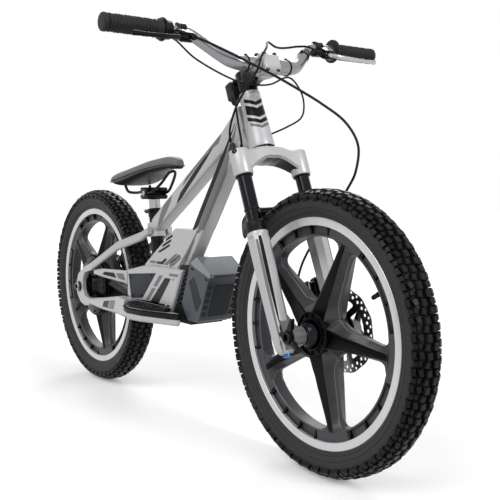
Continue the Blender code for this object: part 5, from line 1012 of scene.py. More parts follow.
def add_leg_painted_reflection(shape, rings, side, first, last, low, high):
    """Lay a pointed painted reflection streak on a leg's cut corner, from one share of its length to another.
    """
    lift = (STEER_FRONT + SIDE * side).normalized() * 0.0006
    count = int((last - first) * (len(rings) - 1)) + 1
    loops = []
    for step in range(count + 1):
        share = step / count
        place = (first + (last - first) * share) * (len(rings) - 1)
        index = min(int(place), len(rings) - 2)
        inner, outer = (rings[index][corner].lerp(rings[index + 1][corner], place - index)
                        for corner in (0, 1))
        swell = sin(pi * min(1.0, share * 1.1 + 0.22)) ** 0.8 if share < 0.72 else (1.0 - share) * 3.0
        pinch = (high - low) * 0.5 * (1.0 - min(1.0, swell))
        near, far = inner.lerp(outer, low + pinch), inner.lerp(outer, high - pinch)
        loops.append([near - lift, near + lift, far + lift, far - lift])
    shape.rings(loops)


class BIKE_OT_fork_lowers(Operator):
    """Make the sliding fork lowers with their legs, seals, arch and axle lugs"""
    bl_idname = "bike.fork_lowers"
    bl_label = "Fork lowers"

    def execute(self, context):
        shape = Shape("paint", "black_plastic", "black_metal", "stripe_black", "stripe_grey")
        for side in SIDES:
            rings = []
            for down, depth, width, front in smooth_values(LEG_STATIONS, 5):
                centre = steer_point(down, side * LEG_Y, LEG_OFFSET + front)
                rings.append(facet_ring(centre, STEER_FRONT, SIDE * side, depth, width, 0.42, 0.62))
            shape.using("paint").rings(rings)
            # Each leg's cut corner carries a black and a grey painted reflection streak.
            for finish, *limits in LEG_PAINTED_REFLECTIONS:
                add_leg_painted_reflection(shape.using(finish), rings, side, *limits)
            outline = [(0.0459 + 0.0175 * cos(radians(-100 + 12.5 * step)),
                        -AXLE_TO_CROWN + 0.0175 * sin(radians(-100 + 12.5 * step))) for step in range(17)]
            outline += mm((18, -329.4), (8, -341.4), (8, -393.4), (22, -401.4))
            shape.slab(outline, side * 0.053, side * (LEG_Y + 0.0088), STEER_FRONT, -STEER_DOWN,
                       SIDE, HEAD_BASE)
        arch = []
        for step in range(25):
            share = -1.0 + 2.0 * step / 24
            lean = 0.335 - 0.055 * share ** 2
            reach = 0.278 - 0.052 * share ** 4
            centre = FRONT_AXLE - STEER_DOWN * (reach * cos(lean)) - STEER_FRONT * (reach * sin(lean))
            centre = centre + SIDE * (LEG_Y * share)
            outward = (centre - FRONT_AXLE - SIDE * centre.y).normalized()
            swell = 1.0 - 0.16 * (1 - share ** 2)
            arch.append(rounded_ring(centre, outward.cross(SIDE), outward, 0.016 * swell, 0.007, 0.004, 2))
        # The arch is black metal as painted shade, for where it sits behind the legs.
        shape.using("black_metal").rings(arch)
        shape.dress("fork_lowers", "fork", "silver_paint", edge=0.0011)
        seals = Shape("black_plastic", "paint")
        for side in SIDES:
            ring = mm((14.3, -153.5), (16, -153.5), (17.6, -156), (18.6, -159), (18.6, -165.5),
                      (17.8, -166.5), (17.8, -169), (18.8, -170), (18.8, -180), (14.3, -180))
            steer_lathe(seals.using("black_plastic"), ring, side * LEG_Y, LEG_OFFSET)
            collar = mm((14.3, -176), (19.6, -176.5), (20, -179), (19.6, -185), (14.3, -185))
            steer_lathe(seals.using("paint"), collar, side * LEG_Y, LEG_OFFSET)
            travel_ring = mm((14.1, -130.2), (14.9, -129.8), (15.3, -131.1), (14.9, -132.4), (14.1, -132))
            steer_lathe(seals.using("black_plastic"), travel_ring, side * LEG_Y, LEG_OFFSET)
        seals.done("fork_seals", "fork", slot="black_plastic")
        make_leg_fittings()
        make_front_caliper()
        return {"FINISHED"}


def make_leg_fittings():
    """Make the claw-shaped axle clamps, the foot bolts with the blue one, and the front axle."""
    shape = Shape("black_metal", "dark_chrome", "accent")
    for side in SIDES:
        face = side * (LEG_Y + 0.0086)
        for turn, reach in ((radians(52.0), 0.034), (radians(-58.0), 0.03), (radians(150.0), 0.024)):
            along = STEER_FRONT * cos(turn) - STEER_DOWN * sin(turn)
            across = STEER_FRONT * -sin(turn) - STEER_DOWN * cos(turn)
            outline = [(0.0095, -0.0066), (reach, -0.0024), (reach + 0.002, 0.0),
                       (reach, 0.0024), (0.0095, 0.0066)]
            shape.using("black_metal").slab(outline, face - side * 0.003, face + side * 0.0052, along,
                                            across, SIDE, FRONT_AXLE)
        foot = steer_point(0.406, side * LEG_Y, LEG_OFFSET + 0.003)
        knob = "accent" if side < 0 else "dark_chrome"
        shape.using(knob).lathe(mm((0, 0), (8, 0), (8, 5), (6.6, 6.6), (0, 6.6)), foot, STEER_DOWN, 24, False)
    shape.done("axle_clamps", "fork", slot="black_metal", edge=0.0006)
    axle = Shape("black_metal", "dark_chrome")
    right = mm((0, 81.5), (11.8, 81.5), (12.2, 80.8), (14, 79.3), (9.8, 79.3), (9.8, -79.3), (14, -79.3),
               (14.3, -80.6), (11.2, -81.2), (11.2, -86.8), (10.4, -87.5), (6.4, -87.5),
               (6, -86.8), (5.8, -80), (0, -80))
    axle.lathe(right, FRONT_AXLE, SIDE, 36, False)
    axle.dress("front_axle", "fork", "black_metal", angle=30.0)


def make_front_caliper():
    """Make the front caliper: a finned body of two halves, their bridges, the mount and the bolts."""
    down, rear_face = 0.293, -0.0052
    centre = steer_point(down, 0.052, rear_face - 0.018)
    shape = Shape("black_metal", "steel", "black_plastic")
    for y, width in ((0.0408, 0.0095), (0.0595, 0.017)):
        place = Vector((centre.x, y, centre.z))
        shape.using("black_metal").block(place, (0.034, width, 0.045), *STEER_AXES, 0.004)
    for level in (-0.0165, 0.0165):
        bridge = centre - STEER_DOWN * level - STEER_FRONT * 0.0125
        shape.block(Vector((bridge.x, 0.05, bridge.z)), (0.009, 0.028, 0.01), *STEER_AXES, 0.002)
        shape.using("steel").bolt(Vector((bridge.x, 0.068, bridge.z)), SIDE, 0.0036, 0.003)
        shape.using("black_metal")
    ear = steer_point(down, LEG_Y - 0.006, rear_face - 0.0098)
    shape.block(ear, (0.0185, 0.0138, 0.0575), *STEER_AXES, 0.003)
    for level in (-0.0235, 0.0235):
        shape.using("steel").bolt(ear - STEER_DOWN * level + SIDE * 0.0068, SIDE, 0.0038, 0.003)
    for index in range(4):
        fin = centre + SIDE * 0.0162 - STEER_DOWN * (-0.009 + index * 0.006)
        shape.using("black_plastic").block(fin, (0.024, 0.003, 0.0022), *STEER_AXES, 0.0006)
    shape.dress("front_caliper", "fork", "black_metal", edge=0.0006)


class BIKE_OT_fork_crown(Operator):
    """Make the crown with its grommet, the stanchions and their caps"""
    bl_idname = "bike.fork_crown"
    bl_label = "Fork crown"

    def execute(self, context):
        shape = Shape("paint", "black_metal")
        rows = mm((0, 6, 26.2, -5.2, -30), (14, 6.6, 25.4, -5.4, -30.2), (28, 9, 22.2, -7.2, -34.5),
                  (42, 11.6, 18.6, -10.6, -43), (55, 13.6, 17, -13.8, -52), (66, 14, 17, -15.6, -57),
                  (73.5, 14, 16, -16.8, -56.2))
        right_half = smooth_values([(-y, *rest) for y, *rest in reversed(rows)], 4)
        left_half = [(-y, *rest) for y, *rest in reversed(right_half[:-1])]
        rings = []
        for y, middle, half, top, bottom in right_half + left_half:
            centre = steer_point(-(top + bottom) / 2, y, middle)
            rings.append(facet_ring(centre, STEER_FRONT, -STEER_DOWN, half, (top - bottom) / 2, 0.26, 0.3))
        # The crown's two lower facets are black metal, painted shade under the crown.
        shape.rings(rings, sides={4: "black_metal", 5: "black_metal"})
        race = mm((0, -4.6), (23.8, -4.6), (24.6, -5.4), (24.6, -10), (23, -14), (0, -14))
        steer_lathe(shape, race, closed=False)
        steer_lathe(shape, mm((0, 165.5), (14, 165.5), (14, -5), (0, -5)), closed=False)
        for side in SIDES:
            sleeve = mm((14.2, -12), (17.2, -12), (18.6, -12.8), (19, -14.5), (19, -60.5), (18.4, -62.2),
                        (17.2, -63), (14.2, -63))
            steer_lathe(shape, sleeve, side * LEG_Y, LEG_OFFSET)
        shape.dress("fork_crown", "steering", "silver_paint", edge=0.0014)
        for side, label in ((-1.0, "right"), (1.0, "left")):
            leg = Shape("black_chrome", "black_metal", "black_plastic")
            tube = mm((0, -11), (12.6, -11), (14, -12.2), (14, -270.8), (12.8, -272), (0, -272))
            steer_lathe(leg, tube, side * LEG_Y, LEG_OFFSET, closed=False)
            cap = mm((0, -9.2), (5.2, -9.2), (5.8, -10), (9.5, -10.1), (10.8, -10.8),
                     (11.2, -12.5), (0, -12.5))
            steer_lathe(leg.using("black_metal"), cap, side * LEG_Y, LEG_OFFSET, 32, False)
            wiper = mm((14.1, -62.8), (16.8, -62.8), (17.2, -64), (16.6, -65.4), (14.1, -65.4))
            steer_lathe(leg.using("black_plastic"), wiper, side * LEG_Y, LEG_OFFSET)
            leg.dress("stanchion_" + label, "steering", "chrome")
        fittings = Shape("black_plastic")
        spot = steer_point(0.017, -LEG_Y - 0.015, LEG_OFFSET + 0.0085)
        outward = (-SIDE * 0.8 + STEER_FRONT * 0.6).normalized()
        fittings.lathe(mm((0, -2), (5.2, -2), (5.6, 1.2), (4, 3), (2.2, 3), (0, 1)), spot, outward, 24, False)
        fittings.done("crown_grommet", "steering", slot="black_plastic")
        return {"FINISHED"}


# Cockpit

class BIKE_OT_stem(Operator):
    """Make the spacers, the stem, its faceplate and the clamp bolts"""
    bl_idname = "bike.stem"
    bl_label = "Stem"

    def execute(self, context):
        spacers = Shape("black_metal")
        stack = mm((14.7, 119.3), (19.8, 119.3), (20, 119.8), (19.4, 120.6), (19.4, 121.2), (18.8, 121.6),
                   (18.6, 121.9), (14.7, 121.9))
        steer_lathe(spacers, stack)
        spacers.dress("headset_spacers", "steering", "black_metal")
        shape = Shape("paint", "black_metal")
        low, high = STEM_HEIGHT - 0.0205, STEM_HEIGHT + 0.0205
        sleeve = [(0.0, high + 0.003), (0.0125, high + 0.0035), (0.0165, high + 0.003), (0.019, high + 0.001),
                  (0.0195, high - 0.0008), (0.0195, low + 0.001), (0.0188, low), (0.0, low)]
        steer_lathe(shape.using("black_metal"), sleeve, closed=False)
        start = steer_point(-STEM_HEIGHT, 0.0, 0.008)
        end = BAR_CENTRE - STEER_FRONT * 0.01
        rows = [(0.0, 0.0165, 0.0175), (0.3, 0.0142, 0.0158), (0.62, 0.0142, 0.015), (0.88, 0.019, 0.018),
                (1.0, 0.02, 0.019)]
        rings = [rounded_ring(start.lerp(end, share), SIDE, -STEER_DOWN, half, tall, 0.007, 4)
                 for share, half, tall in smooth_values(rows, 4)]
        rings.append(rounded_ring(BAR_CENTRE - STEER_FRONT * 0.0006, SIDE, -STEER_DOWN,
                                  0.02, 0.0213, 0.005, 4))
        split = len(rings) - 6
        shape.rings(rings[:split + 1], caps=False)
        shape.using("paint").rings(rings[split:])
        for y in (-0.0125, 0.0125):
            top = BAR_CENTRE - STEER_FRONT * 0.006 - STEER_DOWN * 0.0195 + SIDE * y
            screw = mm((0, 0), (3, 0), (3, 3.5), (4.4, 4.2), (4.4, 8), (3.6, 8.8), (0, 8.8))
            shape.using("black_metal").lathe(screw, top, -STEER_DOWN, 20, False)
        for level in (-0.0125, 0.0125):
            side_bolt = steer_point(-STEM_HEIGHT - level, -0.002, -0.0175)
            shape.using("black_metal").block(side_bolt, (0.01, 0.026, 0.0115), *STEER_AXES, 0.003)
            shape.bolt(side_bolt - SIDE * 0.0128, -SIDE, 0.004, 0.003)
        shape.dress("stem", "steering", "silver_paint", edge=0.0006)
        plate = Shape("paint", "black_metal")
        rows = mm((0.6, 20, 21.3), (8, 20, 21), (14, 20, 19.2), (18.5, 19.6, 15), (20.7, 17.8, 10.5))
        plate.rings([rounded_ring(BAR_CENTRE + STEER_FRONT * reach, SIDE, -STEER_DOWN, half, tall, 0.0045, 3)
                     for reach, half, tall in rows])
        for y in (-0.0125, 0.0125):
            for level in (-0.0166, 0.0166):
                seat = BAR_CENTRE + STEER_FRONT * 0.0128 - STEER_DOWN * level + SIDE * y
                plate.using("paint").lathe(mm((0, -4), (5.2, -4), (5.2, 2.2), (4.6, 2.8), (0, 2.8)),
                                           seat, STEER_FRONT, 20, False)
                plate.using("black_metal").bolt(seat + STEER_FRONT * 0.0026, STEER_FRONT, 0.004, 0.0034)
        plate.dress("stem_faceplate", "steering", "silver_paint", edge=0.0006)
        return {"FINISHED"}


def bar_lathe(shape, profile, side, steps=48, closed=True):
    """Turn a profile about the grip line, with heights outward from the bike's middle."""
    return shape.lathe(profile, GRIP_LINE, SIDE * side, steps, closed)


def bar_points():
    """Give the bar's centre line and radius from its right end to its left end."""
    rows = [(0.0, 0.0, 0.0, 0.0155), (0.03, 0.0, 0.0, 0.0155), (0.055, 0.04, 0.01, 0.0145),
            (0.078, 0.2, 0.08, 0.0128), (0.096, 0.4, 0.26, 0.0111), (0.114, 0.64, 0.53, 0.0111),
            (0.132, 0.85, 0.79, 0.0111), (0.145, 0.97, 0.95, 0.0111), (0.156, 1.0, 1.0, 0.0111)]
    half = smooth_values(rows, 4) + [(0.2, 1.0, 1.0, 0.0111), (0.26, 1.0, 1.0, 0.0111),
                                     (0.3218, 1.0, 1.0, 0.0111)]
    left = [(BAR_CENTRE + Vector((-0.046 * back, y, 0.0545 * rise)), radius)
            for y, back, rise, radius in half]
    right = [(Vector((point.x, -point.y, point.z)), radius) for point, radius in reversed(left[1:])]
    return right + left


class BIKE_OT_handlebar(Operator):
    """Make the riser bar and the ties that hold the cables to it"""
    bl_idname = "bike.handlebar"
    bl_label = "Handlebar"

    def execute(self, context):
        line = bar_points()
        shape = Shape("bar_silver")
        shape.sweep([point for point, _ in line], [radius for _, radius in line], 40, up=UP)
        shape.dress("handlebar", "steering", "silver_paint", angle=50.0)
        ties = Shape("black_plastic")
        for y, radius in mm((-47, 16.3), (52, 16.1), (120, 12.4)):
            near = min(line, key=lambda entry: abs(entry[0].y - y))[0]
            after = min(line, key=lambda entry: abs(entry[0].y - y - 0.006))[0]
            axis = (after - near).normalized()
            ties.lathe([(radius - 0.0012, -0.0013), (radius, -0.0013), (radius, 0.0013),
                        (radius - 0.0012, 0.0013)], near, axis, 40)
            ties.block(near + axis_frame(axis)[0] * (radius + 0.0008), (0.0042, 0.0048, 0.003),
                       SIDE, AHEAD, UP, 0.0006)
        ties.done("cable_ties", "steering", slot="black_plastic")
        return {"FINISHED"}


def add_grip(shape, side, ribs, flange, pitch_start):
    """Add one ribbed grip with its end cap and inner flange."""
    end = 0.3223
    profile = [(0.0, end + 0.0024), (0.0118, end + 0.0024), (0.0146, end + 0.0022), (0.0164, end + 0.0008),
               (0.0168, end - 0.001), (0.0168, end - 0.0052), (0.016, end - 0.0062)]
    start = pitch_start
    pitch = (end - 0.0085 - (start + 0.01)) / ribs
    for index in range(ribs):
        high = end - 0.0085 - index * pitch
        crown = 0.0158 + 0.0006 * sin(pi * (index + 0.5) / ribs)
        profile += [(crown - 0.0013, high), (crown, high - pitch * 0.16), (crown, high - pitch * 0.62),
                    (crown - 0.0013, high - pitch * 0.78)]
    profile += [(0.015, start + 0.0085), (flange - 0.0012, start + 0.0052), (flange, start + 0.0042),
                (flange, start + 0.0008), (flange - 0.0008, start), (0.0114, start),
                (0.0114, end - 0.0006), (0.0, end - 0.0006)]
    bar_lathe(shape, profile, side, 56, False)
    for index in range(ribs):
        if index % 3 == 1:
            continue
        high = end - 0.0085 - (index + 0.39) * pitch
        for step in range(14):
            turn = tau * (step + 0.5 * (index % 2)) / 14
            out = AHEAD * cos(turn) + UP * sin(turn)
            along = UP * cos(turn) - AHEAD * sin(turn)
            shape.block(GRIP_LINE + SIDE * side * high + out * 0.0161, (0.0042, pitch * 0.4, 0.0011),
                        along, SIDE, out, 0.0003)


class BIKE_OT_grips(Operator):
    """Make the twist throttle with its housing and the left grip"""
    bl_idname = "bike.grips"
    bl_label = "Grips"

    def execute(self, context):
        ribs = context.scene.bike_sizes.grip_ribs
        throttle = Shape("grip_rubber")
        add_grip(throttle, -1.0, ribs, 0.019, 0.2068)
        throttle.dress("throttle_grip", "throttle", "grip")
        left = Shape("grip_rubber")
        add_grip(left, 1.0, ribs, 0.0243, 0.2068)
        left.dress("left_grip", "steering", "grip")
        housing = Shape("black_plastic", "steel")
        profile = mm((11.3, 205.8), (20.8, 205.8), (21.5, 205.2), (21.5, 202.6), (21, 202), (18.6, 201),
                     (18, 199), (17.2, 190), (16.8, 188.2), (16, 187.5), (11.3, 187.5))
        bar_lathe(housing, profile, -1.0)
        spur = GRIP_LINE - SIDE * 0.1955 - AHEAD * 0.012 - UP * 0.0085
        housing.block(spur, (0.013, 0.0125, 0.013), corner=0.003)
        for turn in (0.7, 2.4):
            out = AHEAD * cos(turn) + UP * sin(turn)
            housing.using("steel").bolt(GRIP_LINE - SIDE * 0.1955 + out * 0.0166, out, 0.0022, 0.0016)
        housing.dress("throttle_housing", "steering", "black_plastic", edge=0.0004)
        return {"FINISHED"}


def make_lever_set(label, side, blade_finish):
    """Make one lever mount with its clamp and adjuster, and the curved blade that pivots in it."""
    pivot = GRIP_LINE + LEVER_FRONT * 0.032 + SIDE * (side * 0.178)
    shape = Shape("black_metal", "black_plastic", "steel")
    ring = mm((11.3, 173.5), (15, 174), (16, 173.2), (16, 158.8), (15, 158), (11.3, 158.5))
    bar_lathe(shape, ring, side)
    for level in (-1.0, 1.0):
        cheek = GRIP_LINE + LEVER_FRONT * 0.0265 + SIDE * (side * 0.1715) + LEVER_UP * (level * 0.0073)
        shape.block(cheek, (0.027, 0.0265, 0.0042), *LEVER_AXES, 0.0035)
        cap = pivot + LEVER_UP * (level * 0.0092)
        shape.using("steel").bolt(cap, LEVER_UP * level, 0.0042, 0.0016, level > 0)
        shape.using("black_metal")
    back = GRIP_LINE + LEVER_FRONT * 0.022 + SIDE * (side * 0.164)
    shape.block(back, (0.017, 0.012, 0.018), *LEVER_AXES, 0.003)
    nose = GRIP_LINE + LEVER_FRONT * 0.03
    barrel = mm((0, 146), (3.6, 146), (4.2, 147), (4.2, 149), (5.6, 149.8), (5.8, 156),
                (5, 157.2), (4.6, 160), (0, 160))
    shape.using("black_plastic").lathe(barrel, nose, SIDE * side, 24, False)
    for step in range(10):
        turn = tau * step / 10
        out = AHEAD * cos(turn) + UP * sin(turn)
        along = UP * cos(turn) - AHEAD * sin(turn)
        spot = nose + SIDE * side * 0.1528 + out * 0.0058
        shape.block(spot, (0.0009, 0.0052, 0.0008), along, SIDE, out, 0.0002)
    clamp = GRIP_LINE - LEVER_FRONT * 0.0172 + SIDE * (side * 0.166)
    shape.using("black_metal").block(clamp, (0.006, 0.012, 0.013), *LEVER_AXES, 0.002)
    shape.using("steel").bolt(clamp + LEVER_UP * 0.0062, LEVER_UP, 0.003, 0.002)
    shape.dress("lever_mount_" + label, "steering", "black_metal", edge=0.0005)
    blade = Shape(blade_finish, "steel")
    hub = mm((0, -4.3), (7, -4.3), (7.5, -3.8), (7.5, 3.8), (7, 4.3), (0, 4.3))
    blade.lathe(hub, pivot, LEVER_UP, 32, False)
    rows = mm((0, 0, 4.6), (12, 14, 4.5), (18, 40, 4.3), (20.5, 70, 3.9), (21.7, 90, 3.9), (22, 103, 4.7),
              (21.9, 108.5, 5.2), (21.8, 111.2, 4.6), (21.8, 112.4, 2.6))
    values = smooth_values(rows, 4)
    points = [pivot + LEVER_FRONT * front + SIDE * (side * out) for front, out, _ in values]
    blade.sweep(points, [width for _, _, width in values], 20, flat=0.66, up=LEVER_FRONT)
    blade.dress("brake_lever_" + label, label + "_lever", blade_finish, angle=50.0)


class BIKE_OT_levers(Operator):
    """Make both brake levers and the mounts that carry them"""
    bl_idname = "bike.levers"
    bl_label = "Brake levers"

    def execute(self, context):
        make_lever_set("right", -1.0, "black_metal")
        make_lever_set("left", 1.0, "steel")
        return {"FINISHED"}


class BIKE_OT_display(Operator):
    """Make the control unit behind the stem with its keys, cable outlet and power button"""
    bl_idname = "bike.display"
    bl_label = "Control unit"

    def execute(self, context):
        centre = steer_point(-STEM_HEIGHT + 0.004, -0.01, -0.0315)
        shape = Shape("slate", "black_plastic")
        shape.block(centre, (0.0216, 0.0296, 0.0396), *STEER_AXES, 0.004)
        face = centre - STEER_FRONT * 0.0108
        lip = mm((6, -0.4), (7.8, -0.4), (8, 0.6), (7.4, 1.2), (6.2, 1.2))
        shape.using("black_plastic").lathe(lip, face, -STEER_FRONT, 32)
        for index, level in enumerate((-0.0125, 0.0125)):
            key = face - STEER_DOWN * level + SIDE * (0.004 - 0.008 * index)
            shape.block(key, (0.0085, 0.0046, 0.0016), SIDE, -STEER_DOWN, -STEER_FRONT, 0.0012)
        gland = centre + STEER_DOWN * 0.02 - SIDE * 0.008
        shape.lathe(mm((0, -1), (4.8, -1), (4.8, 4), (3.6, 8), (2.2, 9.5), (0, 9.5)), gland,
                    STEER_DOWN, 24, False)
        shape.dress("display", "steering", "slate_plastic", edge=0.0006)
        button = Shape("black_plastic")
        top = mm((0, 2), (3, 2.2), (5.2, 2.5), (5.8, 1.8), (5.8, -1.8), (0, -1.8))
        button.lathe(top, centre - STEER_FRONT * 0.011, -STEER_FRONT, 32, False)
        button.dress("power_button", "button", "black_plastic")
        return {"FINISHED"}


LEVER_PORT = GRIP_LINE + LEVER_FRONT * 0.03
CABLES = {
    "front_brake_cable": (0.0025, "fork", (0.315, 0.107, 0.42), (0.33, 0.056, 0.33),
                          [LEVER_PORT - SIDE * 0.1575, LEVER_PORT - SIDE * 0.145, (0.302, -0.0907, 0.775),
                           (0.322, -0.0445, 0.752), (0.328, 0.004, 0.733), (0.342, 0.045, 0.711),
                           (0.378, 0.07, 0.683), (0.421, 0.09, 0.647), (0.446, 0.1, 0.603),
                           (0.438, 0.103, 0.556), (0.412, 0.107, 0.523), (0.365, 0.11, 0.476),
                           (0.315, 0.107, 0.42), (0.296, 0.092, 0.375),
                           (0.306, 0.07, 0.341), (0.33, 0.056, 0.33)]),
    "rear_brake_cable": (0.0022, "frame", (0.3, -0.004, 0.792), (0.209, -0.0275, 0.617),
                         [LEVER_PORT + SIDE * 0.1575, LEVER_PORT + SIDE * 0.15, (0.268, 0.13, 0.812),
                          (0.254, 0.11, 0.813), (0.245, 0.085, 0.809), (0.247, 0.06, 0.808),
                          (0.26, 0.03, 0.813), (0.3, -0.004, 0.792), (0.317, -0.029, 0.77),
                          (0.315, -0.037, 0.745), (0.292, -0.043, 0.718), (0.264, -0.045, 0.69),
                          (0.244, -0.0435, 0.667), (0.222, -0.037, 0.64), (0.209, -0.0275, 0.617)]),
    "throttle_cable": (0.0018, "frame", (0.306, 0.075, 0.717), (0.236, 0.0265, 0.622),
                       [(0.233, -0.187, 0.806), (0.233, -0.165, 0.8), (0.24, -0.125, 0.768),
                        (0.275, -0.07, 0.732), (0.28, -0.02, 0.724), (0.282, 0.02, 0.727),
                        (0.293, 0.056, 0.742), (0.306, 0.075, 0.717), (0.312, 0.08, 0.688),
                        (0.315, 0.07, 0.661), (0.292, 0.052, 0.644), (0.258, 0.034, 0.63),
                        (0.236, 0.0265, 0.622)]),
    "harness_cable": (0.0022, "frame", (0.224, -0.027, 0.71), (0.248, -0.0273, 0.601), [
        (0.222, -0.0265, 0.716), (0.232, -0.0295, 0.69), (0.246, -0.033, 0.65), (0.25, -0.0288, 0.617),
        (0.248, -0.0273, 0.601)]),
}


class BIKE_OT_cables(Operator):
    """Make the four cables along their routes between the steering and what they run to"""
    bl_idname = "bike.cables"
    bl_label = "Cables"

    def execute(self, context):
        for name, (radius, far_body, start, end, route) in CABLES.items():
            points = smooth_route(route, 0.006)
            shape = Shape("black_plastic")
            shape.sweep(points, radius, 14)
            ferrule = radius + 0.0011
            for tip, inner in ((points[0], points[2]), (points[-1], points[-3])):
                axis = (inner - tip).normalized()
                shape.using("black_metal" if radius > 0.002 else "black_plastic")
                shape.lathe([(0.0, 0.0), (ferrule, 0.0), (ferrule, 0.008), (radius, 0.0095), (0.0, 0.0095)],
                            tip, axis, 20, False)
            cable = shape.done(name + "_dressed", None, (), "black_plastic", angle=60.0)
            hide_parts(name)
            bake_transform(cable)
        return {"FINISHED"}


# Saddle

SADDLE_SECTIONS = mm(
    (0, 52, 30, 30), (12, 64, 32, 38), (34, 63.5, 35.5, 46), (60, 61, 40, 45.5), (85, 55.5, 46, 44),
    (110, 46.5, 53, 42), (135, 37, 60, 40), (170, 27.5, 65.5, 39), (205, 22.5, 69, 38),
    (232, 18.5, 68, 35), (247.5, 12, 65.5, 27))


class BIKE_OT_saddle(Operator):
    """Make the padded saddle with its seam, base shell and nose"""
    bl_idname = "bike.saddle"
    bl_label = "Saddle"

    def execute(self, context):
        rail_height = seat_point(0.172, 0.0, 0.0).z + 0.002
        base = rail_height + 0.006
        tail = -0.283
        rows = smooth_values(SADDLE_SECTIONS, 5)
        count = 40
        cover = Shape("vinyl", "black_plastic")
        loops = []
        for along, half, lift, tall in rows:
            end_share = min(1.0, along / 0.02, (0.2475 - along) / 0.02)
            pinch = 0.86 + 0.14 * sqrt(max(0.0, min(1.0, end_share)))
            loop = []
            for step in range(count):
                angle = tau * step / count
                wide, high = cos(angle), sin(angle)
                wide = copysign(abs(wide) ** 0.72, wide) * half * pinch
                high = copysign(abs(high) ** 0.86, high) * tall / 2
                if high < 0.0:
                    high *= 0.6
                    wide *= 0.93
                channel = 0.003 * exp(-(wide / 0.01) ** 2) * (0.3 if along > 0.2 else 1.0)
                if high > 0.0:
                    high -= channel * min(1.0, along / 0.05)
                loop.append(Vector((tail + along, wide, base + lift - 0.01 + high)))
            loops.append(loop)
        first = [point.lerp(Vector((tail - 0.0015, 0.0, base + 0.02)), 0.5) for point in loops[0]]
        last = [point.lerp(Vector((tail + 0.2487, 0.0, base + 0.0545)), 0.5) for point in loops[-1]]
        cover.rings([first] + loops + [last], sides={index: "black_plastic" for index in range(22, 38)})
        saddle = cover.dress("saddle", "seat", "vinyl", angle=60.0)
        soft = saddle.modifiers.new("soft", "SUBSURF")
        soft.levels = 1
        soft.render_levels = 1
        seam = Shape("black_plastic")
        left = [Vector((tail + along, half * 0.985, base + lift - 0.0115))
                for along, half, lift, _ in rows[2:]]
        right = [Vector((point.x, -point.y, point.z)) for point in reversed(left)]
        nose = Vector((tail + 0.2496, 0.0, base + 0.0535))
        stern = Vector((tail - 0.002, 0.0, base + 0.0185))
        loop = [stern] + left + [nose] + right + [stern]
        seam.sweep(smooth_route(loop, 0.005), 0.0009, 8)
        seam.done("saddle_seam", "seat", slot="vinyl", angle=60.0)
        return {"FINISHED"}


class BIKE_OT_seat_post(Operator):
    """Make the post, its head clamp, the saddle rails, the clamp ring and its lever"""
    bl_idname = "bike.seat_post"
    bl_label = "Seat post"

    def execute(self, context):
        post = Shape("chrome", "black_metal", "steel")
        profile = mm((0, 160), (12.8, 160), (13.5, 159.2), (13.5, 30.6), (12.8, 30), (0, 30))
        post.lathe(profile, SEAT_BASE, SEAT_UP, 56, False)
        head = seat_point(0.172, 0.0, 0.0)
        post.using("black_metal").block(head - UP * 0.0085, (0.04, 0.056, 0.012), corner=0.0035)
        post.block(head + UP * 0.0085, (0.036, 0.058, 0.011), corner=0.0035)
        post.lathe(mm((0, 157.5), (15.2, 157.5), (16.5, 159.5), (16.5, 166), (0, 166)),
                   SEAT_BASE, SEAT_UP, 40, False)
        post.lathe(mm((0, -27), (9.5, -27), (10, -26.2), (10, 26.2), (9.5, 27), (0, 27)), head,
                   SIDE, 32, False)
        for side in SIDES:
            post.using("steel").bolt(head + SIDE * side * 0.027, SIDE * side, 0.0062, 0.003)
        post.dress("seat_post", "seat", "chrome", edge=0.0006)
        rail_height = head.z + 0.002
        half = 0.022
        route = [(head.x - 0.084, half + 0.012, rail_height + 0.0166),
                 (head.x - 0.072, half + 0.01, rail_height + 0.002),
                 (head.x - 0.05, half + 0.003, rail_height - 0.001), (head.x - 0.026, half, rail_height),
                 (head.x + 0.026, half, rail_height), (head.x + 0.062, half * 0.7, rail_height + 0.02),
                 (head.x + 0.09, half * 0.35, rail_height + 0.0458)]
        route = route + [(x, -y, z) for x, y, z in reversed(route)]
        rails = Shape("black_metal")
        rails.sweep(smooth_route(route, 0.004), 0.0034, 16)
        rails.dress("saddle_rails", "seat", "steel", angle=60.0)
        low = 0.1243
        ring = Shape("black_metal", "steel")
        profile = [(0.0139, low + 0.01), (0.0178, low + 0.01), (0.0185, low + 0.0092), (0.0185, low + 0.0008),
                   (0.0178, low), (0.0139, low)]
        ring.lathe(profile, SEAT_BASE, SEAT_UP, 56)
        middle = low + 0.005
        for y in (-0.005, 0.005):
            ring.block(seat_point(middle, -0.0205, y), (0.0095, 0.0072, 0.0094),
                       SEAT_AHEAD, SIDE, SEAT_UP, 0.0022)
        ring.using("steel").bolt(seat_point(middle, -0.0205, 0.0088), SIDE, 0.0036, 0.003)
        ring.dress("seat_clamp", "frame", "black_metal", edge=0.0003)
        lever = Shape("black_metal")
        pivot = seat_point(middle, -0.0205, -0.0125)
        lever.lathe(mm((0, -4.5), (3, -4.5), (3.4, -4), (3.4, 4), (3, 4.5), (0, 4.5)),
                    pivot, SEAT_UP, 28, False)
        rows = mm((0, 0, 3), (12, -11, 3.1), (24, -12.5, 3.1), (36, -12.7, 3.4),
                  (41.5, -12.6, 3.6), (42.8, -12.5, 2.2))
        values = smooth_values(rows, 5)
        points = [pivot + SEAT_AHEAD * front + SIDE * out for front, out, _ in values]
        lever.sweep(points, [width for _, _, width in values], 18, flat=0.72, up=SIDE)
        lever.dress("seat_clamp_lever", "clamp_lever", "black_metal", angle=50.0)
        return {"FINISHED"}


# Frame skins

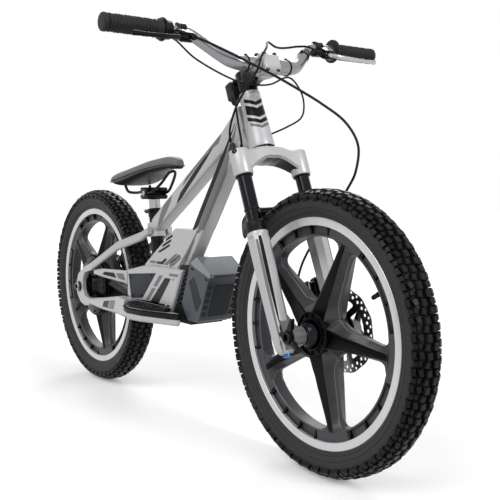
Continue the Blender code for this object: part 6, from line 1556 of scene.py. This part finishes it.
TOP_TUBE_CORNER = 0.0062
DOWN_TUBE_CORNER = 0.0068
BATTERY_HALF = 0.044
BATTERY_OUTLINE = mm((37, 9), (69, 87), (74, 101), (104, 116), (158, 81), (148, 66),
                     (109, -23), (103, -27), (60, -27))


def body_slab(shape, corners, low, high, fillet=True):
    """Extrude an outline of (x, height[, radius]) corners across the bike, from one y to another."""
    outline = fillet_outline(corners) if fillet else corners
    return shape.slab(outline, low, high, AHEAD, UP, SIDE, (0.0, 0.0, AXLE_HEIGHT))


def dress_node(name, finish, edge):
    """Give a CAD node its finish and round its edges."""
    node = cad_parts[name]
    node.data.materials.clear()
    node.data.materials.append(finish_named(finish))
    round_edges(node, edge, 30.0)


def stripe_lift():
    """Give the thickness of the stripes on the paint."""
    return bpy.context.scene.bike_sizes.stripe_lift


# Bands on the front of the head tube: finish, lower and upper height, half angle, rise of the middle
HEAD_BANDS = (("stripe_black", 0.096, 0.104, 62.0, -0.012), ("stripe_black", 0.07, 0.09, 62.0, -0.012),
              ("stripe_black", 0.056, 0.064, 62.0, -0.012), ("stripe_grey", 0.044, 0.05, 52.0, -0.01))
HEAD_BAND_TURN = -16.0


def head_radius(height):
    """Read the head tube's radius at a height above its base."""
    share = min(1.0, max(0.0, (0.089 - height) / 0.059))
    return 0.0215 + 0.0035 * share * share * (3 - 2 * share)


def add_head_band(shape, low, high, half_angle, rise):
    """Lay one band round the front of the head tube, its middle raised or lowered into a chevron."""
    loops = []
    for step in range(21):
        turn = radians(HEAD_BAND_TURN + half_angle * (step / 10 - 1.0))
        shift = rise * (1.0 - abs(step / 10 - 1.0))
        out = STEER_FRONT * cos(turn) + SIDE * sin(turn)
        loop = []
        for height, lift in ((low, -0.0006), (low, stripe_lift()), (high, stripe_lift()), (high, -0.0006)):
            radius = head_radius(height + shift) + lift
            loop.append(HEAD_BASE - STEER_DOWN * (height + shift) + out * radius)
        loops.append(loop)
    shape.rings(loops)


def make_head_tube():
    """Make the head tube as one smooth turned piece with its bands, and the lower headset ring."""
    shape = Shape("paint")
    profile = mm((14.7, 119), (20.2, 119), (21, 118.4), (21.5, 117.2), (21.5, 89))
    for step in range(9):
        share = step / 8
        ease = share * share * (3 - 2 * share)
        profile.append((0.0215 + 0.0035 * ease, 0.089 - 0.059 * share))
    profile += mm((25.5, 15), (26, 3), (25.7, 0.8), (25, 0), (14.7, 0))
    steer_lathe(shape, profile, steps=96)
    for finish, low, high, half_angle, rise in HEAD_BANDS:
        add_head_band(shape.using(finish), low, high, half_angle, rise)
    shape.dress("head_tube", "frame", "silver_paint")
    ring = Shape("black_metal")
    steer_lathe(ring, mm(
        (14.7, -0.3), (25.2, -0.3), (25.6, -1), (25.2, -2), (24.6, -2.2), (25, -2.8), (24.8, -4), (24, -4.2),
        (14.7, -4.2)), steps=72)
    ring.dress("headset_lower", "frame", "black_metal")


def make_seat_tube():
    """Make the glossy black seat tube with its collar."""
    shape = Shape("black_metal")
    top = 0.124
    profile = [(0.0139, top), (0.0168, top), (0.0175, top - 0.0008), (0.0175, top - 0.0078),
               (0.0165, top - 0.009), (0.016, top - 0.0096), (0.016, 0.0012), (0.0139, 0.0012)]
    shape.lathe(profile, SEAT_BASE, SEAT_UP, 64)
    shape.dress("seat_tube", "frame", "black_metal")


TOP_REAR = seat_point(0.0866, 0.0, 0.0)
TOP_FRONT = steer_point(-0.08, 0.0, 0.0)
DOWN_FOOT = body_point(0.0, 0.0, 0.0885)
DOWN_END = steer_point(-0.088, 0.0, 0.0)
DOWN_HEAD = steer_point(-0.047, 0.0, 0.0)


def skin_between(shape, stations, corner):
    """Skin a rounded tube through (centre, rise, half width, half depth) stations."""
    rings = [rounded_ring(centre, SIDE, rise, half, deep, corner)
             for centre, rise, half, deep in stations]
    return shape.rings(rings)


def read_stations(stations, reach):
    """Read a row of values at a distance from rows that start with theirs."""
    found = stations[0][1:]
    for (place, *near), (further, *far) in zip(stations, stations[1:]):
        if reach >= place:
            share = min(1.0, (reach - place) / (further - place))
            found = [a + (b - a) * share for a, b in zip(near, far)]
    return found


def add_tube_stripe(shape, start, end, side, rows, stations, corner):
    """Lay a stripe on a tube's side, and round its corners, through (along, low, high) rows."""
    along = (end - start).normalized()
    rise = SIDE.cross(along) * -1.0
    loops = []
    places = [rows[0][0]]
    for (first, *_), (last, *_) in zip(rows, rows[1:]):
        count = max(1, ceil((last - first) / 0.012))
        places += [first + (last - first) * (step + 1) / count for step in range(count)]
    for reach in places:
        low, high = read_stations(rows, reach)
        half, deep = read_stations(stations, reach)
        flat = deep - corner
        upper, lower = [], []
        for step in range(8):
            level = low + (high - low) * step / 7
            turn = max(0.0, abs(level) - flat) / corner
            across, away = corner * sin(min(turn, pi / 2)), corner * (1.0 - cos(min(turn, pi / 2)))
            away += corner * max(0.0, turn - pi / 2)
            place = copysign(min(abs(level), flat) + across, level)
            turn = min(turn, pi / 2)
            normal = SIDE * (side * cos(turn)) + rise * copysign(sin(turn), level)
            spot = start + along * reach + rise * place + SIDE * (side * (half - away))
            upper.append(spot + normal * stripe_lift())
            lower.append(spot - normal * 0.0006)
        loops.append(upper + lower[::-1])
    shape.rings(loops)


TOP_STATIONS = mm((18, 18.7, 15), (30, 18, 17.2), (141.6, 18, 17.8), (259.6, 18, 18.2), (377.6, 18, 19.1))
TOP_STRIPES = (
    ("stripe_grey", mm((34, -15, -14.4), (60, -15, 2), (90, -8, 14), (122, 4, 14), (134, 12.8, 14))),
    ("stripe_black", mm((140, -15, -14.4), (168, -15, -3), (250, -6, 6), (300, 1, 9), (336, 7.2, 7.8))),
    ("stripe_grey", mm((186, 5, 5.6), (210, 6, 14), (310, 11.4, 14), (356, 3, 14), (374, 12, 14))),
)
DOWN_STATIONS = mm((0, 18, 19), (256.9, 18, 19), (306.7, 18.5, 20), (414.4, 19.5, 38.5))
DOWN_STRIPES = (
    ("stripe_black", mm((86, 12, 12.6), (112, 0, 15), (285, 2, 15), (306.7, 3, 12.2), (372, 10.4, 11.2))),
    ("stripe_grey", mm(
        (98, -6.6, -6), (118, -20, -1.2), (270, -20, 0.8), (306.7, -12.2, 1.8),
        (350, -4, 3.6), (376, 5, 5.6))),
)


def make_top_tube():
    """Make the top tube's skin, from the cup round the seat tube to the head tube."""
    along = (TOP_FRONT - TOP_REAR).normalized()
    rise = SIDE.cross(along) * -1.0
    shape = Shape("paint")
    stations = [
        (TOP_REAR + along * 0.018, rise, 0.0187, 0.015), (TOP_REAR + along * 0.03, rise, 0.018, 0.0172),
        (TOP_REAR.lerp(TOP_FRONT, 0.3), rise, 0.018, 0.0178),
        (TOP_REAR.lerp(TOP_FRONT, 0.55), rise, 0.018, 0.0182),
        (TOP_REAR.lerp(TOP_FRONT, 0.8), rise, 0.018, 0.0191),
    ]
    last = TOP_FRONT - along * 0.0205
    stations.append((last, rise.lerp(-STEER_DOWN, 0.6).normalized(), 0.0194, 0.0265))
    skin_between(shape, stations, TOP_TUBE_CORNER)
    cup_low, cup_high = 0.0866 - 0.0204, 0.0866 + 0.0136
    profile = [(0.0164, cup_high), (0.0203, cup_high), (0.0213, cup_high - 0.0009),
               (0.0215, cup_high - 0.002), (0.0215, cup_low + 0.002), (0.0213, cup_low + 0.0009),
               (0.0203, cup_low), (0.0164, cup_low)]
    shape.lathe(profile, SEAT_BASE, SEAT_UP, 72)
    for side in SIDES:
        for finish, rows in TOP_STRIPES:
            add_tube_stripe(shape.using(finish), TOP_REAR, TOP_FRONT, side, rows,
                            TOP_STATIONS, TOP_TUBE_CORNER)
    shape.dress("top_tube", "frame", "silver_paint")


def make_down_tube():
    """Make the down tube's skin, widening where it meets the head tube."""
    along = (DOWN_END - DOWN_FOOT).normalized()
    rise = SIDE.cross(along) * -1.0
    shape = Shape("paint")
    stations = [
        (DOWN_FOOT - along * 0.018, rise, 0.018, 0.019), (DOWN_FOOT.lerp(DOWN_END, 0.3), rise, 0.018, 0.019),
        (DOWN_FOOT.lerp(DOWN_END, 0.62), rise, 0.018, 0.019),
        (DOWN_FOOT.lerp(DOWN_END, 0.74), rise, 0.0185, 0.02),
    ]
    start, last = DOWN_FOOT.lerp(DOWN_END, 0.74), DOWN_HEAD - STEER_FRONT * 0.0215
    for share in (0.35, 0.7, 1.0):
        stations.append((start.lerp(last, share), rise.lerp(-STEER_DOWN, share * 0.75).normalized(),
                         0.0185 + 0.001 * share, 0.02 + 0.0185 * share))
    skin_between(shape, stations, DOWN_TUBE_CORNER)
    for side in SIDES:
        for finish, rows in DOWN_STRIPES:
            add_tube_stripe(shape.using(finish), DOWN_FOOT, DOWN_END, side, rows,
                            DOWN_STATIONS, DOWN_TUBE_CORNER)
        for index in range(7):
            reach = 0.02 + 0.0086 * index
            bar = [(reach, -0.0095), (reach + 0.0036, -0.0095), (reach + 0.0136, 0.0035),
                   (reach + 0.01, 0.0035)]
            shape.using("stripe_grey").slab(bar, 0.0174, 0.018 + stripe_lift(), along, rise,
                                            SIDE * side, DOWN_FOOT)
    shape.dress("down_tube", "frame", "silver_paint")


def web_half_width(height):
    """Read the slotted web's half width at a height above the axle line."""
    if height < 0.115:
        return 0.034 - 0.008 * (height - 0.083) / 0.032
    return 0.026 - 0.0065 * (height - 0.115) / 0.056


# Black floors of the web's slots and of its scoop, painted shade in these hollows, as (x, height) outlines
WEB_SLOT_PAINTED_SHADES = (mm((-100, 109), (-34, 109), (-34, 160), (-47, 160), (-72.5, 142.5), (-96.5, 126)),
              mm((-36, 87), (6, 87), (10, 112), (-26, 108)))


def make_web_stripes():
    """Make the slotted web's black slot liners, painted shade in its slots, and the stripes on its sides."""
    shape = Shape("stripe_black", "stripe_grey", "casting_black_and_painted_shade")
    marks = (
        ("stripe_grey", mm((-34, 87.2), (-16, 87.2), (12, 106), (4, 112))),
        ("stripe_grey", mm((-128, 86.8), (-104, 86.8), (-98, 92), (-122, 92))),
        ("stripe_black", mm((-96, 86.8), (-66, 86.8), (-50, 99), (-58, 101), (-72, 92), (-90, 92))),
        ("stripe_grey", mm((-60, 86.8), (-44, 86.8), (-6, 113), (-16, 114))),
    )
    for side in SIDES:
        for finish, outline in marks:
            loops = []
            for lift in (-0.0008, stripe_lift()):
                loops.append([body_point(x, side * (web_half_width(height) + lift), height)
                              for x, height in outline])
            shape.using(finish).rings(loops)
        # The slot liners are black, painted shade.
        for liner in WEB_SLOT_PAINTED_SHADES:
            body_slab(shape.using("casting_black_and_painted_shade"), liner, side * 0.02, side * 0.0206, False)
    shape.done("web_stripes", "frame", slot="black_metal")


class BIKE_OT_frame_tubes(Operator):
    """Make the head tube, seat tube, top tube and down tube, and finish the web and cable port"""
    bl_idname = "bike.frame_tubes"
    bl_label = "Frame tubes"

    def execute(self, context):
        make_head_tube()
        make_seat_tube()
        make_top_tube()
        make_down_tube()
        dress_node("frame_gusset", "paint", edge=0.0008)
        dress_node("cable_port", "slate", edge=0.0006)
        make_web_stripes()
        return {"FINISHED"}


# Marks on the outer faces of the stays: finish, rear end, front end, (share, low, high) rows between them
STAY_MARKS = (
    ("stripe_black", (-0.33, 0.0652, 0.047), (-0.214, 0.0502, 0.044),
     ((0.06, -0.003, -0.0026), (0.14, -0.0036, 0.0044), (0.5, -0.0056, 0.006), (0.6, -0.0058, -0.005))),
    ("stripe_grey", (-0.33, 0.0652, 0.047), (-0.214, 0.0502, 0.044),
     ((0.6, 0.0056, 0.006), (0.68, -0.0064, 0.0066), (0.86, -0.0078, 0.008), (0.94, -0.008, -0.0074))),
    ("stripe_black", (-0.31, 0.0752, -0.03), (-0.215, 0.0822, -0.022),
     ((0.08, -0.0072, -0.0068), (0.2, -0.0074, 0.0078), (0.44, -0.009, 0.0092), (0.56, 0.0094, 0.0098))),
    ("stripe_grey", (-0.31, 0.0752, -0.03), (-0.215, 0.0822, -0.022),
     ((0.5, -0.0098, -0.0094), (0.62, -0.01, 0.0104), (0.86, -0.0112, 0.0118), (0.96, 0.0116, 0.012))),
)


def make_stay_marks():
    """Lay the short slanted stripes on the outer faces of the upper and lower stays."""
    shape = Shape("stripe_black", "stripe_grey")
    for side in SIDES:
        for finish, (x, y, z), (x_end, y_end, z_end), rows in STAY_MARKS:
            near, far = body_point(x, side * y, z), body_point(x_end, side * y_end, z_end)
            ahead = (far - near).normalized()
            out = SIDE * side - ahead * (SIDE * side).dot(ahead)
            loops = []
            for share, low, high in rows:
                spot = near.lerp(far, share)
                loops.append([spot + UP * level + out * lift for level, lift in
                              ((low, -0.0014), (low, stripe_lift()), (high, stripe_lift()), (high, -0.0014))])
            shape.using(finish).rings(loops)
    shape.done("stay_stripes", "frame", slot="black_metal")


class BIKE_OT_stays(Operator):
    """Finish the stays, their dropouts, the rear axle and the rear caliper"""
    bl_idname = "bike.stays"
    bl_label = "Rear stays"

    def execute(self, context):
        for label in ("right", "left"):
            dress_node("seat_stay_" + label, "paint", edge=0.0012)
            dress_node("upper_stay_" + label, "paint", edge=0.001)
            dress_node("lower_stay_" + label, "paint", edge=0.002)
        make_stay_marks()
        axle = Shape("dark_chrome", "chrome", "black_metal")
        for side in SIDES:
            out = SIDE * side
            base = REAR_AXLE + out * 0.0678
            axle.using("black_metal").lathe(mm((7.2, 0), (13.6, 0), (14, 0.6), (13.8, 1.8), (7.2, 1.8)),
                                            base, out, 40)
            nut = base + out * 0.0019
            loops = []
            for level, radius in mm((0, 10), (0.8, 10.6), (6, 10.6), (7, 9.8)):
                loops.append([nut + out * level + AHEAD * radius * cos(tau * (step + 0.25) / 6)
                              + UP * radius * sin(tau * (step + 0.25) / 6) for step in range(6)])
            axle.using("chrome").rings(loops)
            stub = mm((0, 0), (7, 0), (7, 12.8), (6.2, 13.7), (3, 13.7), (2.4, 12.5), (0, 12))
            axle.using("dark_chrome").lathe(stub, base, out, 32, False)
        axle.lathe(mm((0, -68), (7, -68), (7, 68), (0, 68)), REAR_AXLE, SIDE, 32, False)
        axle.dress("rear_axle", "frame", "chrome")
        self.caliper()
        return {"FINISHED"}

    def caliper(self):
        """Make the rear caliper of two halves with its bolts."""
        turn = radians(38.0)
        along = Vector((cos(turn), 0.0, -sin(turn)))
        rise = Vector((sin(turn), 0.0, cos(turn)))
        centre = REAR_AXLE + Vector((0.052, 0.0, 0.062))
        shape = Shape("black_metal", "steel")
        for y, width in ((0.0407, 0.0062), (0.053, 0.008)):
            shape.using("black_metal").block(centre + SIDE * y, (0.05, width, 0.029),
                                             along, SIDE, rise, 0.004)
        for reach in (-0.021, 0.021):
            spot = centre + along * reach + rise * 0.0105
            shape.using("black_metal").block(spot + SIDE * 0.047, (0.008, 0.018, 0.007),
                                             along, SIDE, rise, 0.0015)
            shape.using("steel").bolt(spot - rise * 0.008 + SIDE * 0.0378, -SIDE, 0.0032, 0.002)
        shape.dress("rear_caliper", "frame", "black_metal", edge=0.0005)


class BIKE_OT_drive_case(Operator):
    """Finish the drive case, its covers, the cradle and the footrests"""
    bl_idname = "bike.drive_case"
    bl_label = "Drive case"

    def execute(self, context):
        dress_node("drive_case", "paint", edge=0.001)
        for label in ("right", "left"):
            dress_node("side_panel_" + label, "slate", edge=0.0006)
            dress_node("footrest_" + label, "paint", edge=0.0012)
            dress_node("foot_tread_" + label, "black_plastic", edge=0.0008)
        dress_node("battery_cradle", "black_plastic", edge=0.0006)
        self.fittings()
        return {"FINISHED"}

    def fittings(self):
        """Make the cover screws and the tread studs."""
        shape = Shape("steel", "black_metal")
        for side in SIDES:
            out = SIDE * side
            for x, height in mm((-194, 46), (-92, 59.5), (-141, 8), (-186, 4)):
                shape.using("black_metal").bolt(body_point(x, side * 0.0491, height), out, 0.003, 0.0018)
            for x, height in mm((-60, 30), (-20, -4), (12, 60)):
                shape.using("steel").bolt(body_point(x, side * 0.0499, height), out, 0.0036, 0.0024)
        shape.done("case_screws", "frame", slot="steel")
        self.stripes()
        self.tread_edges()
        studs = Shape("black_metal")
        for side in SIDES:
            for index in range(6):
                x = -0.1417 + 0.02 * index
                for y in (0.06, 0.072, 0.084):
                    if y > 0.09 - max(0.0, (x + 0.062) * 0.4):
                        continue
                    studs.lathe(mm((0, -1), (2.4, -1), (2.2, 0.4), (1.4, 1.4), (0, 1.4)),
                                body_point(x, side * y, -0.0057), UP, 10, False)
        studs.done("tread_studs", "frame", slot="black_metal")

    def stripes(self):
        """Make the slanted stripes on the case's sides."""
        shape = Shape("stripe_black", "stripe_grey")
        half = 0.05
        marks = (
            ("stripe_black", mm((2, 60), (-24, 60), (-96, -3), (-96, -4.8), (-58, -4.8))),
            ("stripe_grey", mm((-34, 64), (-50, 64), (-80, 36), (-64, 36))),
            ("stripe_grey", mm((-69, 31), (-85, 31), (-118, 0), (-102, 0))),
            ("stripe_grey", mm((35, 72), (-2, 72), (-7, 66), (31, 66))),
            ("stripe_black", mm((-100, -1), (-196, -5), (-196, -5.6), (-6, -5.6), (-5, -1))),
        )
        for side in SIDES:
            near, far = side * (half - 0.0006), side * (half + stripe_lift())
            for finish, outline in marks:
                body_slab(shape.using(finish), outline, near, far, False)
        shape.done("case_stripes", "frame", slot="black_metal")

    def tread_edges(self):
        """Make the black serrated edge that runs round the upper part of each footrest."""
        low_corner, high_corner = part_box("footrest_left")
        top, width = high_corner[2], high_corner[1]
        plan = [(-0.1577, 0.0503), (-0.1577, width - 0.012), (-0.118, width), (-0.06, width - 0.006),
                (0.03, 0.066), (0.046, 0.058), (0.046, 0.0503)]
        thick = top - low_corner[2]
        shape = Shape("black_plastic")
        grown = [(x, max(0.0503, y)) for x, y in offset_outline(plan, 0.0007)]
        for side in SIDES:
            shape.slab(grown, top - thick * 0.48, top - 0.0003, AHEAD, SIDE * side, UP)
            for (x, y), (x_next, y_next) in zip(grown[1:5], grown[2:6]):
                length = hypot(x_next - x, y_next - y)
                ahead = Vector((x_next - x, side * (y_next - y), 0.0)).normalized()
                out = Vector((-ahead.y, ahead.x, 0.0)) * -side
                for tooth in range(int(length / 0.008)):
                    spot = Vector((x, side * y, top - 0.0018)) + ahead * (0.004 + 0.008 * tooth)
                    shape.block(spot + out * -0.0006, (0.0044, 0.0026, 0.004), ahead, out, UP, 0.0006)
        shape.done("footrest_edges", "frame", slot="black_plastic")


def battery_corners(grow):
    """Give the battery's outline with a fillet at each corner."""
    radii = (0.006, 0.004, 0.004, 0.01, 0.008, 0.004, 0.006, 0.004, 0.008)
    outline = offset_outline(BATTERY_OUTLINE, grow) if grow else BATTERY_OUTLINE
    return [(x, z, radius) for (x, z), radius in zip(outline, radii)]


class BIKE_OT_battery(Operator):
    """Make the battery with its glossy lid, partly painted reflection, side recesses, notches that are black
    patches of painted shade, and ribs
    """
    bl_idname = "bike.battery"
    bl_label = "Battery"

    def execute(self, context):
        half = BATTERY_HALF
        shape = Shape("shell", "lid", "slate", "black_plastic")
        levels = ((-half, -0.0016), (-half + 0.001, -0.0005), (-half + 0.003, 0.0), (half - 0.003, 0.0),
                  (half - 0.001, -0.0005), (half, -0.0016))
        loops = []
        for y, grow in levels:
            outline = fillet_outline(battery_corners(grow))
            loops.append([body_point(x, y, z) for x, z in outline])
        shape.rings(loops)
        # The lid's paler finish is partly a painted reflection.
        lid = mm((75.5, 99.5, 3), (104, 116.4, 9), (158.5, 81.2, 8), (153, 73.5, 2), (101, 90, 10))
        for side in SIDES:
            body_slab(shape.using("lid"), lid, side * 0.0335, side * (half + 0.0006))
        top = mm((75, 101, 2), (104, 117.1, 10), (159, 81.2, 7), (157, 78.5, 2),
                 (104, 113, 10), (76.2, 98.5, 2))
        body_slab(shape, top, -0.04, 0.04)
        shape.using("slate")
        recess = mm((70, 60, 4), (92, 72, 4), (120, 20, 5), (98, -8, 5))
        for side in SIDES:
            body_slab(shape, recess, side * (half - 0.0004), side * (half + 0.0005))
        # The notches are black patches laid on the sides, painted shade in place of cut notches.
        shape.using("black_plastic")
        for side in SIDES:
            for x, z in ((0.0845, 0.0885), (0.1395, 0.07)):
                notch = [(x - 0.0045, z - 0.0022, 0.001), (x + 0.0045, z - 0.004, 0.001),
                         (x + 0.0045, z + 0.001, 0.001), (x - 0.0045, z + 0.0028, 0.001)]
                body_slab(shape, notch, side * (half - 0.0002), side * (half + 0.001))
        shape.dress("battery", "battery_pack", "battery_grey", edge=0.0005)
        self.front_ribs()
        return {"FINISHED"}

    def front_ribs(self):
        """Make the battery's inset front face, the bumps down its corners and the ribs beneath it."""
        start, end = body_point(0.148, 0.0, 0.066), body_point(0.109, 0.0, -0.023)
        down = (end - start).normalized()
        out = Vector((-down.z, 0.0, down.x))
        if out.x < 0.0:
            out = -out
        shape = Shape("slate")
        face = start.lerp(end, 0.5)
        shape.block(face + out * 0.0003, (0.078, 0.05, 0.0012), down, SIDE, out, 0.004)
        for side in SIDES:
            for index in range(5):
                spot = start.lerp(end, 0.16 + 0.17 * index) + SIDE * side * (BATTERY_HALF - 0.008)
                shape.using("slate").block(spot + out * 0.0002, (0.0095, 0.012, 0.0034),
                                           down, SIDE, out, 0.0016)
        for index in range(7):
            rib = body_point(0.064 + index * 0.0058, 0.0, -0.0272)
            shape.using("slate").block(rib, (0.0028, 0.07, 0.0026), corner=0.0008)
        shape.done("battery_ribs", "battery_pack", slot="slate_plastic", edge=0.0004)


def seen_directly(tree):
    """Give 1 for what the camera sees straight, mirrored or through glass, and 0 for the bike's light."""
    rays = add_node(tree, "LightPath", {}).outputs
    found = calculated(tree, "MAXIMUM", rays["Is Camera Ray"], rays["Is Transmission Ray"])
    return calculated(tree, "MAXIMUM", found, rays["Is Glossy Ray"])


# The photograph's camera: place, turns to the left, up and over in degrees, focal length in its pixels
CAMERA_PLACE = (1.5287, -0.9275, 0.5198)
CAMERA_TURNS = (144.31, -4.37, -0.29)
CAMERA_FOCAL, PHOTO_WIDTH = 785.15, 500.0
# Lamps: name, direction towards it, share of the key light, spread in degrees
LAMPS = (("key_lamp", (0.2, -1.0, 0.9), 0.66, 40.0), ("fill_lamp", (1.0, 0.12, 0.5), 0.74, 14.0),
         ("back_lamp", (-0.75, 0.6, 0.65), 0.36, 24.0))
FLOOR_REACH = 14.0


class BIKE_OT_stage(Operator):
    """Make the pale floor, the soft lamps, the surroundings and the camera"""
    bl_idname = "bike.stage"
    bl_label = "Stage"

    def execute(self, context):
        sizes = context.scene.bike_sizes
        scene = context.scene
        scene.view_settings.view_transform = "Standard"
        self.floor(context)
        self.surroundings(scene, sizes)
        for name, towards, share, spread in LAMPS:
            data = bpy.data.lights.new(name, "SUN")
            data.energy = sizes.key_light * share
            data.angle = radians(spread)
            lamp = bpy.data.objects.new(name, data)
            lamp.location = Vector(towards) * 3.0
            lamp.rotation_euler = Vector(towards).to_track_quat("Z", "Y").to_euler()
            scene.collection.objects.link(lamp)
        self.camera(scene)
        return {"FINISHED"}

    def floor(self, context):
        """Make the floor: white to the camera and to reflections, but for the bike's own shadow."""
        mesh = bpy.data.meshes.new("floor")
        corners = [(x * FLOOR_REACH, y * FLOOR_REACH, 0.0) for x, y in ((-1, -1), (1, -1), (1, 1), (-1, 1))]
        mesh.from_pydata(corners, [], [(0, 1, 2, 3)])
        floor = bpy.data.objects.new("floor", mesh)
        context.scene.collection.objects.link(floor)
        finish = bpy.data.materials.new("stage_floor")
        finish.use_nodes = True
        tree = finish.node_tree
        shader = tree.nodes["Principled BSDF"]
        matt = {"Roughness": 0.9, "Specular IOR Level": 0.0}
        fill_inputs(tree, shader, {"Base Color": (*context.scene.bike_colours.floor, 1.0), **matt})
        depth = context.scene.bike_sizes.shadow_depth
        seen = add_node(tree, "BsdfPrincipled", {
            "Base Color": (depth, depth, depth, 1.0), "Emission Color": (1.0, 1.0, 1.0, 1.0),
            "Emission Strength": 1.0 - depth * 0.88, **matt})
        mixer = add_node(tree, "MixShader", {0: seen_directly(tree),
                                             1: shader.outputs[0], 2: seen.outputs[0]})
        tree.links.new(mixer.outputs[0], tree.nodes["Material Output"].inputs["Surface"])
        mesh.materials.append(finish)

    def surroundings(self, scene, sizes):
        """Make surroundings that light the bike softly and show as white behind it."""
        world = bpy.data.worlds.new("studio")
        scene.world = world
        world.use_nodes = True
        tree = world.node_tree
        strength = spread_value(tree, seen_directly(tree), sizes.sky_light, 1.0, 0.0, 1.0)
        fill_inputs(tree, tree.nodes["Background"], {"Color": (1.0, 1.0, 1.0, 1.0), "Strength": strength})

    def camera(self, scene):
        """Stand the camera at the photograph's place."""
        yaw, pitch, roll = (radians(angle) for angle in CAMERA_TURNS)
        view = Vector((cos(yaw) * cos(pitch), sin(yaw) * cos(pitch), sin(pitch)))
        right = view.cross(UP).normalized()
        up = right.cross(view)
        tilted_right = right * cos(roll) + up * sin(roll)
        tilted_up = up * cos(roll) - right * sin(roll)
        turn = Matrix((tilted_right, tilted_up, -view)).transposed().to_4x4()
        data = bpy.data.cameras.new("photo_camera")
        data.lens = CAMERA_FOCAL * data.sensor_width / PHOTO_WIDTH
        data.clip_end = 60.0
        camera = bpy.data.objects.new("photo_camera", data)
        camera.matrix_world = Matrix.Translation(CAMERA_PLACE) @ turn
        scene.collection.objects.link(camera)
        scene.camera = camera


# Panel and registration

STEPS = (
    BIKE_OT_tyres, BIKE_OT_front_wheel, BIKE_OT_rear_wheel, BIKE_OT_discs, BIKE_OT_fork_lowers,
    BIKE_OT_fork_crown, BIKE_OT_stem, BIKE_OT_handlebar, BIKE_OT_grips, BIKE_OT_levers,
    BIKE_OT_display, BIKE_OT_cables, BIKE_OT_saddle, BIKE_OT_seat_post, BIKE_OT_frame_tubes,
    BIKE_OT_stays, BIKE_OT_drive_case, BIKE_OT_battery, BIKE_OT_stage,
)


class BIKE_PT_pieces(Panel):
    """Lists the bike's sizes, colours and pieces"""
    bl_idname = "BIKE_PT_pieces"
    bl_label = "Electric balance bike"
    bl_space_type = "VIEW_3D"
    bl_region_type = "UI"
    bl_category = "Bike"

    def draw(self, context):
        layout = self.layout
        for group in (context.scene.bike_sizes, context.scene.bike_colours):
            box = layout.box()
            for name in group.bl_rna.properties.keys():
                if name not in ("rna_type", "name"):
                    box.prop(group, name)
        for step in STEPS:
            layout.operator(step.bl_idname)


CLASSES = (BikeColours, BikeSizes, *STEPS, BIKE_PT_pieces)


def register():
    """Register the settings, the operators and the panel."""
    for item in CLASSES:
        bpy.utils.register_class(item)
    bpy.types.Scene.bike_colours = PointerProperty(type=BikeColours)
    bpy.types.Scene.bike_sizes = PointerProperty(type=BikeSizes)


def unregister():
    """Take the settings, the operators and the panel away again."""
    del bpy.types.Scene.bike_sizes
    del bpy.types.Scene.bike_colours
    for item in reversed(CLASSES):
        bpy.utils.unregister_class(item)


def main():
    """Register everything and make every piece."""
    register()
    for step in STEPS:
        group, name = step.bl_idname.split(".")
        getattr(getattr(bpy.ops, group), name)()


if __name__ == "__main__":
    main()
